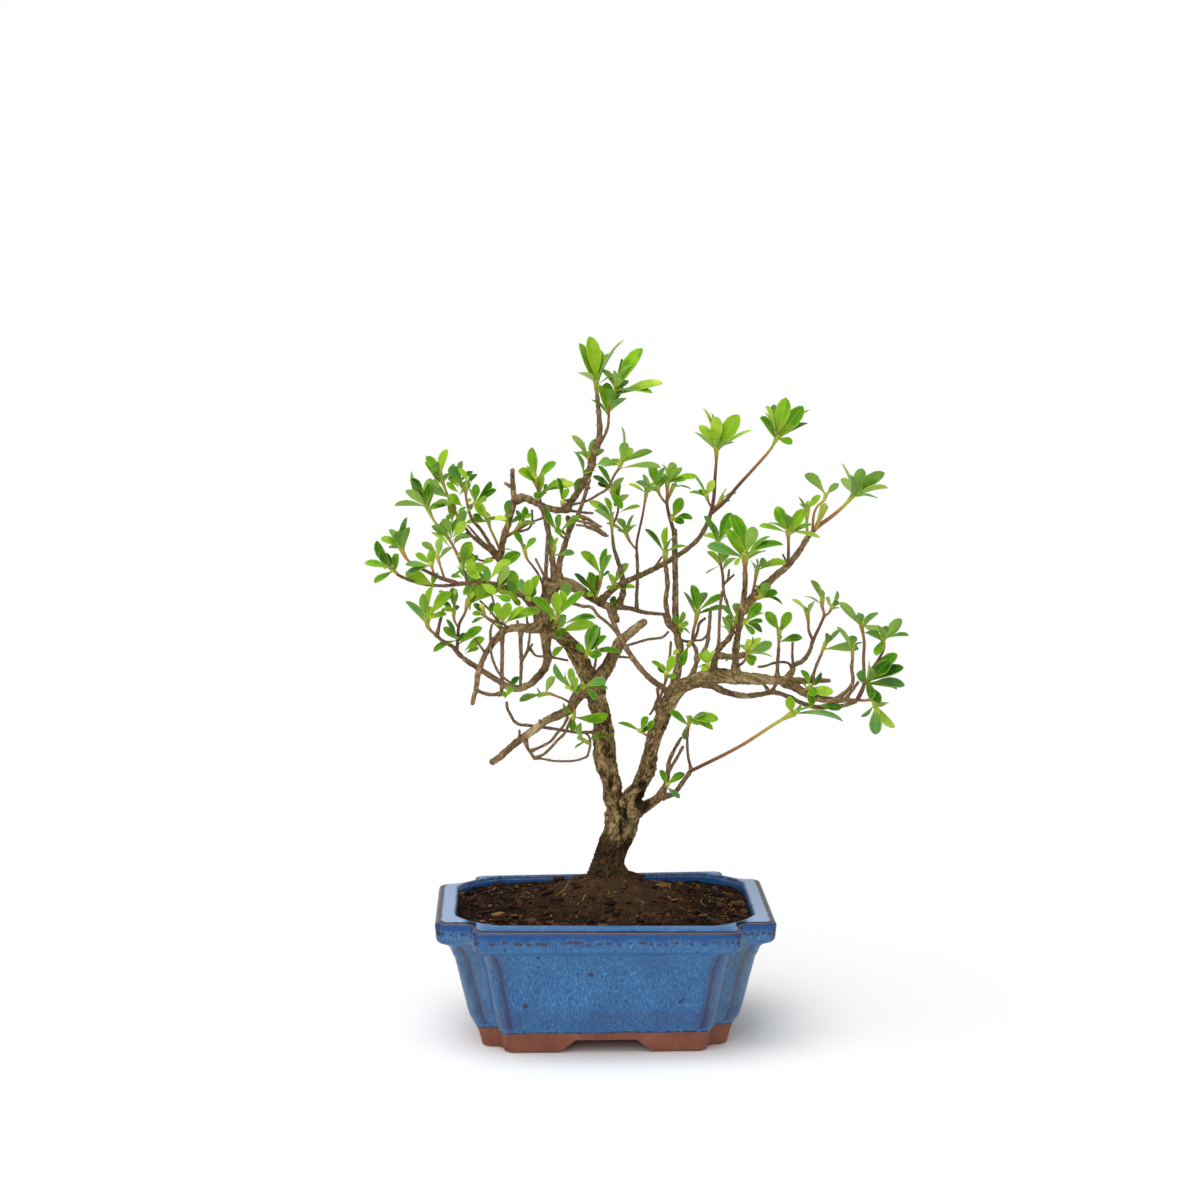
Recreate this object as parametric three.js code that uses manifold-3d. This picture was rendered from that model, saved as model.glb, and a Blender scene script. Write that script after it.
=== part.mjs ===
// Satsuki azalea bonsai in its glazed pot.
// Millimetres, +Z up, the front of the tree faces -Y.
import * as THREE from 'three';
import { mergeVertices } from 'three/addons/utils/BufferGeometryUtils.js';
import Module from 'manifold-3d';

const wasm = await Module();
wasm.setup();

// ---------------------------------------------------------------- driving dimensions

const GAP = 0.3; // clearance between touching pieces
const WELD = 0.03; // vertices nearer than this become one

const POT_HALF_LENGTH = 100;
const POT_HALF_DEPTH = 75;
const POT_HEIGHT = 80;
const RIM_NOTCH = 22; // side of the square step cut out of each corner, at the rim
const FOOT_NOTCH = 13; // the same step at the foot
const RIM_WIDTH = 12.5; // flat top of the rim
const FLOOR_HEIGHT = 17; // inside floor above the table
const FOOT_HEIGHT = 8; // clear height under the pot
const FOOT_WALL = 14; // thickness of the foot ring
const CORNER_CHAMFER = 27; // slanted corner of the opening
const DRAIN_RADIUS = 10;
const DRAIN_SPACING = 70;
const ARCH_HALF_BOTTOM = 28;
const ARCH_HALF_TOP = 18;
const SIDE_ARCH_SCALE = 0.7;

const SCREEN_SIDE = 30;
const SCREEN_THICKNESS = 1;
const SCREEN_CELLS = 4;
const SCREEN_HOLE = 4.6;

const SOIL_EDGE_HEIGHT = 76;
const SOIL_MOUND_HEIGHT = 94;
const TRUNK_AT = [3, 12]; // where the trunk leaves the soil

const CROWN_DEPTH = 2.2; // how far the crown spreads front to back, times the listed depths

const LEAF_WIDTH_TO_LENGTH = 0.4;
const LEAF_THICKNESS = 1.1;
const LEAF_WIDEST_AT = 0.58; // share of the leaf's length, from its base
const LEAF_BASE_STEP = 1.1; // spacing of neighbouring leaves along the stem
const LEAF_MIN_SPREAD = 0.2; // least depth offset of a tip, as a share of the leaf

// Half outline inset and height, from the foot up to the rim's rounded top edge.
const POT_PROFILE = [
  { z: 0, inset: 27 },
  { z: 1.2, inset: 26 },
  { z: 8, inset: 24 },
  { z: 16, inset: 21.5 },
  { z: 20, inset: 19.5 },
  { z: 55, inset: 11.5 },
  { z: 61, inset: 9 },
  { z: 64, inset: 7 },
  { z: 66, inset: 2.5 },
  { z: 70, inset: 0.2 },
  { z: 77.5, inset: 0 },
  { z: POT_HEIGHT, inset: 1.6 },
];

// Inset of the inner wall, measured from the rim's outer face.
const CAVITY_PROFILE = [
  { z: FLOOR_HEIGHT, inset: 33 },
  { z: 22, inset: 29 },
  { z: 55, inset: 21 },
  { z: 66, inset: 14.5 },
  { z: 78, inset: RIM_WIDTH },
  { z: POT_HEIGHT + 20, inset: RIM_WIDTH - 5 },
];

// ---------------------------------------------------------------- materials

function finish(color, roughness, metalness = 0) {
  return new THREE.MeshStandardMaterial({ color, roughness, metalness });
}

const GLAZE = finish('#4a78ad', 0.25);
const PLASTIC = finish('#2b2b2b', 0.6);
const PEAT = finish('#2e1f16', 0.95);
const BARK = finish('#6a5640', 0.9);
const LEAF_GREEN = finish('#5ca02c', 0.5);
const LEAF_LIGHT = finish('#8fbf48', 0.5);
const LEAF_DARK = finish('#2f7d12', 0.5);

// ---------------------------------------------------------------- solids

function fromTriangles(vertProperties, triVerts) {
  return new wasm.Manifold(new wasm.Mesh({ numProp: 3, vertProperties, triVerts }));
}

function toSolid(geometry) {
  geometry.deleteAttribute('normal');
  geometry.deleteAttribute('uv');
  const { attributes, index } = mergeVertices(geometry, 1e-4);
  return fromTriangles(attributes.position.array, new Uint32Array(index.array));
}

function toGeometry(solid) {
  const { vertProperties, triVerts } = solid.getMesh();
  const geometry = new THREE.BufferGeometry();
  geometry.setAttribute('position', new THREE.BufferAttribute(vertProperties, 3));
  geometry.setIndex(new THREE.BufferAttribute(triVerts, 1));
  return geometry;
}

function toMesh(name, solid, material) {
  const mesh = new THREE.Mesh(toGeometry(solid), material);
  mesh.name = name;
  return mesh;
}

function largestBody(solid) {
  return solid.decompose().reduce((best, body) => (body.volume() > best.volume() ? body : best));
}

// Draws the two ends of every edge that more than two faces share into one, until none is left.
function withoutCrowdedEdges(triangles) {
  const uses = new Map();
  for (const triangle of triangles) {
    for (let k = 0; k < 3; k += 1) {
      const ends = [triangle[k], triangle[(k + 1) % 3]].sort((a, b) => a - b);
      uses.set(ends.join(), (uses.get(ends.join()) ?? 0) + 1);
    }
  }
  const crowded = [...uses].find(([, count]) => count > 2);
  if (!crowded) return triangles;
  const [kept, dropped] = crowded[0].split(',').map(Number);
  const drawn = triangles
    .map((triangle) => triangle.map((vertex) => (vertex === dropped ? kept : vertex)))
    .filter(([a, b, c]) => a !== b && b !== c && c !== a);
  return withoutCrowdedEdges(drawn);
}

// Welds the slivers that a cut leaves, and keeps the main body.
function settled(solid) {
  const { attributes, index } = mergeVertices(toGeometry(largestBody(solid)), WELD);
  const triangles = [];
  for (let i = 0; i < index.count; i += 3) {
    const triangle = [index.getX(i), index.getX(i + 1), index.getX(i + 2)];
    if (new Set(triangle).size === 3) triangles.push(triangle);
  }
  const kept = withoutCrowdedEdges(triangles);
  return largestBody(fromTriangles(attributes.position.array, new Uint32Array(kept.flat())));
}

function box(width, depth, height, x, y, z) {
  const geometry = new THREE.BoxGeometry(width, depth, height);
  geometry.translate(x, y, z);
  return toSolid(geometry);
}

// Value of an evenly spaced list at t between 0 and 1.
function along(list, t) {
  const place = t * (list.length - 1);
  const index = Math.min(Math.floor(place), list.length - 2);
  if (index < 0) return list[0];
  return THREE.MathUtils.lerp(list[index], list[index + 1], place - index);
}

// ---------------------------------------------------------------- pot

// Rectangle with a square step cut out of each corner, its outer edges slightly rounded.
function notchedOutline(halfLength, halfDepth, notch, round) {
  const quarter = [
    [halfLength, halfDepth - notch - round],
    [halfLength - round * 0.3, halfDepth - notch - round * 0.3],
    [halfLength - round, halfDepth - notch],
    [halfLength - notch, halfDepth - notch],
    [halfLength - notch, halfDepth - round],
    [halfLength - notch - round * 0.3, halfDepth - round * 0.3],
    [halfLength - notch - round, halfDepth],
  ];
  return mirroredShape(quarter);
}

function chamferedOutline(halfLength, halfDepth, chamfer) {
  const soft = chamfer * 0.12;
  const quarter = [
    [halfLength, halfDepth - chamfer],
    [halfLength - soft, halfDepth - chamfer + soft * 2.2],
    [halfLength - chamfer + soft * 2.2, halfDepth - soft],
    [halfLength - chamfer, halfDepth],
  ];
  return mirroredShape(quarter);
}

function mirroredShape(quarter) {
  const back = quarter.slice().reverse();
  const points = [
    ...quarter.map(([x, y]) => new THREE.Vector2(x, y)),
    ...back.map(([x, y]) => new THREE.Vector2(-x, y)),
    ...quarter.map(([x, y]) => new THREE.Vector2(-x, -y)),
    ...back.map(([x, y]) => new THREE.Vector2(x, -y)),
  ];
  return new THREE.Shape(points);
}

// Extrudes a shape, then pulls each level in by its inset and sets it at its height.
function taperedPrism(shape, profile, moveIn) {
  const steps = profile.length - 1;
  const geometry = new THREE.ExtrudeGeometry(shape, { depth: 1, steps, bevelEnabled: false });
  const position = geometry.attributes.position;
  for (let i = 0; i < position.count; i += 1) {
    const level = profile[Math.round(position.getZ(i) * steps)];
    const [x, y] = moveIn(Math.abs(position.getX(i)), Math.abs(position.getY(i)), level);
    const signX = Math.sign(position.getX(i));
    const signY = Math.sign(position.getY(i));
    position.setXYZ(i, x * signX, y * signY, level.z);
  }
  return toSolid(geometry);
}

function potBody() {
  const shape = notchedOutline(POT_HALF_LENGTH, POT_HALF_DEPTH, RIM_NOTCH, 3);
  const footInset = POT_PROFILE[0].inset;
  const innerX = POT_HALF_LENGTH - RIM_NOTCH;
  const innerY = POT_HALF_DEPTH - RIM_NOTCH;
  return taperedPrism(shape, POT_PROFILE, (x, y, { inset }) => {
    const notch = THREE.MathUtils.lerp(RIM_NOTCH, FOOT_NOTCH, inset / footInset);
    const pull = (value, inner, outer) => {
      const newOuter = outer - inset;
      const newInner = newOuter - notch;
      if (value <= inner) return (value * newInner) / inner;
      return newInner + ((value - inner) * notch) / RIM_NOTCH;
    };
    return [pull(x, innerX, POT_HALF_LENGTH), pull(y, innerY, POT_HALF_DEPTH)];
  });
}

function cavity(clearance) {
  const halfLength = POT_HALF_LENGTH - RIM_WIDTH;
  const halfDepth = POT_HALF_DEPTH - RIM_WIDTH;
  const shape = chamferedOutline(halfLength, halfDepth, CORNER_CHAMFER);
  const profile = CAVITY_PROFILE.map(({ z, inset }, i) => ({
    z: i === 0 ? z + clearance : z,
    inset: inset + clearance,
  }));
  return taperedPrism(shape, profile, (x, y, { inset }) => [
    (x * (POT_HALF_LENGTH - inset)) / halfLength,
    (y * (POT_HALF_DEPTH - inset)) / halfDepth,
  ]);
}

// Trapezoid tunnel under the pot, running along Y.
function footArch(scale) {
  const bottom = ARCH_HALF_BOTTOM * scale;
  const top = bottom - (ARCH_HALF_BOTTOM - ARCH_HALF_TOP);
  const length = POT_HALF_LENGTH * 2;
  const shape = new THREE.Shape();
  shape.moveTo(-bottom - 1, -1);
  shape.lineTo(bottom + 1, -1);
  shape.lineTo(top, FOOT_HEIGHT);
  shape.lineTo(-top, FOOT_HEIGHT);
  shape.closePath();
  const geometry = new THREE.ExtrudeGeometry(shape, { depth: length, bevelEnabled: false });
  geometry.rotateX(Math.PI / 2);
  geometry.translate(0, length / 2, 0);
  return geometry;
}

function drainHole(x) {
  const geometry = new THREE.CylinderGeometry(DRAIN_RADIUS, DRAIN_RADIUS, FLOOR_HEIGHT * 2, 16);
  geometry.rotateX(Math.PI / 2);
  geometry.translate(x, 0, FLOOR_HEIGHT);
  return toSolid(geometry);
}

function pot() {
  const foot = POT_PROFILE[0].inset;
  const recess = box(
    (POT_HALF_LENGTH - foot - FOOT_WALL) * 2,
    (POT_HALF_DEPTH - foot - FOOT_WALL) * 2,
    FOOT_HEIGHT * 2,
    0,
    0,
    0,
  );
  const sideArch = footArch(SIDE_ARCH_SCALE);
  sideArch.rotateZ(Math.PI / 2);
  return potBody()
    .subtract(cavity(0))
    .subtract(recess)
    .subtract(toSolid(footArch(1)))
    .subtract(toSolid(sideArch))
    .subtract(drainHole(-DRAIN_SPACING / 2))
    .subtract(drainHole(DRAIN_SPACING / 2));
}

// ---------------------------------------------------------------- drain screens and soil

function drainScreen(x) {
  const pitch = SCREEN_SIDE / SCREEN_CELLS;
  const height = FLOOR_HEIGHT + GAP + SCREEN_THICKNESS / 2;
  const holes = [];
  for (let i = 0; i < SCREEN_CELLS; i += 1) {
    for (let j = 0; j < SCREEN_CELLS; j += 1) {
      const holeX = x + (i + 0.5) * pitch - SCREEN_SIDE / 2;
      const holeY = (j + 0.5) * pitch - SCREEN_SIDE / 2;
      holes.push(box(SCREEN_HOLE, SCREEN_HOLE, SCREEN_THICKNESS * 2, holeX, holeY, height));
    }
  }
  const plate = box(SCREEN_SIDE, SCREEN_SIDE, SCREEN_THICKNESS, x, 0, height);
  return plate.subtract(wasm.Manifold.union(holes));
}

function screenPocket(x) {
  const side = SCREEN_SIDE + GAP * 2;
  const height = (SCREEN_THICKNESS + GAP * 2) * 2;
  return box(side, side, height, x, 0, FLOOR_HEIGHT);
}

// Mound that rises from the walls to the foot of the trunk.
function soilMound() {
  const rise = SOIL_MOUND_HEIGHT - SOIL_EDGE_HEIGHT;
  const reach = POT_HALF_LENGTH * 1.3;
  const profile = [
    new THREE.Vector2(0, 0),
    new THREE.Vector2(reach, 0),
    new THREE.Vector2(reach, SOIL_EDGE_HEIGHT),
    new THREE.Vector2(88, SOIL_EDGE_HEIGHT),
    new THREE.Vector2(60, SOIL_EDGE_HEIGHT + rise * 0.2),
    new THREE.Vector2(34, SOIL_EDGE_HEIGHT + rise * 0.5),
    new THREE.Vector2(18, SOIL_EDGE_HEIGHT + rise * 0.86),
    new THREE.Vector2(0, SOIL_MOUND_HEIGHT),
  ];
  const geometry = new THREE.LatheGeometry(profile, 24);
  geometry.rotateX(Math.PI / 2);
  geometry.scale(1, 0.7, 1);
  geometry.translate(TRUNK_AT[0], TRUNK_AT[1] * 0.7, 0);
  return toSolid(geometry);
}

function soil(trunkRoom) {
  return settled(
    soilMound()
      .intersect(cavity(GAP))
      .subtract(screenPocket(-DRAIN_SPACING / 2))
      .subtract(screenPocket(DRAIN_SPACING / 2))
      .subtract(trunkRoom),
  );
}

// ---------------------------------------------------------------- laying out the tree

// The tree is laid out by its front: u to the right and v up, on the pot's middle plane, as seen
// from VIEWER. A depth then moves a point along its line of sight: a negative one toward VIEWER,
// a positive one away.
const VIEWER = new THREE.Vector3(-56, -1487, 449);

function place(u, v, depth) {
  const onPlane = new THREE.Vector3(u, 0, v);
  const reach = (depth - VIEWER.y) / -VIEWER.y;
  return VIEWER.clone().lerp(onPlane, reach);
}

function seen(point) {
  const reach = -VIEWER.y / (point.y - VIEWER.y);
  const onPlane = VIEWER.clone().lerp(point, reach);
  return [onPlane.x, onPlane.z];
}

// Faces round a limb and spacing of its rings, by its widest radius.
function fineness(radius) {
  if (radius > 5) return { sides: 10, stride: 9 };
  if (radius > 2.2) return { sides: 6, stride: 12 };
  if (radius > 1.4) return { sides: 4, stride: 14 };
  return { sides: 3, stride: 16 };
}

// Nearest place on the middle lines of a list of limbs, as seen from the front.
function nearest(limbs, [u, v]) {
  const samples = 8;
  let best = { distance: Infinity };
  for (const { curve, steps } of limbs) {
    for (let i = 0; i <= steps * samples; i += 1) {
      const ring = Math.min(Math.floor(i / samples), steps - 1);
      const start = curve.getPointAt(ring / steps);
      const end = curve.getPointAt((ring + 1) / steps);
      const point = start.clone().lerp(end, i / samples - ring);
      const [pu, pv] = seen(point);
      const distance = Math.hypot(pu - u, pv - v);
      if (distance < best.distance) best = { distance, point, tangent: end.sub(start).normalize() };
    }
  }
  return best;
}

// A limb's middle line runs through seen points. It starts on its parent's middle line and takes
// the parent's depth there; the listed depths are spread evenly over the rest.
function layLimb(parents, depths, radii, path) {
  const start = parents.length > 0 ? nearest(parents, path[0]).point : null;
  const spread = depths.map((depth) => depth * CROWN_DEPTH);
  const all = start ? [start.y, ...spread] : spread;
  const points = path.map(([u, v], i) => place(u, v, along(all, i / (path.length - 1))));
  if (start) points[0] = start;
  const curve = new THREE.CatmullRomCurve3(points);
  const { sides, stride } = fineness(Math.max(...radii));
  const steps = Math.max(1, Math.round(curve.getLength() / stride));
  return { curve, radii, sides, steps };
}

// A limb is a closed cylinder bent along its middle line, with a radius that follows its list.
function limbSolid({ curve, radii, sides, steps }, grow) {
  const geometry = new THREE.CylinderGeometry(1, 1, 1, sides, steps);
  const { normals, binormals, tangents } = curve.computeFrenetFrames(steps);
  const position = geometry.attributes.position;
  for (let i = 0; i < position.count; i += 1) {
    const u = position.getY(i) + 0.5;
    const step = Math.round(u * steps);
    const radius = along(radii, curve.getUtoTmapping(u)) + grow;
    const end = step === 0 ? -grow : step === steps ? grow : 0;
    const point = curve.getPointAt(u)
      .addScaledVector(tangents[step], end)
      .addScaledVector(normals[step], position.getX(i) * radius)
      .addScaledVector(binormals[step], -position.getZ(i) * radius);
    position.setXYZ(i, point.x, point.y, point.z);
  }
  return toSolid(geometry);
}

// Woody routes: name, parent, depths after the start, radii, seen points.
const wood = new Map();

function branch(name, parent, depths, radii, path) {
  const parents = parent ? [wood.get(parent)] : [];
  wood.set(name, layLimb(parents, depths, radii, path));
}

branch('trunk', null, [5.5, 5.5, 5], [13.5, 13, 11.5, 9.8, 9.3, 9.8, 10.8, 9.8, 7.5],
  [[3, 62], [3, 90], [3.3, 97], [3.5, 103], [5, 110], [9, 120], [11.5, 130], [12, 138], [10, 145]]);

branch('left_leader', 'trunk', [5, 4, 2, 1, 0],
  [7.5, 6.6, 5.9, 6.5, 6.8, 6.2, 5.8, 5.6, 5.3, 5.2, 4.8, 4.5, 4, 3.6],
  [[8, 137], [6, 143], [5.5, 150], [3, 160], [0.8, 170], [0.5, 178], [-0.5, 188], [-2, 197],
    [-5, 205], [-8, 214], [-13, 225], [-19, 235], [-27, 242], [-36, 247]]);
branch('pruned_stub', 'left_leader', [0, -4], [4.2, 4, 3.8, 3.5, 3.2, 2.8, 2.4],
  [[-5, 205], [-3.5, 213], [2, 221], [6, 229], [10.5, 237], [17, 243], [25, 249.5]]);
branch('bare_twig', 'left_leader', [-2], [1, 0.9], [[-8, 212], [-4.5, 225], [-4, 238]]);
branch('cross_twig', 'pruned_stub', [-2, 0], [0.9],
  [[8, 232], [15, 235], [20, 236.5], [27, 238.5], [32, 239], [36, 240], [39, 243]]);

branch('right_leader', 'trunk', [4, 2, 0, -1, -3, -4, -4, -3],
  [8, 6, 5, 5, 4.6, 4.6, 4.7, 4.6, 4.3, 4.5, 4.8, 4, 3.2, 2.4, 1.6, 1.3],
  [[12, 132], [16, 140], [22, 150], [26.8, 160], [28.5, 170], [31, 180], [35, 190], [39, 200],
    [45, 208], [54, 212.5], [68, 216.5], [80, 215], [95, 214], [112, 213], [131, 213], [136, 213]]);
branch('leader_twig', 'right_leader', [-6, -8], [1, 0.9],
  [[36, 192], [34, 200], [36, 209], [38, 215], [39, 222], [40, 230], [40.5, 237]]);
branch('leader_stub', 'right_leader', [-2], [1.3, 1.1],
  [[35, 191], [31.5, 198], [33, 203], [32.5, 209]]);
branch('inner_arc', 'right_leader', [-10, -8, -2], [1.8, 1.5],
  [[38, 207], [33, 211], [27, 216], [20, 224], [14, 233], [9, 242], [5, 252], [2, 260]]);

branch('low_spur', 'trunk', [3, 1], [4, 3, 2.4], [[18, 131], [28, 138.5], [34, 143]]);
branch('low_twig_up', 'low_spur', [2, 5], [1.8, 1.6, 1.3, 1],
  [[34, 143], [37.5, 150], [39, 158], [39.5, 164], [43, 172], [47, 179]]);
branch('low_twig_stub', 'low_twig_up', [0], [1.1], [[39.5, 158], [44, 166], [48, 173.5]]);
branch('low_twig_out', 'low_spur', [-2, -5], [1.8, 1.4],
  [[34, 143], [42, 144.5], [47, 150.5], [53, 159]]);
branch('low_twig_rise', 'low_twig_out', [-8, -12], [1, 0.9],
  [[53, 159], [51, 168], [50.5, 178], [51, 184]]);

branch('tall_stem', 'right_leader', [1, 3, 4, 4], [2.8, 2.6, 2.4, 2.5, 2.4, 2.2, 2, 1.9, 1.9, 1.8],
  [[41, 204], [43.5, 215], [45.5, 224], [46, 232], [44.5, 240], [43.3, 250], [43, 262],
    [43, 275], [42.5, 290], [42.3, 304]]);
branch('twin_stem', 'tall_stem', [1, 0], [1.6, 1.4],
  [[43, 243], [40, 248], [38, 256], [37.3, 262], [38.3, 270], [38, 276], [37, 284], [37, 288]]);

branch('middle_upright', 'left_leader', [1, 2], [3.6, 3.4, 3.2, 3],
  [[-36, 247], [-36, 254], [-34.5, 262], [-33, 269]]);
branch('centre_limb', 'middle_upright', [3, 6, 10, 14], [3.4, 3, 2.6, 2.2, 1.8, 1.4, 1.2],
  [[-33, 268], [-27, 272], [-20, 271.5], [-12, 267.5], [-4, 262], [3, 258.5], [9, 258],
    [14, 257.5], [22, 255.3], [30, 254], [39, 253.3]]);
branch('centre_stub', 'centre_limb', [2], [1.8], [[5, 258.5], [8.5, 249.5]]);
branch('centre_under', 'middle_upright', [-2, -6], [1.2, 1],
  [[-34.5, 262], [-27, 261.5], [-19, 260.5], [-12, 258.5], [-7, 258], [-3, 253], [2, 249],
    [6, 245], [9, 241]]);
branch('centre_upright', 'centre_limb', [4, 2, 0], [2, 1.8, 1.5, 1.2, 1],
  [[8.5, 258], [11.8, 266], [11.3, 277], [9, 285], [6.5, 293], [5.5, 301]]);
branch('thin_upright', 'centre_limb', [9, 8], [1.2, 1.1],
  [[20, 255.7], [20, 265], [20.5, 276], [20.3, 286], [20, 290]]);
branch('long_arc', 'centre_limb', [8, 14, 14, 12], [1.9, 1.8, 1.7, 1.5, 1.4],
  [[-2, 261], [3, 266], [10, 271.5], [20, 276], [30, 280.5], [40, 286], [50, 292.5],
    [57, 299], [61.5, 307], [64, 314]]);

branch('pale_upright', 'middle_upright', [0, -2], [1.4, 1.2],
  [[-33.3, 268], [-34, 277], [-33.5, 286], [-33, 296], [-32.5, 304], [-33.5, 311], [-36, 318]]);
branch('upright_a', 'centre_limb', [6, 8], [1.9, 1.6],
  [[-29, 271.5], [-29.5, 281], [-30.5, 290], [-31.5, 298], [-33, 306], [-35, 314], [-37, 319]]);
branch('upright_b', 'centre_limb', [4, 4], [1.9, 1.6],
  [[-26, 272.5], [-26, 284], [-24, 291], [-21.5, 299], [-20, 306], [-21, 312]]);
branch('left_upright', 'left_leader', [6, 12, 14, 16], [2.6, 2.3, 2, 1.7],
  [[-36, 247], [-40, 256], [-46, 264], [-52, 270], [-58, 278], [-61, 286], [-60, 293],
    [-58.5, 301], [-56, 308], [-54, 315], [-52.5, 321], [-53, 327], [-53.5, 334], [-53.5, 340]]);
branch('top_bar', 'left_upright', [12, 6, 3], [2.3, 2, 1.9],
  [[-52, 322], [-47, 323.3], [-41, 321], [-35, 318], [-28, 316], [-21, 316]]);
branch('apex', 'top_bar', [0, -3, -3, -2], [2, 1.9, 2.2, 2.4, 2, 1.8, 1.5, 1.3],
  [[-22, 316], [-18, 322], [-13, 329.5], [-9.5, 336], [-7, 342], [-5.5, 348], [-3, 354.5],
    [-2, 362], [-2.3, 370], [-3, 378], [-3.5, 384]]);
branch('apex_side', 'apex', [-4], [1.1, 0.9], [[-2, 353], [1, 360], [3, 366], [3.3, 370]]);
branch('pale_diagonal', 'upright_b', [-3, -4], [1.4, 1.2],
  [[-20.5, 303], [-16, 311], [-12.5, 319], [-10, 327], [-8, 334]]);
branch('dry_twig_a', 'top_bar', [0, -4], [1, 0.8], [[-22, 315.5], [-12, 314.5], [-6, 314]]);
branch('dry_twig_b', 'upright_b', [-2, -8], [1, 0.8],
  [[-20.5, 309], [-17, 312], [-10, 310.5], [-4, 307], [-1, 306]]);
branch('dry_twig_c', 'dry_twig_b', [-6, -10], [0.9, 0.8],
  [[-12, 311], [-10, 306], [-5, 304], [0, 301], [3, 300.5]]);
branch('top_twig', 'apex', [-6, -8], [0.9],
  [[-20, 319], [-14, 320], [-8, 322], [-3, 325], [2, 328], [5, 333], [7, 337], [10, 341]]);

branch('fan_a', 'left_upright', [10, 8], [1.4, 1.1],
  [[-61, 286], [-66, 291], [-73, 296.5], [-79, 302]]);
branch('fan_b', 'left_upright', [4, -4], [1.3, 1],
  [[-61, 288], [-67, 296], [-72, 304], [-77, 310], [-79.5, 316]]);
branch('far_left_limb', 'middle_upright', [0, -6, -12], [2.5, 2.2, 1.9, 1.7],
  [[-36, 256], [-45, 264], [-55, 268.5], [-65, 272], [-75, 273], [-83, 272.5], [-90, 273.5]]);
branch('far_left_fork', 'far_left_limb', [-14, -24], [1.2, 1],
  [[-83, 272.5], [-92, 271.2], [-102, 271.5], [-110, 273], [-117, 275.5], [-122, 278]]);

branch('left_arc', 'left_leader', [-3, -8, -16, -20], [2.7, 2.4, 2, 1.7, 1.4],
  [[-36, 246], [-43, 245.5], [-51, 246], [-58, 244.5], [-63, 240], [-68, 233], [-72, 226],
    [-74.5, 218], [-75.5, 210], [-77, 204.5], [-78, 200]]);
branch('left_arc_drop', 'left_arc', [-10, -12], [1.3],
  [[-60, 243], [-60, 232], [-60.3, 220], [-60.5, 205.5]]);
branch('left_arc_tie', 'left_arc_drop', [-17], [1.2],
  [[-60.5, 206], [-66, 205.6], [-71, 206.5], [-75.5, 208.5]]);
branch('left_arc_drop_b', 'left_arc', [-4, 0], [1.4, 1.1],
  [[-49, 245.5], [-49, 235], [-48.7, 225], [-49.3, 211]]);
branch('left_arc_curl', 'left_arc', [-14, -10], [0.9],
  [[-62, 241], [-66.8, 238], [-66.8, 232], [-65, 225], [-61.5, 218], [-55, 212.5]]);
branch('bottom_arc', 'left_leader', [6, 12, 16, 20, 18], [2.8, 2.5, 2.2, 1.9, 1.6, 1.2],
  [[-33, 245], [-34, 235], [-33, 228], [-34.5, 222], [-39, 216], [-44, 211.5], [-50, 209.3],
    [-56, 210], [-61, 213], [-68, 217.5], [-75, 222], [-81, 226], [-86, 230.5], [-90, 235],
    [-95, 238], [-100, 242]]);

branch('low_left_stub', 'left_leader', [2, -2, 0], [3, 2.5, 2.3, 2.1, 1.9, 1.8, 1.6, 1.4],
  [[-7, 209], [-13, 206.5], [-17, 201.5], [-19.3, 196.5], [-23, 194.5], [-29.4, 192.2],
    [-34.5, 189.3], [-39.6, 185.5], [-44.7, 181.6], [-49.8, 178], [-55, 174], [-61.3, 168.3],
    [-67, 164.5]]);
branch('low_left_twig', 'low_left_stub', [-4], [1.3, 1],
  [[-47, 179.8], [-45, 173], [-43, 170], [-41, 166.5]]);
branch('low_loop_a', 'low_left_twig', [-4, 0], [1],
  [[-43.5, 171], [-36, 174.5], [-31, 177.5], [-28, 181.5], [-24, 186], [-21, 192]]);
branch('low_loop_b', 'low_left_twig', [-8, -2], [1],
  [[-41, 167.5], [-36, 169], [-31, 173.5], [-27, 178], [-23, 182], [-19, 191]]);
branch('low_loop_c', 'low_left_twig', [-4, 4], [0.8],
  [[-41, 167], [-36, 166.5], [-30, 165.3], [-23, 165], [-17, 165.3], [-12.5, 166.5],
    [-9.5, 168], [-8.5, 171], [-7.5, 176], [-8.5, 180], [-10, 181.5]]);
branch('side_twig', 'left_leader', [-2, -6], [1.1, 1],
  [[-4, 182.5], [-15, 182.5], [-28, 184.5], [-45, 187], [-50, 187.5], [-53, 189.5],
    [-55, 193], [-57, 197], [-57.5, 201]]);

branch('right_stem', 'right_leader', [-12, -14], [2.4, 2.1, 1.9, 1.7],
  [[79, 215], [79.2, 225], [79.5, 235], [80.5, 242], [82, 250], [83.5, 260], [84.5, 270], [84.5, 278]]);
branch('right_twig_a', 'right_leader', [-2, 2], [1.7, 1.4, 1.1],
  [[51, 211.5], [54.5, 220], [56.5, 226], [61.5, 233.5], [63.3, 245], [64, 256]]);
branch('right_twig_knot', 'right_twig_a', [4], [1.4, 1.2], [[56, 225], [55.5, 232], [52.5, 237]]);
branch('right_twig_b', 'right_twig_knot', [7], [1], [[53, 237], [56, 242], [57.5, 248], [61, 251]]);
branch('tie_twig', 'right_twig_knot', [5], [0.9], [[53, 236.5], [48, 237.5], [44, 239]]);
branch('right_twig_c', 'right_leader', [-14, -12], [1.2, 1],
  [[64, 216], [65.5, 224], [67, 230], [69, 236], [69.3, 246], [69.8, 257], [71, 267]]);
branch('right_knuckle', 'right_leader', [-6, -10], [2, 1.8, 1.6],
  [[66, 217], [66.5, 224], [67.5, 229.5], [71, 234.5], [75, 238.5], [77.5, 243]]);
branch('right_knuckle_bar', 'right_knuckle', [-14], [1.8], [[67, 229], [73, 228], [80, 227.5], [84, 229]]);
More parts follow.
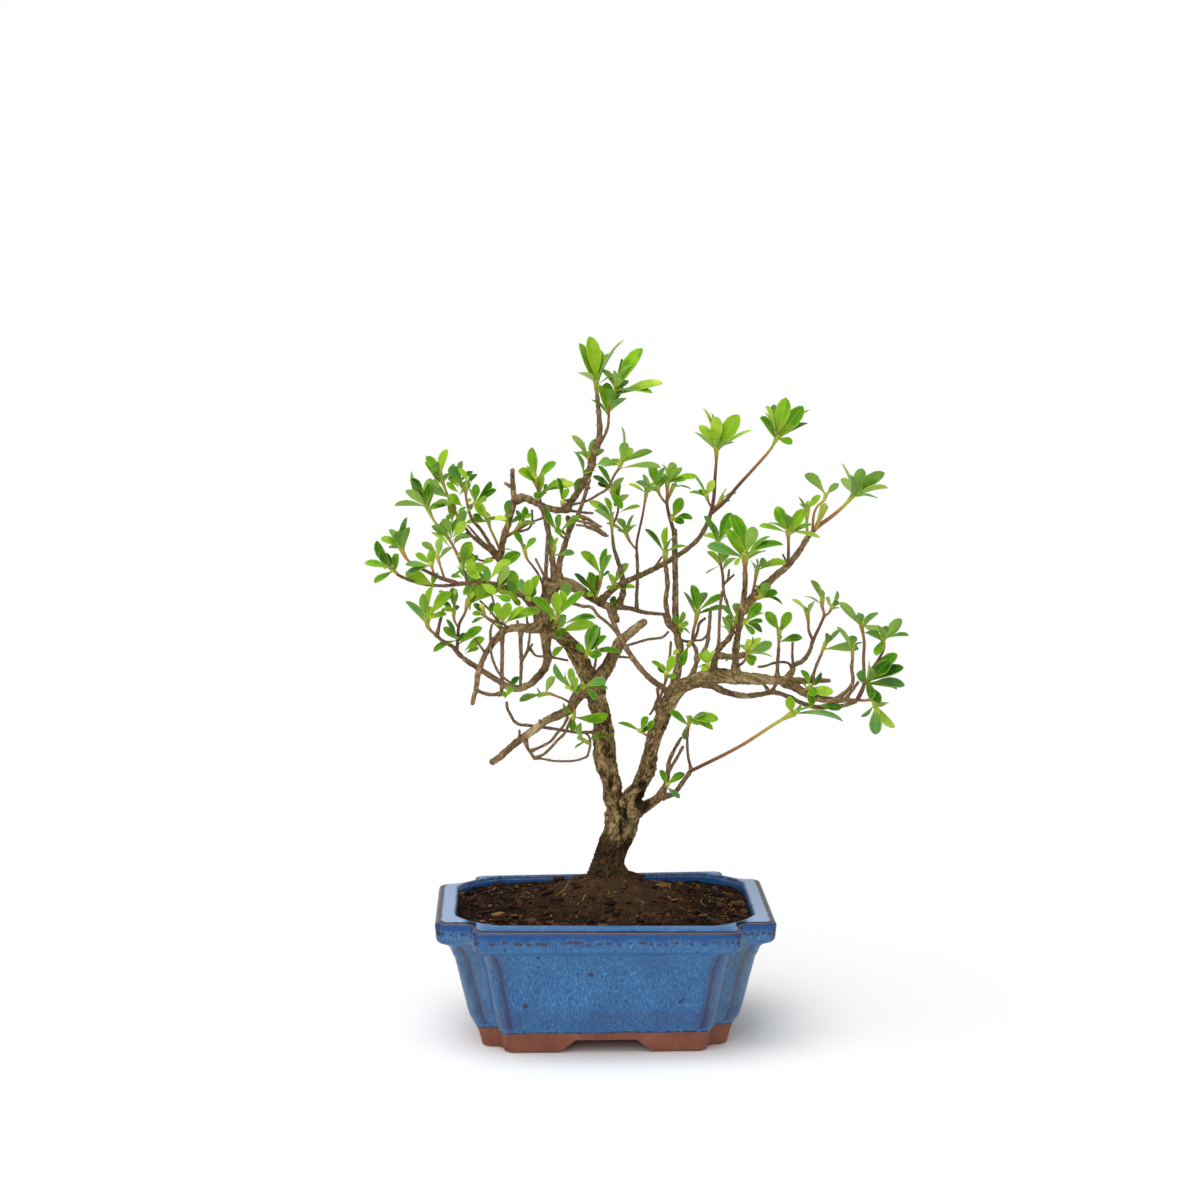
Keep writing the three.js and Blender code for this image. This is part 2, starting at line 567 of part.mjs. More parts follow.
branch('right_twig_d', 'right_knuckle', [-6, -4], [1.1, 1],
  [[76, 241.5], [76.5, 250], [74.5, 258], [72, 266], [71.4, 271]]);
branch('lower_limb', 'right_leader', [2, 8, 12, 14], [2.4, 2, 1.8, 1.6, 1.6, 1.5, 1.3],
  [[57, 213], [68, 209], [76, 205.5], [86, 204], [95, 205], [103, 206], [112, 203],
    [120, 199], [128, 197], [138, 197], [145, 198], [152, 200]]);
branch('link_twig_a', 'lower_limb', [2], [1.2], [[100, 206], [96, 211.5]]);
branch('link_twig_b', 'lower_limb', [3], [1.2], [[101, 206], [104, 212]]);
branch('right_tip_limb', 'right_leader', [-6, -9, -11], [2.8, 2.6, 2.3, 1.9, 1.6],
  [[108, 213], [113, 210.5], [120, 206], [128, 202.5], [135, 201.3], [142, 201], [148, 201]]);
branch('right_crown_stem', 'right_leader', [0, 6, 10], [2, 1.8, 1.5, 1.3],
  [[110, 213], [113, 218.5], [114, 222], [120, 225.5], [124, 232], [124.8, 236]]);
branch('low_bow', 'right_crown_stem', [-8], [0.9],
  [[113.5, 221], [110, 224], [103, 224], [97, 222], [93, 221.5]]);
branch('bare_twig_right', 'right_crown_stem', [-2], [0.9], [[113.5, 222], [113.2, 229], [113.3, 236]]);
branch('right_stem_b', 'right_leader', [-8], [1.3, 1.1], [[104, 213.5], [104.5, 225], [105, 233]]);
branch('right_stem_c', 'right_leader', [2], [1.1, 1], [[125, 213], [128, 223], [130.7, 229]]);
branch('right_stem_d', 'right_tip_limb', [-6, -1], [1.4, 1.1],
  [[140, 201], [148, 208.5], [149.8, 213], [149, 220], [149.4, 227]]);
branch('right_stem_e', 'right_tip_limb', [-14], [1.1], [[145, 201], [149, 206.5], [153, 212]]);
branch('far_right_limb', 'right_stem', [-10, -3, 4], [2.6, 2.5, 2.2, 2, 1.8],
  [[83.3, 255], [87, 260.5], [91, 265], [97, 271], [103, 276.5], [109, 281.5], [113, 286],
    [118, 293], [121, 298.5]]);

// ---------------------------------------------------------------- leafy shoots

// Length direction, width direction and upper-face normal of a leaf. The upper face turns
// toward the stem's tip; `faceOn`, when given, is the share of its width that the front shows.
function leafAxes(base, tip, stem, faceOn) {
  const length = tip.clone().sub(base).normalize();
  const upper = stem.clone().addScaledVector(length, -stem.dot(length));
  if (upper.length() < 0.05) upper.set(0, -1, 0.2);
  upper.normalize();
  let width = new THREE.Vector3().crossVectors(upper, length).normalize();
  if (faceOn !== undefined) {
    const sight = base.clone().sub(VIEWER).normalize();
    const flat = new THREE.Vector3().crossVectors(length, sight).normalize();
    const deep = new THREE.Vector3().crossVectors(length, flat).normalize();
    flat.multiplyScalar(Math.sign(flat.dot(width)) || 1);
    deep.multiplyScalar(Math.sign(deep.dot(width)) || 1);
    width = flat.multiplyScalar(faceOn).addScaledVector(deep, Math.sqrt(1 - faceOn * faceOn));
    upper.crossVectors(length, width);
  }
  return { length, width, upper };
}

// A leaf is a flattened octahedron from its base inside the stem out to its tip.
function leafSolid(base, tip, stem, faceOn, grow) {
  const { length, width, upper } = leafAxes(base, tip, stem, faceOn);
  const reach = base.distanceTo(tip);
  const halfWidth = (reach * LEAF_WIDTH_TO_LENGTH) / 2 + grow * 1.6;
  const halfThickness = LEAF_THICKNESS / 2 + grow * 1.6;
  const geometry = new THREE.OctahedronGeometry(1);
  const position = geometry.attributes.position;
  for (let i = 0; i < position.count; i += 1) {
    const x = Math.round(position.getX(i));
    const distance = x === 0 ? reach * LEAF_WIDEST_AT : (reach + grow * 2) * (x + 1) / 2 - grow;
    const point = base.clone()
      .addScaledVector(length, distance)
      .addScaledVector(width, position.getY(i) * halfWidth)
      .addScaledVector(upper, position.getZ(i) * halfThickness);
    position.setXYZ(i, point.x, point.y, point.z);
  }
  return toSolid(geometry);
}

// Base and tip of each leaf in a whorl. Neighbours on the list lean forward and back in turn.
function whorlLeaves(stems, [at, leafLength, tips]) {
  const { point, tangent } = nearest(stems, at);
  const [baseU, baseV] = seen(point);
  return tips.map(([u, v, faceOn], i) => {
    const spread = Math.hypot(u - baseU, v - baseV);
    const least = leafLength * LEAF_MIN_SPREAD;
    const lean = Math.sqrt(Math.max(leafLength ** 2 - spread ** 2, least ** 2));
    const tip = place(u, v, point.y + (i % 2 === 0 ? -lean : lean));
    const base = point.clone().addScaledVector(tangent, -LEAF_BASE_STEP * (i % 3));
    return { base, tip, stem: tangent, faceOn };
  });
}

// Young stems start on a woody branch, or on an earlier stem of the same shoot.
function shootSolid(shoot, grow) {
  const pieces = shoot.stems.map((stem) => limbSolid(stem, grow));
  for (const { base, tip, stem, faceOn } of shoot.leaves) {
    pieces.push(leafSolid(base, tip, stem, faceOn, grow));
  }
  return wasm.Manifold.union(pieces);
}

const shoots = [];

function shoot(name, stemSpecs, whorls) {
  const stems = [];
  for (const [parent, depths, radii, path] of stemSpecs) {
    const carrier = typeof parent === 'number' ? stems[parent] : wood.get(parent);
    stems.push(layLimb([carrier], depths, radii, path));
  }
  shoots.push({ name, stems, leaves: whorls.flatMap((whorl) => whorlLeaves(stems, whorl)) });
}

// Each shoot: its stems as [parent, depths, radii, seen points], then its whorls as
// [seen place, leaf length, leaf tips as [u, v, share of the width that shows]].

// apex
shoot('shoot_apex_top', [
  ['apex', [-3], [1.2, 1], [[-3.5, 383], [-4, 388], [-4.2, 392]]],
], [
  [[-4, 391], 20, [[-8, 418, 0.9], [-3, 411, 1], [-14, 414, 0.7], [3, 408, 0.6], [12, 416, 0.15],
    [6, 409, 0.3], [-14, 397, 0.4]]],
]);
shoot('shoot_apex_right', [
  ['apex_side', [-5, -6], [1, 0.9], [[3.2, 369], [3.6, 375], [5.2, 381], [7, 387]]],
], [
  [[3.6, 375], 15, [[4.5, 387, 0.9], [2, 391, 1], [-3, 390, 0.6], [11.5, 389, 0.7], [13, 382, 0.6],
    [-7, 381, 0.1]]],
  [[7, 387], 18, [[8, 397, 0.8], [11, 405, 0.7], [23, 411, 0.9], [-1, 399, 0.5], [17, 401, 0.4],
    [35, 391, 0.8], [29, 385, 0.4]]],
]);
shoot('shoot_apex_left', [
  ['apex', [-1], [0.9], [[-6.5, 343], [-8.5, 347]]],
], [
  [[-8.5, 346], 13, [[-18, 360, 0.5], [-11, 356, 0.3], [-5, 358, 0.5], [-17, 350, 0.2],
    [0, 352, 0.8], [-14, 350.5, 0.6]]],
]);
shoot('shoot_top_twig', [
  ['top_twig', [-7], [0.9], [[9.5, 340.2], [11, 344.5]]],
], [
  [[11, 343.5], 14, [[13, 356, 1], [17, 352.5, 0.9], [11, 365, 0.15], [29, 350.5, 0.6],
    [1, 342, 0.4], [34, 341, 0.3]]],
]);

// middle
shoot('shoot_centre_upright', [
  ['centre_upright', [-1], [1.1, 0.9], [[5.6, 300], [5.2, 306], [5, 311.5]]],
  [0, [2, 0], [1, 0.9], [[5.2, 306], [8, 312], [9, 318], [7, 324], [5.5, 329]]],
], [
  [[5, 311.5], 12, [[1, 323, 0.5], [-8, 321, 0.5], [-5, 316, 0.5]]],
  [[9, 318], 13, [[14, 325, 0.8], [5, 330, 0.5], [22, 318, 0.3], [10, 335, 0.5]]],
  [[5.5, 329], 13, [[-3, 342, 0.6], [-6, 336, 0.4], [11, 335, 0.8]]],
]);
shoot('shoot_thin_upright', [
  ['thin_upright', [5, 2], [1.1, 1, 0.9],
    [[20, 289], [20, 296], [21.5, 304], [23.3, 312], [24.5, 319], [26, 328]]],
  [0, [10], [0.9], [[20, 292], [16, 297], [13, 303.5]]],
], [
  [[26, 327], 11, [[20, 333, 0.6], [31, 327, 0.3], [24, 337, 0.6], [33, 332, 0.4], [15, 331, 0.5]]],
  [[13, 303], 11, [[9, 311, 0.8], [20, 307, 0.5], [18, 313, 0.3], [2, 308, 0.5]]],
]);
shoot('shoot_centre_limb', [
  ['centre_limb', [2, -2], [1.1, 1], [[-6, 263.5], [-5, 267], [-2, 272], [-1, 277.5]]],
], [
  [[-5, 266.5], 13, [[-17, 278, 0.6], [-8, 279, 0.8], [-4, 277, 0.5]]],
  [[-1, 277], 13, [[-13, 291, 0.6], [2, 293, 0.7], [5, 289, 0.6]]],
]);
shoot('shoot_long_arc_low', [
  ['long_arc', [4], [1, 0.9], [[5, 267.5], [7, 271.5]]],
], [
  [[7, 270.5], 13, [[15, 284, 0.7], [4, 278, 0.7], [19, 269.5, 0.5]]],
]);
shoot('shoot_tall_stem_top', [
  ['tall_stem', [5, 4, 2], [1.6, 1.4, 1.2, 1],
    [[42, 302], [40.5, 308], [38.8, 314], [37.8, 320], [38, 327], [38, 334]]],
  [0, [-1], [1, 0.9], [[37.9, 319], [35, 322.5], [33, 326], [32, 329.5]]],
  [0, [4], [1, 0.9], [[38, 320], [40, 326], [42, 331]]],
  [0, [1], [0.9], [[40, 309], [41.5, 311]]],
], [
  [[38, 333.5], 13, [[42, 344, 1], [35, 343, 0.2], [46, 341, 0.6], [56, 335.5, 0.4], [49, 333.5, 0.3]]],
  [[32, 328.5], 15, [[28, 343, 0.9], [36, 341, 0.4], [22, 331, 0.4]]],
  [[42, 330], 9, [[52, 328, 0.3], [43, 334, 0.5]]],
  [[41.3, 310.5], 14, [[46.5, 323, 1], [53, 311, 0.6]]],
]);
shoot('shoot_twin_stem', [
  ['twin_stem', [-1], [1.3, 1.1], [[37, 286], [37, 292]]],
], [
  [[37, 290.5], 14, [[38, 305.5, 0.7], [25, 304.5, 0.3], [42, 300, 0.3], [50, 294, 0.4]]],
]);
shoot('shoot_tall_stem_low', [
  ['tall_stem', [0], [0.9], [[43.8, 245], [46.5, 247]]],
], [
  [[46, 246.5], 9, [[51, 247.5, 0.9], [52, 241.5, 0.4], [47.5, 255, 0.6]]],
]);
shoot('shoot_leader_twig', [
  ['leader_twig', [-11], [0.9], [[37, 212], [37.7, 218.5]]],
], [
  [[37.7, 217.5], 11, [[29, 225, 0.5], [35, 224, 0.4], [43, 228, 0.7]]],
]);
shoot('shoot_leader_fork', [
  ['right_leader', [-10], [1, 0.9], [[30, 178], [26, 180.5], [22, 183.5]]],
], [
  [[22.5, 183], 11, [[27, 191.5, 0.7], [9, 188, 0.5], [31, 188, 0.6]]],
]);

// upper right
shoot('shoot_long_arc_top', [
  ['long_arc', [12, 10], [1.5, 1.4, 1.2, 1],
    [[64, 313.5], [65.5, 322], [66.3, 335], [67, 346], [67, 353]]],
  [0, [6], [1, 0.9], [[64.6, 317], [62.5, 320.5], [61, 325]]],
  [0, [14], [1, 0.9], [[65, 317], [68, 318.5], [70.5, 323]]],
], [
  [[67, 352.5], 18, [[67, 371, 1], [57, 366, 0.8], [80, 372, 0.9], [59, 376, 0.3], [54, 362, 0.4],
    [64, 373, 0.4], [77, 356, 0.4], [88, 363, 0.15]]],
  [[61, 324], 12, [[66, 333, 0.9], [51, 326, 0.4], [53, 337, 0.15]]],
  [[70.5, 322], 9, [[79, 326, 0.3], [73, 328, 0.3]]],
]);
shoot('shoot_long_arc_side', [
  ['long_arc', [2, -8], [1.6, 1.4, 1.2, 1.1],
    [[64, 313], [72, 320.5], [80, 330], [90, 341], [99, 351.5], [103.5, 359.5]]],
], [
  [[103.5, 358.5], 21, [[108, 382, 1], [101, 378, 0.9], [118, 377, 1], [96, 373, 0.5],
    [93, 370, 0.6], [121, 367, 0.6], [96, 377, 0.1], [122, 375, 0.3]]],
]);
shoot('shoot_far_right', [
  ['far_right_limb', [8, 12, 14], [1.8, 1.6, 1.4, 1.1],
    [[120.5, 297.5], [127, 305], [135, 311], [141, 316], [145, 320], [149.5, 325.5]]],
  [0, [2], [1.3, 1], [[121.8, 299], [121, 308], [121.5, 316.5]]],
  [0, [14], [1.1, 0.9], [[124, 302], [125.5, 314], [128, 318.5], [131, 321], [132.3, 325]]],
  [0, [6], [1.8, 1.5], [[126, 304], [129, 311], [131.5, 318]]],
], [
  [[149, 324.5], 17, [[154, 340, 1], [167, 337.5, 0.8], [147.5, 336, 0.5], [141, 333.5, 0.5],
    [141.5, 343, 0.1], [169, 328.5, 0.4], [163, 322.5, 0.3]]],
  [[121.5, 316], 12, [[129, 324, 0.8], [118, 319, 0.7], [116, 323.5, 0.2]]],
  [[132, 324.5], 16, [[120, 337, 0.8]]],
]);
shoot('shoot_far_right_inner', [
  ['far_right_limb', [-4, -8], [1.3, 1.1], [[110, 282.5], [110.3, 293], [110, 304]]],
], [
  [[110, 303], 16, [[109, 313, 0.9], [103, 317.5, 1], [119.5, 316, 0.9], [99, 308, 0.3],
    [93, 306, 0.3], [124, 307, 0.4], [129, 299, 0.3]]],
]);
shoot('shoot_right_stem_top', [
  ['right_stem', [-16], [1.7, 1.5], [[84.5, 276.5], [84.5, 290]]],
], [
  [[84.5, 288.5], 20, [[90, 305.5, 1], [76, 313, 0.6], [73, 304, 0.8], [107, 295, 0.5],
    [62, 294, 0.5], [96, 291, 0.4], [80, 283, 0.4], [99, 300, 0.15]]],
]);
shoot('shoot_right_inner', [
  ['right_twig_d', [-4, -6], [1.2, 1], [[71.6, 269.5], [71.3, 276], [70.3, 282], [69, 290], [68, 298]]],
], [
  [[68, 297], 15, [[64.5, 309, 0.4], [76, 314, 1], [60, 312, 0.2], [60, 301, 0.5], [74, 300, 0.3]]],
  [[70.3, 282.5], 13, [[72.5, 291.5, 1], [62, 291, 0.5], [79, 287, 0.5], [62, 278, 0.15]]],
]);
shoot('shoot_far_right_base', [
  ['far_right_limb', [-10], [1.2, 1], [[88, 262], [90, 270], [91, 276], [92, 282]]],
  [0, [-14], [1], [[88.7, 265], [92, 263], [95, 264.5]]],
], [
  [[92, 281], 11, [[97, 285.5, 1], [109, 284, 0.5], [88, 285, 0.4]]],
  [[94.5, 264], 12, [[98, 272, 1], [91, 271, 0.7], [104, 266, 0.6], [107, 259, 0.3]]],
]);
shoot('shoot_right_knot', [
  ['right_twig_knot', [3], [1.3, 1.1], [[53, 236], [54, 244], [55.3, 249], [56.5, 256]]],
  [0, [0], [0.9], [[53.3, 238], [51, 234.5]]],
], [
  [[56.5, 255], 14, [[61, 266.5, 0.9], [53, 271, 0.7], [48, 267, 0.5], [72, 265, 0.4], [75, 257, 0.4]]],
  [[51.5, 234.5], 12, [[47.5, 222.5, 0.8]]],
]);
shoot('shoot_right_twig', [
  ['right_twig_c', [-16], [0.9], [[64.8, 219], [63, 223]]],
], [
  [[63.2, 222.5], 10, [[62, 232, 0.8], [57.5, 230, 0.8], [67, 231, 0.5], [57, 221.5, 0.2]]],
]);
shoot('shoot_right_stem_mid', [
  ['right_stem', [-22], [1], [[82, 246], [85, 248.5]]],
], [
  [[84.5, 248.3], 13, [[94, 260, 1], [96, 254, 0.3], [95, 248.5, 0.4], [95, 243, 0.7], [89, 241, 0.6]]],
]);
shoot('shoot_knuckle', [
  ['right_knuckle', [-10], [1.1, 0.9], [[76.5, 242], [79, 247], [80, 252]]],
], [
  [[80, 251], 11, [[80, 260, 1], [70.5, 258.5, 0.5], [74, 250, 0.5]]],
  [[77.5, 243.5], 11, [[74.5, 253, 1], [70, 246.5, 0.2], [71.5, 252, 0.6]]],
]);
shoot('shoot_right_stem_low', [
  ['right_stem', [-17], [1.2, 1], [[79.2, 221], [84, 224.5], [87, 230.5]]],
], [
  [[87, 229.5], 13, [[101, 236, 1], [94, 239, 0.8], [86, 238, 0.6], [81.5, 235, 0.4], [101, 227.5, 0.2],
    [89.5, 240, 0.2]]],
]);

// right side
shoot('shoot_right_stem_b', [
  ['right_stem_b', [-9], [1.1, 1], [[104.9, 231.5], [105.2, 244.5]]],
], [
  [[105, 243], 14, [[97, 254.5, 0.9], [111.5, 254.5, 1]]],
  [[105.2, 236], 14, [[119, 239, 0.7]]],
]);
shoot('shoot_right_stem_c', [
  ['right_stem_c', [4], [1, 0.9], [[130, 227], [133, 235.5]]],
], [
  [[133, 234.5], 11, [[135, 241, 0.9], [142, 243.5, 0.5], [153, 232, 0.6]]],
]);
shoot('shoot_right_crown', [
  ['right_crown_stem', [14], [1.4, 1.2, 1],
    [[124.3, 234], [127, 240.5], [130, 247], [132, 253], [130.8, 258], [131, 263.5]]],
  [0, [8], [1.3, 1.1, 1], [[125.3, 237], [123, 243], [122.5, 250], [121.5, 255.5]]],
  [0, [18], [1, 0.9], [[131.8, 252], [135, 254], [137.3, 258.5]]],
], [
  [[131, 262], 12, [[129, 269, 0.6], [124, 273.5, 0.6], [120, 264, 0.3]]],
  [[121.5, 254.5], 9, [[112.5, 262, 0.5], [118, 259, 0.5], [126, 261, 0.5]]],
  [[137.2, 257.5], 10, [[140, 267, 0.6], [133, 263, 0.4], [141, 257, 0.3]]],
]);
shoot('shoot_right_stem_d', [
  ['right_stem_d', [0], [1, 0.9], [[149.2, 225], [149.3, 233.5]]],
], [
  [[149.3, 232.5], 11, [[150, 240, 1], [146, 240, 0.8], [140, 245.5, 0.2], [157, 236, 0.3]]],
]);
shoot('shoot_right_end', [
  ['right_tip_limb', [-12, -14], [1.5, 1.2, 1, 0.9],
    [[146.5, 201], [152, 201], [157, 200.8], [161.5, 201], [163.5, 197]]],
  [0, [-15, -18, -16, -12], [1.3, 1.2, 1],
    [[152, 201], [155, 207], [157, 211], [160, 214], [161.5, 220], [165, 225.5], [168, 232], [167, 240]]],
  [0, [-8, -3, 1], [1.4, 1.3, 1.1],
    [[153, 201], [156, 208], [156.5, 216], [156, 226], [156.3, 236], [155.3, 242], [154, 249]]],
], [
  [[159.5, 213], 19, [[172, 225, 1], [180, 221, 0.8], [159.5, 222.5, 0.7], [176, 229, 0.9],
    [152, 217, 0.8], [181, 210, 0.7], [160, 202, 0.8], [176.5, 207.5, 0.2], [166, 199, 0.8]]],
  [[167.2, 238], 15, [[164, 228, 0.9], [178.5, 250, 0.9], [165, 246, 0.5], [183, 240, 0.3],
    [157, 242, 0.5], [172, 243, 0.4]]],
  [[154.3, 247], 16, [[151.5, 252.5, 0.9], [141, 260, 0.7], [164, 254, 0.4], [165, 242, 0.5]]],
  [[163.2, 198], 16, [[164, 180, 1], [175, 184, 0.7], [171, 199, 0.5]]],
]);
shoot('shoot_right_under', [
  ['right_tip_limb', [-9], [1, 0.9], [[119, 206.5], [122, 208], [124.5, 209.5]]],
], [
  [[124, 209], 14, [[127.5, 204, 1], [131, 217.5, 0.6], [138, 206, 1], [119, 219.5, 0.8],
    [125, 198, 0.8], [116.5, 214, 0.3]]],
]);
shoot('shoot_low_orange', [
  ['low_twig_out', [-16, -24, -30], [1.3, 1.1, 1],
    [[53, 158.5], [65, 164.5], [75, 169.5], [85, 175], [95, 181.5], [105, 188], [114.5, 193.5]]],
], [
  [[113.5, 192.8], 13, [[111.5, 203.5, 1], [119, 198, 0.6], [126, 197, 0.3], [144, 188.5, 0.15]]],
]);
shoot('shoot_low_rise', [
  ['low_twig_rise', [-13], [0.9], [[51, 182], [52, 190.5]]],
], [
  [[52, 189], 15, [[69, 190, 0.8], [50, 178, 0.6], [40, 194, 0.6], [66, 184, 0.5]]],
]);
shoot('shoot_low_spur', [
  ['low_twig_up', [-5], [1, 0.9], [[36, 147], [39, 150.5]]],
], [
  [[39, 149.5], 11, [[34, 159, 0.8], [49, 157, 0.7], [46, 142, 0.7]]],
]);

// inner left
shoot('shoot_left_leader', [
  ['left_leader', [-8], [1.1, 1], [[-7, 207], [-12, 210]]],
  [0, [-9], [1], [[-9.5, 208.5], [-14, 207], [-18.5, 209]]],
], [
  [[-12, 209.5], 14, [[2, 213, 0.7], [3, 209, 0.4], [-3, 204, 0.6]]],
  [[-18.5, 208.8], 16, [[-17, 221, 0.8], [-31, 228, 0.8], [-15, 215, 0.5]]],
]);
shoot('shoot_left_leader_high', [
  ['left_leader', [-7], [1.1, 1], [[-13, 225], [-9, 230.5]]],
], [
  [[-9.5, 229.8], 14, [[-1, 229, 0.9], [-4, 247.5, 0.9], [2, 240.5, 0.7], [11, 230.5, 0.5]]],
]);
shoot('shoot_low_left', [
  ['low_left_stub', [2], [1, 0.9], [[-18, 199.5], [-24, 203], [-28, 204.5], [-32, 206], [-37, 205.5]]],
  [0, [-3], [0.9], [[-20, 201], [-17, 196], [-18, 190.5]]],
], [
  [[-36.5, 205.5], 12, [[-50, 202, 0.6], [-29, 216.5, 0.8]]],
  [[-17.9, 191.5], 14, [[3, 193, 0.7], [-24, 200, 0.6]]],
]);
shoot('shoot_low_loop', [
  ['low_loop_c', [0], [0.9], [[-8, 175.5], [-12.5, 178]]],
], [
  [[-12, 177.5], 12, [[-14, 188, 0.7], [6, 181, 0.5]]],
]);
shoot('shoot_inner_left', [
  ['left_leader', [-9], [1.2, 1], [[-26, 241.5], [-28.5, 246], [-27, 253.5]]],
], [
  [[-28, 244], 15, [[-22, 253, 0.9], [-34, 252, 0.9], [-5, 247.5, 0.8]]],
  [[-27, 252.5], 16, [[-28, 267, 1], [-24, 268, 0.8], [-42, 263.5, 0.7], [-11, 267.5, 0.6]]],
]);
shoot('shoot_far_left_base', [
  ['far_left_limb', [-9], [1, 0.9], [[-41, 260.5], [-44, 263]]],
], [
  [[-44, 262], 14, [[-43, 274.5, 0.7], [-49, 275, 0.8], [-38, 277, 0.6]]],
]);
shoot('shoot_upright_a', [
  ['upright_a', [2], [1, 0.9], [[-30, 286], [-29, 293]]],
], [
  [[-29, 292], 11, [[-33, 302, 0.8], [-27, 299.5, 0.6], [-17, 290, 0.5]]],
]);
shoot('shoot_upright_b', [
  ['upright_b', [-4], [1, 0.9], [[-22, 298], [-25, 301], [-27.5, 304]]],
], [
  [[-27.3, 303], 14, [[-25, 313, 0.7], [-34, 318, 0.7], [-12, 312, 0.5], [-21, 300, 0.5]]],
]);
shoot('shoot_middle_upright', [
  ['middle_upright', [-4, -6], [1, 0.9], [[-34, 266], [-38, 277], [-42, 283], [-45, 287], [-46.8, 294]]],
], [
  [[-46.5, 293], 10, [[-53, 303, 0.7], [-40, 299.5, 0.7]]],
]);
shoot('shoot_top_bar', [
  ['top_bar', [6, 2], [1, 0.9], [[-36.5, 318.5], [-38, 326], [-40, 335.5]]],
], [
  [[-40, 334], 15, [[-42, 353, 0.9], [-28, 344.5, 0.7], [-50, 339, 0.5]]],
  [[-38, 326], 15, [[-35, 337.5, 0.8], [-45, 342, 0.6], [-22, 334, 0.5], [-17, 331.5, 0.4]]],
]);
shoot('shoot_top_bar_inner', [
  ['top_bar', [-3], [1, 0.9], [[-24, 315.8], [-24, 321]]],
], [
  [[-24, 320], 10, [[-20, 328.5, 0.6], [-27, 335, 0.4]]],
]);

// left side
shoot('shoot_left_upright', [
  ['left_upright', [10], [1, 0.9], [[-58.5, 301], [-53, 303], [-48, 309]]],
  [0, [12], [0.9], [[-56, 302.3], [-57, 311.5]]],
], [
  [[-57, 310.5], 11, [[-55, 322, 0.8], [-67, 311, 0.5], [-46, 313, 0.5]]],
  [[-48.3, 308.3], 10, [[-46, 318, 0.8], [-51, 316, 0.6], [-40, 308, 0.4]]],
]);
shoot('shoot_left_orange', [
  ['left_upright', [4], [1.1, 1], [[-60.5, 290], [-63, 297], [-67, 306], [-68, 312.5]]],
], [
  [[-68, 311.5], 12, [[-76, 320, 0.8], [-57, 311, 0.5], [-78, 309, 0.5]]],
]);
shoot('shoot_left_fan', [
  ['fan_b', [-6], [1.1, 0.9], [[-79, 315], [-81, 325], [-80, 332.5]]],
  [0, [-2], [0.9], [[-81, 326], [-84, 331], [-87, 336]]],
  [0, [-12], [0.9], [[-80, 317.5], [-75, 321]]],
], [
  [[-87, 335.3], 11, [[-89, 343, 0.8], [-83, 345, 0.7], [-77, 339, 0.6]]],
  [[-80, 331.5], 9, [[-75, 337.5, 0.7], [-84, 333, 0.5]]],
  [[-75.3, 320.5], 12, [[-75, 331.5, 1], [-79, 329, 0.6], [-63, 328, 0.7], [-66, 333, 0.6],
    [-69, 322, 0.5]]],
]);
shoot('shoot_left_high', [
  ['fan_a', [6, 2], [1.2, 1], [[-78, 301], [-84, 309], [-88, 316], [-91, 323], [-96, 336]]],
], [
  [[-95.5, 335], 13, [[-99, 344, 0.9], [-104, 348, 0.7], [-90, 338, 0.6], [-92, 352, 0.7]]],
  [[-87, 313.5], 10, [[-91, 322, 0.6], [-81, 318, 0.6]]],
]);
shoot('shoot_left_rise', [
  ['far_left_limb', [0, 4], [1.3, 1.1, 1],
    [[-80, 272.7], [-83, 281], [-86, 289], [-90, 297], [-94, 303], [-100, 310], [-104, 318.5]]],
], [
  [[-104, 317.5], 17, [[-116, 328, 0.8], [-102, 335, 0.9], [-113, 339, 0.5], [-123, 319, 0.6],
    [-90, 321, 0.6], [-114, 334, 0.4]]],
  [[-91, 298.5], 12, [[-101, 307, 0.7], [-96, 309, 0.5], [-82, 301, 0.6]]],
  [[-82.5, 280], 14, [[-80, 294, 0.7], [-74, 289, 0.5]]],
]);
shoot('shoot_far_left', [
  ['far_left_limb', [-14, -18, -16], [1.7, 1.5, 1.3, 1.1, 1],
    [[-88, 273.2], [-95, 275.3], [-100, 277.5], [-106, 280.5], [-111, 283], [-116, 287], [-120, 294.5]]],
  [0, [-8], [1, 0.9], [[-93.5, 275], [-97, 285], [-98.5, 290.5]]],
  [0, [-22], [1, 0.9], [[-100, 277.5], [-102, 284.5]]],
], [
  [[-120, 293.5], 14, [[-121, 304, 0.9], [-126, 305, 0.8], [-115, 306, 0.6], [-131, 300, 0.6],
    [-116, 312, 0.5]]],
  [[-98.3, 289.5], 12, [[-107, 297, 0.8], [-96, 299.5, 0.8], [-89, 294, 0.6]]],
  [[-101.8, 283.5], 12, [[-111, 290, 0.7], [-117, 284, 0.6], [-99, 291, 0.5], [-117, 277, 0.5]]],
]);
shoot('shoot_far_left_low', [
  ['far_left_fork', [-26], [1, 0.9], [[-120.5, 277.3], [-125.8, 282]]],
], [
  [[-125.2, 281.3], 15, [[-131, 293, 0.8], [-134, 298, 0.7], [-121, 290, 0.6], [-141, 285, 0.6],
    [-135, 273, 0.6]]],
]);
shoot('shoot_left_arc', [
  ['left_arc', [-14, -18], [1.1, 1], [[-56, 245.5], [-60, 248.5], [-65, 250], [-70, 253], [-72, 259]]],
], [
  [[-59.5, 248.5], 13, [[-56, 261, 1], [-63, 261, 0.8], [-47, 258, 0.6], [-37, 256, 0.4]]],
  [[-70.5, 254], 10, [[-77, 260, 0.7], [-78, 249, 0.6]]],
]);
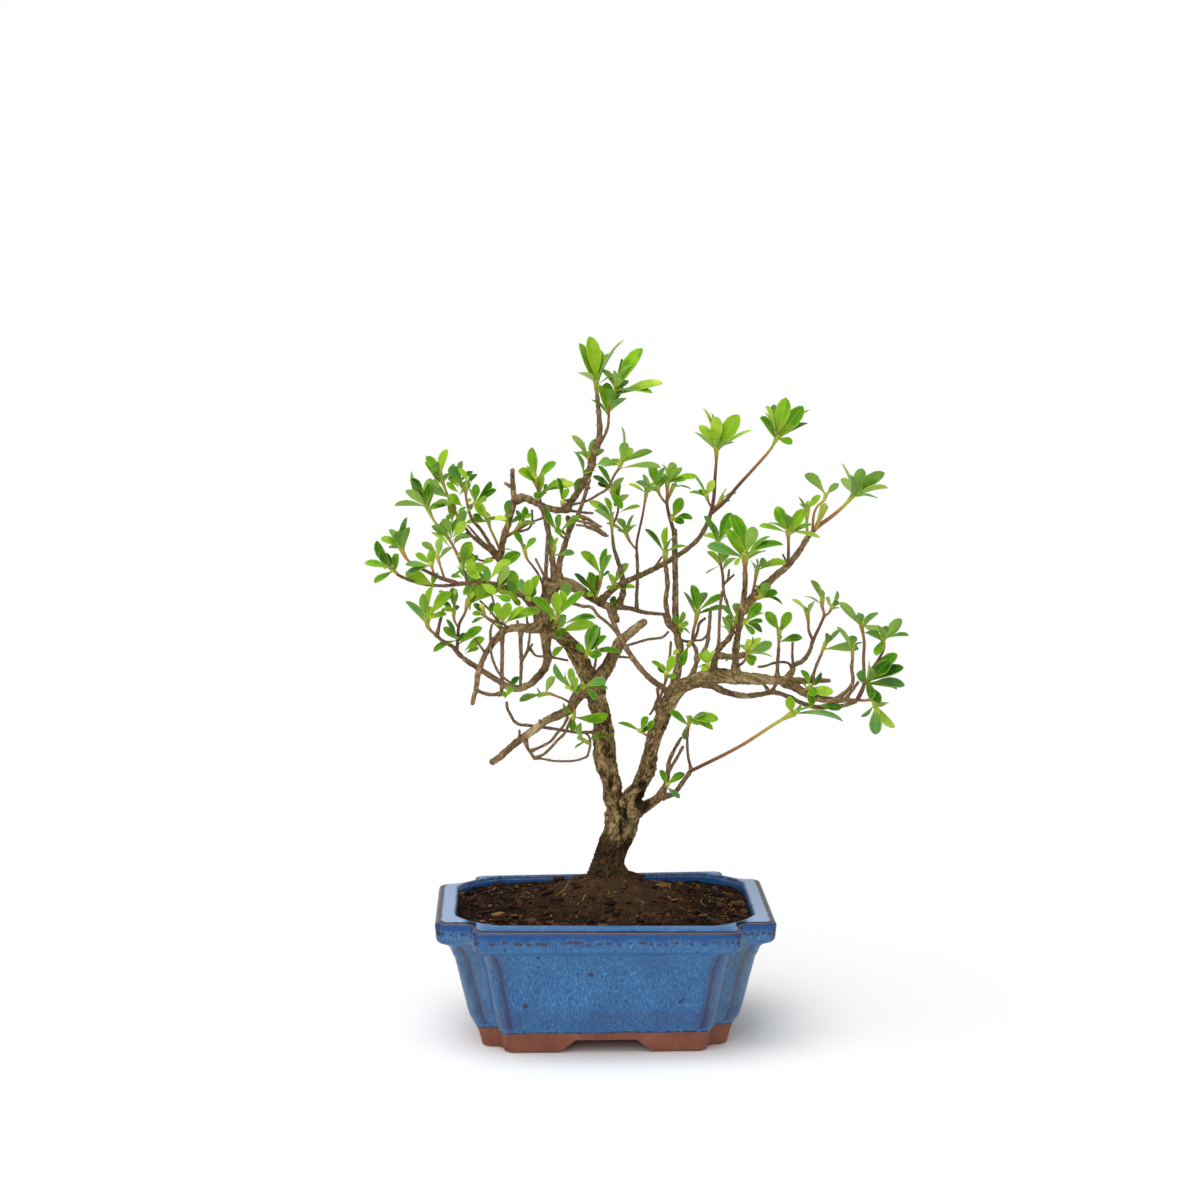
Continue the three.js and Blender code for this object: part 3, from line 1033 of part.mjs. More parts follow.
shoot('shoot_bottom_arc', [
  ['bottom_arc', [16, 10], [1.4, 1.1],
    [[-86.8, 231.5], [-86.3, 241], [-85.5, 248], [-82, 255], [-80, 262.5]]],
  [0, [16], [0.9], [[-86, 246], [-88.5, 251], [-88.5, 257.5]]],
], [
  [[-80.2, 261.5], 18, [[-70, 275.5, 0.9], [-78, 279, 0.8], [-59, 271, 0.7]]],
  [[-88.5, 256.5], 13, [[-89, 270, 0.9], [-96, 262, 0.7]]],
  [[-86.4, 238.5], 12, [[-95, 246, 0.7], [-93, 251, 0.5], [-72, 246, 0.7], [-101, 232, 0.5]]],
]);
shoot('shoot_bottom_arc_tip', [
  ['bottom_arc', [18], [1.2, 1], [[-98, 240.5], [-104, 246.5], [-105, 251.5]]],
], [
  [[-105, 250.5], 15, [[-107, 266.5, 0.8], [-101, 271, 0.5], [-117, 262, 0.7], [-93, 254.5, 0.5]]],
]);

// ---------------------------------------------------------------- assembly

function treeWood(grow) {
  return wasm.Manifold.union([...wood.values()].map((part) => limbSolid(part, grow)));
}

function boxesMeet(a, b) {
  return [0, 1, 2].every((k) => a.min[k] < b.max[k] && b.min[k] < a.max[k]);
}

const group = new THREE.Group();
const trunk = settled(treeWood(0));
const trunkRoom = treeWood(GAP);

group.add(toMesh('pot', pot(), GLAZE));
group.add(toMesh('drain_screen_left', drainScreen(-DRAIN_SPACING / 2), PLASTIC));
group.add(toMesh('drain_screen_right', drainScreen(DRAIN_SPACING / 2), PLASTIC));
group.add(toMesh('soil', soil(trunkRoom), PEAT));
group.add(toMesh('trunk', trunk, BARK));

// Each shoot is cut clear of the wood and of the shoots before it, and keeps its main body.
const rooms = [];
const greens = [LEAF_GREEN, LEAF_LIGHT, LEAF_DARK];
shoots.forEach((spec, i) => {
  let body = shootSolid(spec, 0).subtract(trunkRoom);
  const bounds = body.boundingBox();
  for (const room of rooms) {
    if (boxesMeet(bounds, room.bounds)) body = body.subtract(room.solid);
  }
  const room = shootSolid(spec, GAP);
  rooms.push({ solid: room, bounds: room.boundingBox() });
  group.add(toMesh(spec.name, settled(body), greens[i % greens.length]));
});

// The origin is under the middle of the whole, on the surface that it stands on.
const bounds = new THREE.Box3().setFromObject(group);
group.position.set(
  -(bounds.min.x + bounds.max.x) / 2,
  -(bounds.min.y + bounds.max.y) / 2,
  -bounds.min.z,
);

export default group;
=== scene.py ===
# %% [markdown]
# # A satsuki azalea bonsai in its glazed pot
#
# The real thing is a small tree with a forked, flaking trunk, long arching branches and whorls of
# small leaves, planted in dark peat in a blue stoneware pot. The construction is already there as a
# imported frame, so this lesson only makes what the eye sees. Shapes are laid out in millimetres round
# the pot's middle, and each finished mesh then moves into the frame in metres.

# %% The frame
import math
import random
from functools import partial
from types import SimpleNamespace

import bpy
import numpy as np
from mathutils import Matrix, Vector, kdtree, noise


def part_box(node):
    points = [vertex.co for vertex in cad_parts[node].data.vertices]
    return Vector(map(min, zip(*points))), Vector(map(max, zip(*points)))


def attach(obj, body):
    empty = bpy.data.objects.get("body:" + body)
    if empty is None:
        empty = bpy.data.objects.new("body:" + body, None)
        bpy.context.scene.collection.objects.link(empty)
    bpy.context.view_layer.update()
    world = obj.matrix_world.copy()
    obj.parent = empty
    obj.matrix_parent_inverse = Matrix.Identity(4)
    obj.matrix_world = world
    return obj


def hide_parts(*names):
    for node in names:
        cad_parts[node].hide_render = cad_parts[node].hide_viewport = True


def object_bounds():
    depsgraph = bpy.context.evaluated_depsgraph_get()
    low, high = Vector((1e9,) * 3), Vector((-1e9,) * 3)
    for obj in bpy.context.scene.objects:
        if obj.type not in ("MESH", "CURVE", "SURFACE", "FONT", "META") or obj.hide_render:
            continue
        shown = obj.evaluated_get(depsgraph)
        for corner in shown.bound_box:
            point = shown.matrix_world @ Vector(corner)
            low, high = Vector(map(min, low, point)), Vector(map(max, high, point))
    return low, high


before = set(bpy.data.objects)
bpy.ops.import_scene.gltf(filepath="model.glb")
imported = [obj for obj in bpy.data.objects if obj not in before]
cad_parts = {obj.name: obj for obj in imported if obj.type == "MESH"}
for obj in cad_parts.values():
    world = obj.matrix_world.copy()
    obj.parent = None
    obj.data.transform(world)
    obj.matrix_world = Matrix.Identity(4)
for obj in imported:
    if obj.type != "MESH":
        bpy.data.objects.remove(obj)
cad_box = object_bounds()
print("the packed part fills", *cad_box)

# %% [markdown]
# ## Helpers that every piece uses
#
# A piece here is many closed shapes in one mesh: a whorl's leaves, or a thousand crumbs of soil. They
# could be joined as objects, but collecting their points first is much faster. Numbers per point,
# such as how old a twig is, travel with the mesh as attributes, and the materials read them.

# %% Making a mesh piece
MM = 0.001
pot_low, pot_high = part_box("pot")
ORIGIN = Vector(((pot_low.x + pot_high.x) / 2, (pot_low.y + pot_high.y) / 2, pot_low.z))


def activate(obj):
    bpy.ops.object.select_all(action="DESELECT")
    obj.select_set(True)
    bpy.context.view_layer.objects.active = obj
    return obj


def apply_modifier(obj, kind, **settings):
    activate(obj)
    modifier = obj.modifiers.new(kind.lower(), kind)
    for key, value in settings.items():
        setattr(modifier, key, value)
    bpy.ops.object.modifier_apply(modifier=modifier.name)


def write_attribute(mesh, key, values):
    layer = mesh.attributes.new(key, "FLOAT", "POINT")
    layer.data.foreach_set("value", np.asarray(values, np.float32))


class Parts:
    """Collects closed shapes that end up in one mesh."""

    def __init__(self):
        self.points, self.faces, self.face_materials, self.runs = [], [], [], []
        self.count = 0

    def add(self, points, faces, material=0, **attributes):
        self.points.append(points)
        self.faces += [tuple(i + self.count for i in face) for face in faces]
        self.face_materials.append(np.broadcast_to(material, len(faces)))
        self.runs.append((len(points), attributes))
        self.count += len(points)

    def build(self, name, *materials):
        mesh = bpy.data.meshes.new(name)
        mesh.from_pydata(np.vstack(self.points).tolist(), [], self.faces)
        for key in dict.fromkeys(key for _, given in self.runs for key in given):
            values = [np.broadcast_to(given.get(key, 0.0), count) for count, given in self.runs]
            write_attribute(mesh, key, np.concatenate(values))
        for material in materials:
            mesh.materials.append(material)
        mesh.polygons.foreach_set("material_index", np.concatenate(self.face_materials).astype(np.int32))
        obj = bpy.data.objects.new(name, mesh)
        bpy.context.scene.collection.objects.link(obj)
        return obj


def finish_piece(obj, node, smooth):
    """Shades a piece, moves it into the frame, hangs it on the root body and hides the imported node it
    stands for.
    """
    activate(obj)
    bpy.ops.object.shade_smooth_by_angle(angle=math.radians(smooth))
    obj.data.transform(Matrix.Translation(ORIGIN) @ Matrix.Scale(MM, 4))
    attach(obj, "root")
    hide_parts(node)
    print(f"{obj.name}: {len(obj.data.vertices)} points, {len(obj.data.polygons)} faces")


print("the pot stands at", tuple(round(c, 4) for c in ORIGIN), "and measures", pot_high - pot_low)

# %% [markdown]
# ## Helpers for materials
#
# Colours are given as the eye sees them, in sRGB hex, and one function turns them to linear light.
# One more adds a node with its settings and links. A real surface is built up in layers, so `paint`
# lays a colour over the last one wherever all of its masks are high, as a brush and stencils would.
# `grain` is a noise whose grains have a real size in millimetres.

# %% Colours and nodes
def linear(hex_colour):
    channels = [int(hex_colour[i : i + 2], 16) / 255 for i in (1, 3, 5)]
    return [c / 12.92 if c <= 0.04045 else ((c + 0.055) / 1.055) ** 2.4 for c in channels] + [1]


def add_node(tree, kind, inputs=(), out=0, stops=(), ease=True, **settings):
    """Adds a node and gives its output. Inputs are numbers, hex colours, attribute names or outputs."""
    node = tree.nodes.new("ShaderNode" + kind)
    for key, value in settings.items():
        setattr(node, key, value)
    for socket, value in inputs.items() if isinstance(inputs, dict) else enumerate(inputs):
        if isinstance(value, str) and value.startswith("#"):
            value = linear(value)
        elif isinstance(value, str):
            value = add_node(tree, "Attribute", out="Fac", attribute_name=value)
        if isinstance(value, bpy.types.NodeSocket):
            tree.links.new(value, node.inputs[socket])
        else:
            node.inputs[socket].default_value = value
    for index, (place, colour) in enumerate(stops):
        node.color_ramp.interpolation = "EASE" if ease else "LINEAR"
        element = node.color_ramp.elements[index] if index < 2 else node.color_ramp.elements.new(place)
        element.position, element.color = place, linear(colour)
    return node.outputs[out]


print("mid grey is", round(linear("#808080")[0], 3), "in linear light")

# %% Layers of a material
def grain(add, size, stretch=(1, 1, 1), detail=3, seed=0.0, rough=0.55):
    """Noise with grains of this size in millimetres, longer where stretch is small."""
    place = add("Mapping", [add("TexCoord", out="Object"), (seed, seed, seed), (0, 0, 0), stretch])
    return add("TexNoise", {0: place, "Scale": 1 / (size * MM), "Detail": detail, "Roughness": rough})


def paint(add, body, colour, most, *masks):
    """Lays colour over body. A mask is a value and the two ends where it is bare and where covered."""
    cover = most
    for value, bare, covered in masks:
        share = add("MapRange", [value, bare, covered, 0, 1])
        cover = add("Math", [cover, share], operation="MULTIPLY")
    return add("Mix", {0: cover, 6: body, 7: colour}, out=2, data_type="RGBA")


def start_material(name, **shader):
    """A material with its Principled shader's own sockets set, and the way to add nodes to it."""
    material = bpy.data.materials.new(name)
    material.use_nodes = True
    for socket, value in shader.items():
        material.node_tree.nodes["Principled BSDF"].inputs[socket.replace("_", " ")].default_value = value
    return material, partial(add_node, material.node_tree)


def finish_material(material, body, relief=None, strength=0, depth=0):
    tree = material.node_tree
    sockets = tree.nodes["Principled BSDF"].inputs
    tree.links.new(body, sockets["Base Color"])
    if relief:
        bump = add_node(tree, "Bump", {"Height": relief, "Strength": strength, "Distance": depth})
        tree.links.new(bump, sockets["Normal"])
    print(f"{material.name}: {len(tree.nodes)} nodes")
    return material


print("grains of 1 mm are a noise of scale", round(1 / MM))

# %% [markdown]
# ## Camera, floor and light
#
# A long lens from a metre and a half away keeps the pot's sides nearly parallel, as in a catalogue.
# The light is a soft white room with one large lamp overhead and a weaker one in front. The camera
# sees the room as pure white, but its light on the tree is weaker, so that the lamps can model the
# leaves. The paper floor turns into plain white light away from the pot, which hides the horizon.

# %% Camera
CAMERA_AT = Vector((-55.8, -1487.4, 448.9))
CAMERA_AIM = Vector((-1.8, 0, 262.2))
FOCAL_LENGTH, SENSOR = 75.72, 36


def place_facing(name, data, at, aim):
    obj = bpy.data.objects.new(name, data)
    bpy.context.scene.collection.objects.link(obj)
    obj.location = ORIGIN + at
    obj.rotation_euler = (aim - at).to_track_quat("-Z", "Y").to_euler()
    return obj


camera_data = bpy.data.cameras.new("camera")
camera_data.lens, camera_data.sensor_width = FOCAL_LENGTH, SENSOR
camera_data.clip_end = 50
camera = place_facing("camera", camera_data, CAMERA_AT * MM, CAMERA_AIM * MM)
bpy.context.scene.camera = camera
print("camera at", camera.location)

# %% Floor
FLOOR_RADIUS, FLOOR_HEIGHT = 9, -0.0002
GLOW_STARTS, GLOW_IS_FULL = 0.07, 0.3

bpy.ops.object.select_all(action="DESELECT")
bpy.ops.mesh.primitive_circle_add(
    vertices=96, radius=FLOOR_RADIUS, fill_type="NGON", location=(0, 0, FLOOR_HEIGHT))
floor = bpy.context.object
floor.name = "floor"
# Matt paper has no gloss, so the pot's shadow is all that the eye finds on it.
paper, add = start_material("matt white paper floor", Roughness=0.9, Specular_IOR_Level=0.1)
finish_material(paper, add("ValToRGB", [grain(add, 25)], stops=((0, "#f8f8f8"), (1, "#fbfbfb"))))
from_pot = add("VectorMath", [add("TexCoord", out="Object")], out="Value", operation="LENGTH")
fade = add("MapRange", [from_pot, GLOW_STARTS, GLOW_IS_FULL, 0, 1])
lit = paper.node_tree.nodes["Principled BSDF"].outputs[0]
ground = add("MixShader", [fade, lit, add("Emission", {"Strength": 1.0})])
paper.node_tree.links.new(ground, paper.node_tree.nodes["Material Output"].inputs["Surface"])
floor.data.materials.append(paper)

# %% Lamps and room
LAMPS = (
    # name, place, aim, diameter, watts
    ("overhead lamp", (-0.35, -0.45, 1.7), (0, 0, 0.2), 1.5, 21),
    ("front lamp", (-0.5, -1.7, 0.9), (0, 0, 0.25), 0.8, 5),
)
ROOM_LIGHT = 0.6

for name, at, aim, diameter, watts in LAMPS:
    lamp = bpy.data.lights.new(name, "AREA")
    lamp.shape, lamp.size, lamp.energy = "DISK", diameter, watts
    print(place_facing(name, lamp, Vector(at), Vector(aim)).name, "gives", watts, "W")

world = bpy.data.worlds.new("white room")
world.use_nodes = True
background = world.node_tree.nodes["Background"]
background.inputs["Color"].default_value = (1, 1, 1, 1)
seen_by_camera = add_node(world.node_tree, "LightPath", out="Is Camera Ray")
room_strength = add_node(world.node_tree, "MapRange", [seen_by_camera, 0, 1, ROOM_LIGHT, 1.0])
world.node_tree.links.new(room_strength, background.inputs["Strength"])
bpy.context.scene.world = world
bpy.context.scene.view_settings.view_transform = "Standard"

# %% [markdown]
# ## The pot
#
# The pot was pressed in a mould and glazed: a rectangle with a square step in each corner, a thick
# lip over a hollow cove, and slanting walls down to a bare clay foot. A cube with bevels would not
# give the cove and the stepped corners together, so the wall is a stack of outlines, one for each
# height, that share their number of points. Each outline is drawn for one quarter and mirrored.

# %% Outlines
POT_HALF = (100, 75)
POT_HEIGHT = 80
RIM_NOTCH, FOOT_NOTCH = 22, 13
FOOT_INSET = 27
RIM_WIDTH = 12.5
OPENING_CHAMFER = 27
CHAMFER_BULGE = 0.45  # how far its curve is pulled to the square corner
INNER_FLOOR = 17
CORNER_GAP = 1.5  # from a corner's last point to the long side's first
SIDE_POINTS, END_POINTS, CORNER_POINTS, NOTCH_POINTS = 26, 18, 8, 4
# inset from the rim's outline, radius of the outward corners, radius of the hollow ones
CORNER_RADII = ((0, 5, 7), (3, 5.2, 7), (9, 8, 6), (20, 8.5, 6), (27, 6.5, 6))


def arc(x, y, radius, start, end):
    angles = np.radians(np.linspace(start, end, CORNER_POINTS))
    return [(x + radius * math.cos(a), y + radius * math.sin(a)) for a in angles]


def line(start, end, count):
    """count points from start, the end left out."""
    steps = np.arange(count) / count
    return [tuple(np.array(start) * (1 - s) + np.array(end) * s) for s in steps]


def all_round(quarter):
    """The quarter from +X to +Y, mirrored to a full ring."""
    ring = quarter[:-1] + [(-x, y) for x, y in quarter[:0:-1]]
    return np.array(ring + [(-x, -y) for x, y in ring])


def notched_ring(inset):
    length, depth = POT_HALF[0] - inset, POT_HALF[1] - inset
    notch = np.interp(inset, (0, FOOT_INSET), (RIM_NOTCH, FOOT_NOTCH))
    insets, outers, inners = zip(*CORNER_RADII)
    outer, inner = np.interp(inset, insets, outers), np.interp(inset, insets, inners)
    x, y = length - notch, depth - notch
    shelf = (notch - outer - inner) / (NOTCH_POINTS + 1)
    quarter = line((length, 0), (length, y - outer), END_POINTS)
    quarter += arc(length - outer, y - outer, outer, 0, 90)
    quarter += line((length - outer - shelf, y), (x + inner, y), NOTCH_POINTS)
    quarter += arc(x + inner, y + inner, inner, 270, 180)
    quarter += line((x, y + inner + shelf), (x, depth - outer), NOTCH_POINTS)
    quarter += arc(x - outer, depth - outer, outer, 0, 90)
    quarter += line((x - outer - CORNER_GAP, depth), (0, depth), SIDE_POINTS)
    return all_round(quarter + [(0, depth)])


def opening_ring(inset):
    length, depth = POT_HALF[0] - inset, POT_HALF[1] - inset
    start, end = np.array((length, depth - OPENING_CHAMFER)), np.array((length - OPENING_CHAMFER, depth))
    pull = (start + end) / 2 * (1 - CHAMFER_BULGE) + np.array((length, depth)) * CHAMFER_BULGE
    count = 3 * CORNER_POINTS + 2 * NOTCH_POINTS
    curve = [start * (1 - s) ** 2 + pull * 2 * s * (1 - s) + end * s * s
             for s in (np.arange(count) + 0.5) / count]
    quarter = line((length, 0), start, END_POINTS) + [tuple(point) for point in curve]
    return all_round(quarter + line(end, (0, depth), SIDE_POINTS) + [(0, depth)])


print("points in an outline:", len(notched_ring(0)), len(opening_ring(RIM_WIDTH)))

# %% [markdown]
# Glaze runs thin over every sharp edge and breaks brown there, so the corners need a number that says
# how near an edge a point is. It peaks in the middle of a corner on the lip, and at both ends of the
# rounder corners of the wall.

# %% Nearness to a corner
CORNER_TURN = np.linspace(0, 1, CORNER_POINTS)
LIP_CORNER = np.sin(CORNER_TURN * math.pi) ** 0.7
WALL_CORNER = np.clip(1 - np.minimum(CORNER_TURN, 1 - CORNER_TURN) / 0.35, 0.15, 1)
CORNER_FADE = ((1, 0.5), (2, 0.15))  # steps beside a corner point, and what is left there


def corner_mask(corner):
    """The values of corner at each outward corner of the notched ring, fading out on both sides."""
    flat = np.zeros(CORNER_POINTS + 2 * NOTCH_POINTS)
    quarter = np.concatenate((np.zeros(END_POINTS), corner, flat, corner, np.zeros(SIDE_POINTS + 1)))
    ring = np.tile(np.concatenate((quarter[:-1], quarter[:0:-1])), 2)
    for step, share in CORNER_FADE:
        for way in (-step, step):
            ring = np.maximum(ring, np.roll(np.sin(ring * math.pi / 2), way) * share)
    return ring


print("sharpest corner point:", corner_mask(LIP_CORNER).max())

# %% [markdown]
# The outer profile lists height and inset from the rim's outline. Glaze is a thick skin, so just
# above the bare foot the wall steps out by half a millimetre, and that edge wanders up and down as
# the dipped line did. The whole rim is a little twisted, as clay warps in the kiln.

# %% Wall, rim and inside
OUTER_PROFILE = (
    (0, 28), (0.5, 27.2), (1.5, 26.8), (4, 26.2), (8, 25.2), (11.2, 24.2), (12.2, 23.9), (12.6, 23.3),
    (13.4, 22.9), (14.6, 22.3), (16, 21.4), (18, 20.2), (20, 19.4), (23, 18.6), (26, 17.9), (30, 17),
    (34, 16.1), (38, 15.2), (42, 14.3), (46, 13.4), (50, 12.5), (53, 11.8), (55.5, 11.2), (57, 10.4),
    (58, 9.9), (60, 9.3), (62, 8.4), (63.6, 7.2), (64.8, 5.6), (65.6, 4), (66.3, 2.6), (67.2, 1.5),
    (68.6, 0.8), (70, 0.5), (72, 0.4), (74, 0.25), (75.5, 0.1), (76.6, 0), (77.2, 0.1), (77.7, 0.3),
    (78.15, 0.65), (78.5, 1.1), (78.75, 1.7), (78.95, 2.5), (79.15, 3.8),
)
INNER_PROFILE = (
    (80.5, RIM_WIDTH - 1.8), (80.2, RIM_WIDTH - 0.9), (79.5, RIM_WIDTH - 0.3), (78.2, RIM_WIDTH),
    (74, 13), (70, 13.6), (66, 14.5), (55, 21), (40, 24.5), (22, 29), (18.5, 31), (INNER_FLOOR, 34),
)
LIP_BOTTOM, LIP_TOP = 66, 79
WALL_BOTTOM, WALL_TOP = 15, 64
RIM_STEPS = 6
RIM_LINES = 3  # the outside's last rings, which are part of the rim
GLAZE_LINE, GLAZE_REACH = 12.2, 2.5
TWIST = 1.2
# unevenness of the glaze's edge and of the wall: height, size, seed
GLAZE_WAVES = ((1.3, 26, 3), (0.5, 7, 5))
SWELLS = ((0.16, 17, 9),)
# edges all round, where the glaze thins and breaks brown, and the crease under the lip at 62 mm,
# whose dark line is painted shade: height, half width, flatness of the peak, strength
OUTER_EDGES_AND_SHADED_CREASE = ((78.5, 0.75, 4, 1.15), (62, 0.9, 2, 0.4), (GLAZE_LINE + 0.6, 1.2, 2, 0.75))
INNER_EDGE = (79.7, 0.9, 2, 0.85)
LIP_SHARPNESS, WALL_SHARPNESS = 0.6, 0.3  # of their corners


def waver(x, y, waves):
    return sum(height * noise.noise(Vector((x / size, y / size, seed))) for height, size, seed in waves)


def crest(z, peak, width, power, edge_break_and_shade):
    return edge_break_and_shade * math.exp(-(((z - peak) / width) ** power))


def at_height(ring, z):
    return np.insert(ring, 2, z, axis=1)


def outer_ring(z, inset):
    """A ring of the outside, and how strongly each point is darkened, on sharp edges and with painted shade
    in the crease under the lip.
    """
    ring = notched_ring(inset)
    corner = corner_mask(WALL_CORNER) * WALL_SHARPNESS
    if LIP_BOTTOM < z < LIP_TOP:
        corner = corner_mask(LIP_CORNER) * LIP_SHARPNESS
    edge_break_and_shade = np.maximum(corner, max(crest(z, *edge) for edge in OUTER_EDGES_AND_SHADED_CREASE))
    if abs(z - GLAZE_LINE) < GLAZE_REACH:
        z = [z + waver(x, y, GLAZE_WAVES) for x, y in ring]
    return at_height(ring, z), edge_break_and_shade


print(len(OUTER_PROFILE), "rings outside,", len(INNER_PROFILE), "inside")

# %% Making the pot
def pot_rings():
    """Rings from the foot over the rim to the inside floor, with the darkening of their points on edges and,
    under the lip, painted shade.
    """
    rings = [outer_ring(z, inset) for z, inset in OUTER_PROFILE]
    (outer_z, outer_inset), (inner_z, inner_inset) = OUTER_PROFILE[-1], INNER_PROFILE[0]
    for share in np.arange(1, RIM_STEPS) / RIM_STEPS:
        ring = notched_ring(outer_inset) * (1 - share) + opening_ring(inner_inset) * share
        z = outer_z + (inner_z - outer_z) * math.sin(math.pi / 2 * share)
        rings.append((at_height(ring, z), np.zeros(len(ring))))
    for z, inset in INNER_PROFILE:
        ring = at_height(opening_ring(inset), z)
        rings.append((ring, np.full(len(ring), crest(z, *INNER_EDGE))))
    return zip(*rings)


def lofted(rings):
    """Quads between neighbouring rings, the first and last ring closed by one face each."""
    count, last = len(rings[0]), (len(rings) - 1) * len(rings[0])
    faces = [(low + i, low + (i + 1) % count, low + count + (i + 1) % count, low + count + i)
             for low in range(0, last, count) for i in range(count)]
    faces += [tuple(range(count))[::-1], tuple(range(last, last + count))]
    return np.vstack(rings), faces


def make_pot(glaze, clay):
    rings, breaks_and_shade = pot_rings()
    points, faces = lofted(rings)
    level = points[:, 2].copy()
    for point in points:
        swell = waver(point[0], point[1] + point[2], SWELLS)
        point[:2] *= 1 + swell / max(abs(point[0]), abs(point[1]), 1)
    points[:, 2] += TWIST * (level / POT_HEIGHT) ** 3 * points[:, 0] * points[:, 1] / np.prod(POT_HALF)
    count, outside = len(rings[0]), len(OUTER_PROFILE)
    corners = np.zeros((len(rings), count))
    corners[:outside] = [corner_mask(WALL_CORNER) * (WALL_BOTTOM < z < WALL_TOP) for z, _ in OUTER_PROFILE]
    on_rim = np.zeros((len(rings), count))
    on_rim[outside - RIM_LINES : outside + RIM_STEPS] = 1
    bare_rings = sum(z <= GLAZE_LINE for z, _ in OUTER_PROFILE)
    bare = np.arange(len(faces)) < bare_rings * count
    bare[-2] = True  # the underside
    parts = Parts()
    parts.add(points, faces, bare, edge=np.concatenate(breaks_and_shade), rim=on_rim.ravel(), level=level,
              corner=corners.ravel())
    return parts.build("glazed_pot", glaze, clay)


print("the pot is made of", len(next(pot_rings())), "rings")

# %% [markdown]
# The openings under the foot and the two drain holes are cut with boolean modifiers, as a potter cuts
# them from the leather-hard clay. Each cutter carries the bare clay to the faces that it leaves.

# %% Cutting the foot
FOOT_HEIGHT, FOOT_WALL = 8, 14
BELOW_FOOT, BESIDE_POT = 1, 5  # how far a cutter stands out of the clay
ARCH_BOTTOM, ARCH_TOP = 28, 18
SIDE_ARCH_SHARE = 0.7
DRAIN_RADIUS, DRAIN_SPACING = 10, 70


def arch_cutter(half_bottom, half_top, quarter_turn):
    """A long trapezoid bar, subdivided so that its cut faces stay small."""
    bpy.ops.mesh.primitive_cube_add(size=1, location=(0, 0, 0))
    cutter = activate(bpy.context.object)
    for vertex in cutter.data.vertices:
        top = vertex.co.z > 0
        vertex.co.x = math.copysign(half_top if top else half_bottom + BELOW_FOOT, vertex.co.x)
        vertex.co.y = math.copysign(POT_HALF[0] + BESIDE_POT, vertex.co.y)
        vertex.co.z = FOOT_HEIGHT if top else -BELOW_FOOT
    bpy.ops.object.mode_set(mode="EDIT")
    bpy.ops.mesh.select_all(action="SELECT")
    bpy.ops.mesh.subdivide(number_cuts=3)
    bpy.ops.object.mode_set(mode="OBJECT")
    cutter.data.transform(Matrix.Rotation(math.radians(90 * quarter_turn), 4, "Z"))
    return cutter


def recess_cutter():
    size = [(half - FOOT_INSET - FOOT_WALL) * 2 for half in POT_HALF] + [FOOT_HEIGHT * 2]
    bpy.ops.mesh.primitive_cube_add(size=1, scale=size)
    cutter = activate(bpy.context.object)
    bpy.ops.object.transform_apply(scale=True)
    apply_modifier(cutter, "BEVEL", width=2, segments=4)
    return cutter


def drain_cutter(x):
    bpy.ops.mesh.primitive_cylinder_add(
        vertices=48, radius=DRAIN_RADIUS, depth=INNER_FLOOR * 2, location=(x, 0, INNER_FLOOR))
    cutter = activate(bpy.context.object)
    bpy.ops.object.transform_apply(location=True)
    return cutter


def cut_foot(pot, clay):
    side_bottom = ARCH_BOTTOM * SIDE_ARCH_SHARE
    cutters = [recess_cutter(), arch_cutter(ARCH_BOTTOM, ARCH_TOP, 0)]
    cutters.append(arch_cutter(side_bottom, side_bottom - (ARCH_BOTTOM - ARCH_TOP), 1))
    cutters += [drain_cutter(-DRAIN_SPACING / 2), drain_cutter(DRAIN_SPACING / 2)]
    for cutter in cutters:
        cutter.data.materials.append(clay)
        apply_modifier(pot, "BOOLEAN", object=cutter, operation="DIFFERENCE", material_mode="TRANSFER")
        bpy.data.objects.remove(cutter)
    print(len(cutters), "cuts leave", len(pot.data.polygons), "faces")


print("drain holes", 2 * DRAIN_RADIUS, "mm wide and", DRAIN_SPACING, "mm apart")

# %% [markdown]
# ### Glaze and clay
#
# The glaze is a glossy blue stoneware glaze, fired in reduction. Fine pale crystals and darker
# streaks run down it because it flowed in the kiln. Where it thins over an edge the iron-brown clay
# shows through, and a few pin-holes broke through it. The foot is bare terracotta, wiped clean.

# %% Pin-holes
# Where the glaze broke into a pin-hole on the front: across, up, and radius.
PIN_HOLES = (
    (-59, 69, 0.8), (-39.8, 62.5, 1.0), (-40.2, 56, 0.6), (-16.4, 64.5, 0.8), (-14.7, 53.6, 0.6),
    (-9.1, 51, 1.4), (-3, 49.8, 0.6), (-47.3, 31.2, 1.5), (11, 34.2, 0.6), (42.6, 32.8, 0.9),
    (43.6, 33.8, 0.9), (44.7, 35, 0.8), (52, 66.5, 0.9), (-66, 47, 0.5), (27, 43, 0.5),
)
PIN_HOLE_EDGES = (1.35, 0.7)  # in radii, where the glaze is whole and where it is gone
FRONT_WALL = (-0.045, -0.048)  # there are no pin-holes behind the first Y, in metres


def pin_holes(add, spot):
    """1 inside a pin-hole, 0 outside."""
    holes = 0
    flat = add("VectorMath", [spot, (1, 0, 1)], operation="MULTIPLY")
    for x, z, radius in PIN_HOLES:
        centre = (x * MM + ORIGIN.x, 0, z * MM + ORIGIN.z)
        away = add("VectorMath", [flat, centre], out="Value", operation="DISTANCE")
        hole = add("MapRange", [away, *(radius * MM * edge for edge in PIN_HOLE_EDGES), 0, 1])
        holes = add("Math", [holes, hole], operation="MAXIMUM")
    return holes


print(len(PIN_HOLES), "pin-holes in the front wall")

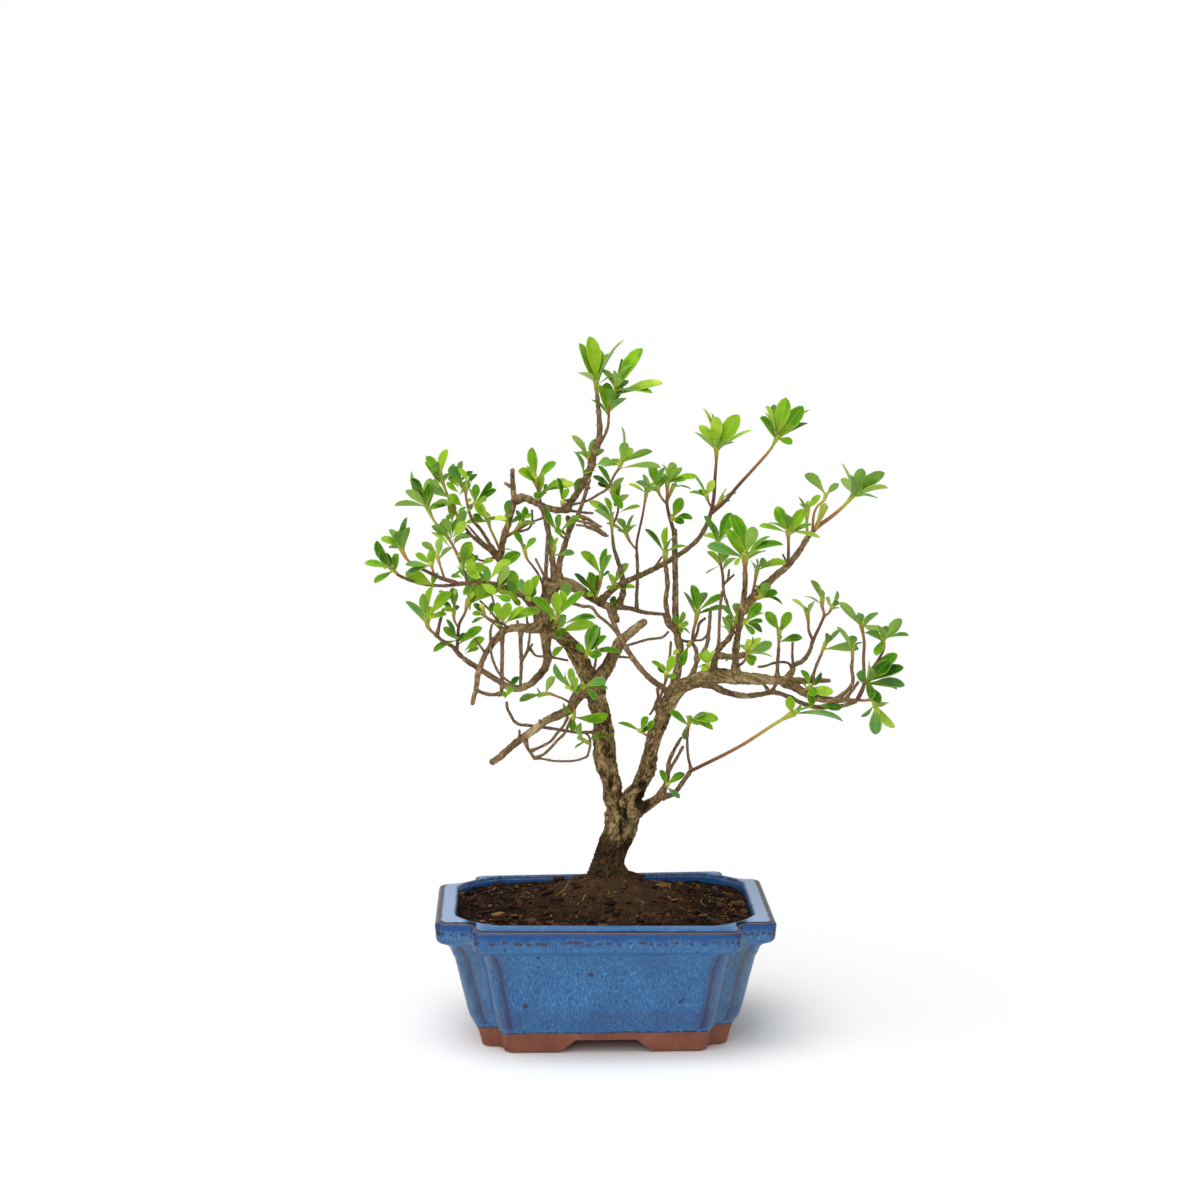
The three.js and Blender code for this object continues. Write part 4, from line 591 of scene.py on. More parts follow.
# %% The glaze
def blue_glaze():
    # Glass over clay, melted in the kiln: a soft mirror of the lamps over a mottled, streaky depth.
    material, add = start_material(
        "blue reduction glaze on stoneware", Roughness=0.32, IOR=1.5, Specular_IOR_Level=0.3,
        Coat_Weight=0.06, Coat_Roughness=0.08)
    spot = add("TexCoord", out="Object")
    waves = add("MapRange", [grain(add, 7.692, (1, 1, 0.1), 2, seed=6), 0.3, 0.7, -1, 1])
    level = add("Math", ["level", waves], operation="ADD")
    across = add("Math", [add("SeparateXYZ", [spot], out="X"), ORIGIN.x], operation="SUBTRACT")
    ends = add("Math", [across], operation="ABSOLUTE")
    streaks = grain(add, 1.111, (1, 1, 0.35), 4, rough=0.65)
    body = add("ValToRGB", [streaks], stops=(
        (0.3, "#1e487c"), (0.45, "#2d6295"), (0.58, "#3b74a7"), (0.74, "#5d93bb")))
    body = paint(add, body, "#2c5087", 0.5, (grain(add, 26.32, (1, 1, 0.8), 3, seed=4), 0.42, 0.7))
    # real crystals are far finer, and are drawn as coarse as they need to show
    body = paint(add, body, "#7ba3c4", 0.3, (grain(add, 0.909, (1, 1, 0.5), 2, seed=2), 0.6, 0.78))
    # the deep band under the lip, the thin glaze of the corners and of the wall's bottom
    body = paint(add, body, "#0d4480", 0.85, (level, 73, 75.5), (level, 79, 78.4))
    body = paint(add, body, "#312a4e", 0.9, ("corner", 0, 1))
    body = paint(add, body, "#37335c", 0.25, (level, 16, 22), (level, 29, 25))
    # ochre in the hollow corners, pale glaze on both ends of the rim
    ochre = grain(add, 22.22, (1, 1, 0.5), seed=8)
    body = paint(add, body, "#7a8a80", 0.4, (ochre, 0.45, 0.65), (ends, 0.058, 0.068), (level, 74, 64))
    body = paint(add, body, "#9db2d0", 0.75, (ends, 0.070, 0.088), ("rim", 0, 1))
    # a row of brown specks, brown edges where the glaze breaks, painted shade in the crease under the
    # lip, a painted highlight along the lip's top edge, and the pin-holes
    specks = grain(add, 2.381, (1, 1, 0.7), 2, seed=7)
    body = paint(add, body, "#3a2c3a", 0.85, (specks, 0.45, 0.56), (level, 71, 72), (level, 74, 73))
    frayed = add("MapRange", [grain(add, 3.333, detail=4, seed=5), 0.3, 0.7, -0.25, 0.25])
    ragged = add("Math", ["edge", frayed], operation="ADD")
    # brown where the glaze breaks on sharp edges; in the crease under the lip the same dark line is painted
    # shade
    body = paint(add, body, "#261a28", 0.95, (ragged, 0.42, 0.8))
    # painted highlight: a pale line on the lip's rounded top edge, standing in for a lamp's reflection
    body = paint(add, body, "#aaa6ba", 0.3, ("level", 78.25, 78.4), ("level", 78.68, 78.5))
    depth = add("SeparateXYZ", [spot], out="Y")
    body = paint(add, body, "#33261f", 0.85, (pin_holes(add, spot), 0, 1), (depth, *FRONT_WALL))
    return finish_material(material, body, grain(add, 6.25, detail=2, seed=3), 0.12, 0.0006)


glaze = blue_glaze()

# %% The clay
def bare_clay():
    # Unglazed and wiped with a sponge: dull, dry and a little gritty, with darker grains.
    material, add = start_material("wiped terracotta clay", Roughness=0.78, IOR=1.5)
    # real grit is finer, and is drawn as coarse as it needs to show
    grit = grain(add, 1.111, seed=2)
    clouds = grain(add, 16.67, detail=4)
    body = add("ValToRGB", [clouds], stops=((0.3, "#7b4632"), (0.5, "#8a513b"), (0.72, "#985f48")))
    body = paint(add, body, "#673b2b", 0.4, (grit, 0.35, 0.7))
    return finish_material(material, body, grit, 0.35, 0.0005)


clay = bare_clay()

# %% Building the pot
pot = make_pot(glaze, clay)
cut_foot(pot, clay)
finish_piece(pot, "pot", smooth=40)

# %% [markdown]
# The drain screens are squares of moulded plastic mesh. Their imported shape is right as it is, so
# they only get their plastic.

# %% Drain screens
def moulded_mesh():
    # Straight from the mould: black with a faint even grain, neither matt nor shiny. The real grain
    # is finer, and is drawn as coarse as it needs to show.
    material, add = start_material("black moulded polyethylene", Roughness=0.55, IOR=1.5)
    skin = grain(add, 2)
    return finish_material(material, add("ValToRGB", [skin], stops=((0.3, "#1f1f1f"), (0.7, "#303030"))),
                           skin, 0.2, 0.0002)


screen_plastic = moulded_mesh()
for side in ("left", "right"):
    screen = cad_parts["drain_screen_" + side]
    screen.data.materials.clear()
    screen.data.materials.append(screen_plastic)


# %% [markdown]
# ## Laying out the tree
#
# A bonsai is judged from its front, so its routes are listed as the front shows them: u to the right
# and v up, on the middle plane of the pot. A depth then slides a point along the line of sight, away
# from the viewer or, below zero, toward them. That keeps the front view true while the crown gets its
# depth.

# %% From the front view to space
VIEWER = Vector((-56, -1487, 449))  # the camera's place in whole millimetres, as in the CAD source


def place_seen(u, v, depth):
    return VIEWER.lerp(Vector((u, 0, v)), (depth - VIEWER.y) / -VIEWER.y)


def seen(points):
    points = np.atleast_2d(points)
    reach = -VIEWER.y / (points[:, 1] - VIEWER.y)
    on_plane = np.array(VIEWER) + (points - np.array(VIEWER)) * reach[:, None]
    return on_plane[:, (0, 2)]


print("50 mm behind the place (100, 300) lies", place_seen(100, 300, 50))

# %% [markdown]
# A centripetal Catmull-Rom line runs through its points without loops or overshoot, which suits
# branches that bend sharply at old pruning cuts.

# %% Smooth lines
def unit(vector):
    return vector / max(np.linalg.norm(vector), 1e-9)


def along(values, share):
    return np.interp(np.asarray(share) * (len(values) - 1), np.arange(len(values)), values)


def distances(line):
    return np.concatenate(([0], np.cumsum(np.linalg.norm(np.diff(line, axis=0), axis=1))))


def directions(line):
    slopes = np.gradient(line, axis=0)
    return slopes / np.maximum(np.linalg.norm(slopes, axis=1), 1e-9)[:, None]


def smooth_line(points, spacing):
    """Places on the line through points, and each place's share of the way."""
    points = [np.array(p) for p in points]
    ends = [2 * points[0] - points[1]] + points + [2 * points[-1] - points[-2]]
    stretches, shares = [], []
    for i in range(len(points) - 1):
        a, b, c, d = ends[i : i + 4]
        ab, bc, cd = (max(np.linalg.norm(q - p), 1e-4) ** 0.5 for p, q in ((a, b), (b, c), (c, d)))
        leave = ((b - a) / ab - (c - a) / (ab + bc) + (c - b) / bc) * bc
        arrive = ((c - b) / bc - (d - b) / (bc + cd) + (d - c) / cd) * bc
        steps = max(2, math.ceil(np.linalg.norm(c - b) / spacing))
        s = (np.arange(steps) / steps)[:, None]
        cubic = (2 * s**3 - 3 * s**2 + 1) * b + (s**3 - 2 * s**2 + s) * leave
        cubic += (3 * s**2 - 2 * s**3) * c + (s**3 - s**2) * arrive
        stretches.append(cubic)
        shares.append((i + s[:, 0]) / (len(points) - 1))
    return np.vstack(stretches + [points[-1]]), np.concatenate(shares + [[1]])


bend, _ = smooth_line([(0, 0), (10, 0), (10, 10)], 1)
print("a bend through three points is", round(distances(bend)[-1], 1), "mm long")

# %% [markdown]
# A limb is a smooth line that starts on the limb that carries it, where the front view shows the two
# nearest to each other. Its radii and depths spread evenly along it.

# %% Laying a limb
CROWN_DEPTH = 2.2  # how much deeper the crown is built than its routes say
LINE_STEP = 0.8


def nearest(limbs, at):
    """The place on the limbs' middle lines that the front view shows nearest to at."""
    best = None
    for limb in limbs:
        gaps = np.linalg.norm(limb.seen - np.array(at), axis=1)
        index = int(np.argmin(gaps))
        if best is None or gaps[index] < best[0]:
            best = (gaps[index], limb, index)
    _, limb, index = best
    radius = float(along(limb.radii, limb.shares[index]))
    return SimpleNamespace(point=limb.line[index], tangent=limb.tangents[index], radius=radius)


def lay_limb(carriers, depths, radii, path):
    start = nearest(carriers, path[0]) if carriers else None
    spread = [depth * CROWN_DEPTH for depth in depths]
    depths_along = [start.point[1]] + spread if start else spread
    shares = np.arange(len(path)) / (len(path) - 1)
    points = [place_seen(u, v, along(depths_along, s)) for (u, v), s in zip(path, shares)]
    if start:
        points[0] = start.point
    line, shares = smooth_line(points, LINE_STEP)
    return SimpleNamespace(
        line=line, shares=shares, radii=radii, seen=seen(line), tangents=directions(line),
        carrier_radius=start.radius if start else 0)


trial = lay_limb([], [0, 10], [2, 1], [(0, 0), (0, 50)])
print("a trial limb has", len(trial.line), "places and ends at", trial.line[-1].round(1))

# %% [markdown]
# ### The branch routes
#
# Each entry names a branch and the branch it grows from, then gives its depths after the start (the
# trunk's from its foot), its radii from base to tip, and the places u,v it passes. An indented line
# goes on with the one before it. Everything is given in millimetres.

# %% Routes of the wood
WOOD = """
trunk - | 5.5 5.5 5 | 13.5 13 11.5 9.8 9.1 8.9 10.4 10.4 8.5 | 3,62 3,90 3.3,97 3.5,103 5,110 9.2,120
  11.4,130 11.7,134.5 10,138.5
left_leader trunk | 5 4 2 1 0 | 7 5.8 5.7 6.3 6.7 6.2 5.8 5.6 5.3 5.2 4.8 4.5 4 3.6 | 8,137 6.3,143
  5.5,150 3,160 0.8,170 0.5,178 -0.5,188 -2,197 -5,205 -8,214 -13,225 -19,235 -27,242 -36,247
pruned_stub left_leader | 0 -4 | 4.2 4 3.8 3.5 3.2 2.8 2.4 | -5,205 -3.5,213 2,221 6,229 10.5,237 17,243
  25,249.5
bare_twig left_leader | -2 | 1 0.9 | -8,212 -4.5,225 -4,238
cross_twig pruned_stub | -2 0 | 0.9 | 8,232 15,235 20,236.5 27,238.5 32,239 36,240 39,243
right_leader trunk | 4 2 0 -1 -3 -4 -4 -3 | 8 6 5 5 4.6 4.6 4.7 4.6 4.3 4.5 4.8 4 3.2 2.4 1.6 1.3 | 12,132
  16,140 22,150 26.8,160 28.5,170 31,180 35,190 39,200 45,208 54,212.5 68,216.5 80,215 95,214 112,213
  131,213 136,213
leader_twig right_leader | -6 -8 | 1 0.9 | 36,192 34,200 36,209 38,215 39,222 40,230 40.5,237
leader_stub right_leader | -2 | 1.3 1.1 | 35,191 31.5,198 33,203 32.5,209
inner_arc right_leader | -10 -8 -2 | 1.8 1.5 | 38,207 33,211 27,216 20,224 14,233 9,242 5,252 2,260
low_spur trunk | 3 1 | 4 3 2.4 | 18,131 28,138.5 34,143
low_twig_up low_spur | 2 5 | 1.8 1.6 1.3 1 | 34,143 37.5,150 39,158 39.5,164 43,172 47,179
low_twig_stub low_twig_up | 0 | 1.1 | 39.5,158 44,166 48,173.5
low_twig_out low_spur | -2 -5 | 1.8 1.4 | 34,143 42,144.5 47,150.5 53,159
low_twig_rise low_twig_out | -8 -12 | 1 0.9 | 53,159 51,168 50.5,178 51,184
tall_stem right_leader | 1 3 4 4 | 2.8 2.6 2.4 2.5 2.4 2.2 2 1.9 1.9 1.8 | 41,204 43.5,215 45.5,224 46,232
  44.5,240 43.3,250 43,262 43,275 42.5,290 42.3,304
twin_stem tall_stem | 1 0 | 1.6 1.4 | 43,243 40,248 38,256 37.3,262 38.3,270 38,276 37,284 37,288
middle_upright left_leader | 1 2 | 3.6 3.4 3.2 3 | -36,247 -36,254 -34.5,262 -33,269
centre_limb middle_upright | 3 6 10 14 | 3.8 3.5 2.8 2.2 1.8 1.4 1.2 | -33,268 -27,272 -20,271.5 -12,267.5
  -4,262 3,258.5 9,258 14,257.5 22,255.3 30,254 39,253.3
centre_stub centre_limb | 2 | 1.8 | 5,258.5 8.5,249.5
centre_under middle_upright | -2 -6 | 1.2 1 | -34.5,262 -27,261.5 -19,260.5 -12,258.5 -7,258 -3,253 2,249
  6,245 9,241
centre_upright centre_limb | 4 2 0 | 2 1.8 1.5 1.2 1 | 8.5,258 11.8,266 11.3,277 9,285 6.5,293 5.5,301
thin_upright centre_limb | 9 8 | 1.2 1.1 | 20,255.7 20,265 20.5,276 20.3,286 20,290
long_arc centre_limb | 8 14 14 12 | 1.9 1.8 1.7 1.5 1.4 | -2,261 3,266 10,271.5 20,276 30,280.5 40,286
  50,292.5 57,299 61.5,307 64,314
pale_upright middle_upright | 0 -2 | 1.4 1.2 | -33.3,268 -34,277 -33.5,286 -33,296 -32.5,304 -33.5,311
  -36,318
upright_a centre_limb | 6 8 | 1.9 1.6 | -29,271.5 -29.5,281 -30.5,290 -31.5,298 -33,306 -35,314 -37,319
upright_b centre_limb | 4 4 | 1.9 1.6 | -26,272.5 -26,284 -24,291 -21.5,299 -20,306 -21,312
left_upright left_leader | 6 12 14 16 | 2.6 2.3 2 1.7 | -36,247 -40,256 -46,264 -52,270 -58,278 -61,286
  -60,293 -58.5,301 -56,308 -54,315 -52.5,321 -53,327 -53.5,334 -53.5,340
top_bar left_upright | 12 6 3 | 2.3 2 1.9 | -52,322 -47,323.3 -41,321 -35,318 -28,316 -21,316
apex top_bar | 0 -3 -3 -2 | 2 1.9 2.2 2.4 2 1.8 1.5 1.3 | -22,316 -18,322 -13,329.5 -9.5,336 -7,342
  -5.5,348 -3,354.5 -2,362 -2.3,370 -3,378 -3.5,384
apex_side apex | -4 | 1.1 0.9 | -2,353 1,360 3,366 3.3,370
pale_diagonal upright_b | -3 -4 | 1.4 1.2 | -20.5,303 -16,311 -12.5,319 -10,327 -8,334
dry_twig_a top_bar | 0 -4 | 1 0.8 | -22,315.5 -12,314.5 -6,314
dry_twig_b upright_b | -2 -8 | 1 0.8 | -20.5,309 -17,312 -10,310.5 -4,307 -1,306
dry_twig_c dry_twig_b | -6 -10 | 0.9 0.8 | -12,311 -10,306 -5,304 0,301 3,300.5
top_twig apex | -6 -8 | 0.9 | -20,319 -14,320 -8,322 -3,325 2,328 5,333 7,337 10,341
fan_a left_upright | 10 8 | 1.4 1.1 | -61,286 -66,291 -73,296.5 -79,302
fan_b left_upright | 4 -4 | 1.3 1 | -61,288 -67,296 -72,304 -77,310 -79.5,316
far_left_limb middle_upright | 0 -6 -12 | 2.5 1.9 1.4 1.1 | -36,256 -45,264 -55,268.5 -65,272 -75,273
  -83,272.5 -90,273.5
far_left_fork far_left_limb | -14 -24 | 1.2 1 | -83,272.5 -92,271.2 -102,271.5 -110,273 -117,275.5
  -122,278
left_arc left_leader | -3 -8 -16 -20 | 2.7 2.4 2 1.7 1.4 | -36,246 -43,245.5 -51,246 -58,244.5 -63,240
  -68,233 -72,226 -74.5,218 -75.5,210 -77,204.5 -78,200
left_arc_drop left_arc | -10 -12 | 1.3 | -60,243 -60,232 -60.3,220 -60.5,205.5
left_arc_tie left_arc_drop | -17 | 1.2 | -60.5,206 -66,205.6 -71,206.5 -75.5,208.5
left_arc_drop_b left_arc | -4 0 | 1.4 1.1 | -49,245.5 -49,235 -48.7,225 -49.3,211
left_arc_curl left_arc | -14 -10 | 0.9 | -62,241 -66.8,238 -66.8,232 -65,225 -61.5,218 -55,212.5
bottom_arc left_leader | 6 12 16 20 18 | 2.8 2.5 2.2 1.9 1.6 1.2 | -33,245 -34,235 -33,228 -34.5,222
  -39,216 -44,211.5 -50,209.3 -56,210 -61,213 -68,217.5 -75,222 -81,226 -86,230.5 -90,235 -95,238 -100,242
low_left_stub left_leader | 2 -2 0 | 3.2 3 2.8 2.7 2.5 2.4 2.3 2 | -7,209 -13,206.5 -17,201.5 -19.3,196.5
  -23,194.5 -29.4,192.2 -34.5,189.3 -39.6,185.5 -44.7,181.6 -49.8,178 -55,174 -61.3,168.3 -67,164.5
low_left_twig low_left_stub | -4 | 1.3 1 | -47,179.8 -45,173 -43,170 -41,166.5
low_loop_a low_left_twig | -4 0 | 1 | -43.5,171 -36,174.5 -31,177.5 -28,181.5 -24,186 -21,192
low_loop_b low_left_twig | -8 -2 | 1 | -41,167.5 -36,169 -31,173.5 -27,178 -23,182 -19,191
low_loop_c low_left_twig | -4 4 | 0.8 | -41,167 -36,166.5 -30,165.3 -23,165 -17,165.3 -12.5,166.5 -9.5,168
  -8.5,171 -7.5,176 -8.5,180 -10,181.5
side_twig left_leader | -2 -6 | 1.1 1 | -4,182.5 -15,182.5 -28,184.5 -45,187 -50,187.5 -53,189.5 -55,193
  -57,197 -57.5,201
right_stem right_leader | -12 -14 | 2.4 2.1 1.9 1.7 | 79,215 79.2,225 79.5,235 80.5,242 82,250 83.5,260
  84.5,270 84.5,278
right_twig_a right_leader | -2 2 | 1.7 1.4 1.1 | 51,211.5 54.5,220 56.5,226 61.5,233.5 63.3,245 64,256
right_twig_knot right_twig_a | 4 | 1.4 1.2 | 56,225 55.5,232 52.5,237
right_twig_b right_twig_knot | 7 | 1 | 53,237 56,242 57.5,248 61,251
tie_twig right_twig_knot | 5 | 0.9 | 53,236.5 48,237.5 44,239
right_twig_c right_leader | -14 -12 | 1.2 1 | 64,216 65.5,224 67,230 69,236 69.3,246 69.8,257 71,267
right_knuckle right_leader | -6 -10 | 2 1.8 1.6 | 66,217 66.5,224 67.5,229.5 71,234.5 75,238.5 77.5,243
right_knuckle_bar right_knuckle | -14 | 1.8 | 67,229 73,228 80,227.5 84,229
right_twig_d right_knuckle | -6 -4 | 1.1 1 | 76,241.5 76.5,250 74.5,258 72,266 71.4,271
lower_limb right_leader | 2 8 12 14 | 2.4 2 1.8 1.6 1.6 1.5 1.3 | 57,213 68,209 76,205.5 86,204 95,205
  103,206 112,203 120,199 128,197 138,197 145,198 152,200
link_twig_a lower_limb | 2 | 1.2 | 100,206 96,211.5
link_twig_b lower_limb | 3 | 1.2 | 101,206 104,212
right_tip_limb right_leader | -6 -9 -11 | 2.8 2.6 2.3 1.9 1.6 | 108,213 113,210.5 120,206 128,202.5
  135,201.3 142,201 148,201
right_crown_stem right_leader | 0 6 10 | 2 1.8 1.5 1.3 | 110,213 113,218.5 114,222 120,225.5 124,232
  124.8,236
low_bow right_crown_stem | -8 | 0.9 | 113.5,221 110,224 103,224 97,222 93,221.5
bare_twig_right right_crown_stem | -2 | 0.9 | 113.5,222 113.2,229 113.3,236
right_stem_b right_leader | -8 | 1.3 1.1 | 104,213.5 104.5,225 105,233
right_stem_c right_leader | 2 | 1.1 1 | 125,213 128,223 130.7,229
right_stem_d right_tip_limb | -6 -1 | 1.4 1.1 | 140,201 148,208.5 149.8,213 149,220 149.4,227
right_stem_e right_tip_limb | -14 | 1.1 | 145,201 149,206.5 153,212
far_right_limb right_stem | -10 -3 4 | 2.6 2.5 2.2 2 1.8 | 83.3,255 87,260.5 91,265 97,271 103,276.5
  109,281.5 113,286 118,293 121,298.5
"""


def entries(table, indent=2):
    """The entries of a table; lines with this much indent go on with the entry before them."""
    return table.strip().replace("\n" + " " * indent, " ").splitlines()


def numbers(text):
    return [float(number) for number in text.split()]


def places(text):
    return [[float(number) for number in place.split(",")] for place in text.split()]


wood = {}
for entry in entries(WOOD):
    names, depths, radii, path = entry.split("|")
    name, parent = names.split()
    carriers = [] if parent == "-" else [wood[parent]]
    wood[name] = lay_limb(carriers, numbers(depths), numbers(radii), places(path))
print(len(wood), "branches from the", next(iter(wood)))

# %% [markdown]
# The smallest dry twigs and stubs are listed by radius and route only. Each one starts on the branch
# that the front view shows nearest to its start, and keeps that branch's depth.

# %% Small twigs
SMALL_TWIGS = """
1.3 | -64,290 -72,297 -81,302.5
0.9 | -62,292 -72,298 -80,307
0.9 | -64,287 -72,286 -78,290
1.1 | -60,246 -72,254
0.8 | -60,247 -66,265
0.8 | -61,248 -67,256 -73,262
1 | -66,238 -67,243 -66,248
1.2 | -91,251 -95,257
0.8 | -77,235 -76.5,239.5
0.8 | -50,246 -51,250
0.8 | -43,240 -45,249 -45,258
0.8 | -35,275 -40,287
1.6 | -38,274 -34,271
0.8 | -47,226 -42,236
0.9 | -60,300 -52,303 -44,308 -35,311.5
0.9 | -52,302 -44,305 -42,309 -42,316
0.8 | -24,327 -25,321
1.1 | 2,303 -6,307 -17,310
0.8 | 0,304 -8,306 -16,307
0.8 | -3,306 -9,311 -14,313
1.2 | -6,328 -8,329
1.2 | -55,329 -58,332
1 | -48.5,226 -45.5,231 -44,238 -43.5,245
0.8 | -30,229 -26,227 -21,226
0.9 | -42,232 -40,229 -35,228.5
0.8 | 5,228 10,228 16,227.5
0.8 | 36,252 38,247 41,244
0.9 | 25.5,198 28,193
0.8 | 30,281 35,288
0.8 | 73,275 78,277
0.8 | 72,276 75,280
0.8 | 108,285 107,289
0.8 | 132,257 133,253
0.8 | 55,237 59,238 62,241 63,244
1 | -52,181.5 -50,184
1 | 19,232 17,229
1 | -40,192 -38,190
"""
TWIG_TAPER = 0.8
TWIG_DEPTHS = (-2, 2)  # by turns a little nearer and a little further than the branch

for number, entry in enumerate(entries(SMALL_TWIGS)):
    radius, path = float(entry.split("|")[0]), places(entry.split("|")[1])
    depth = nearest(wood.values(), path[0]).point[1] / CROWN_DEPTH + TWIG_DEPTHS[number % 2]
    wood[f"small_twig_{number}"] = lay_limb(wood.values(), [depth], [radius, radius * TWIG_TAPER], path)
print(len(wood), "branches,", round(sum(distances(limb.line)[-1] for limb in wood.values())), "mm of wood")

# %% [markdown]
# ### The leafy shoots
#
# A shoot is a name with its stems and whorls below it. A stem starts on a branch, or on an earlier
# stem of the same shoot, given by its number. A whorl has a star, a place, a leaf length, and the tips
# of its leaves. The third number of a tip says how much of the blade's width the front sees, from 0
# for edge-on to 1 for flat.

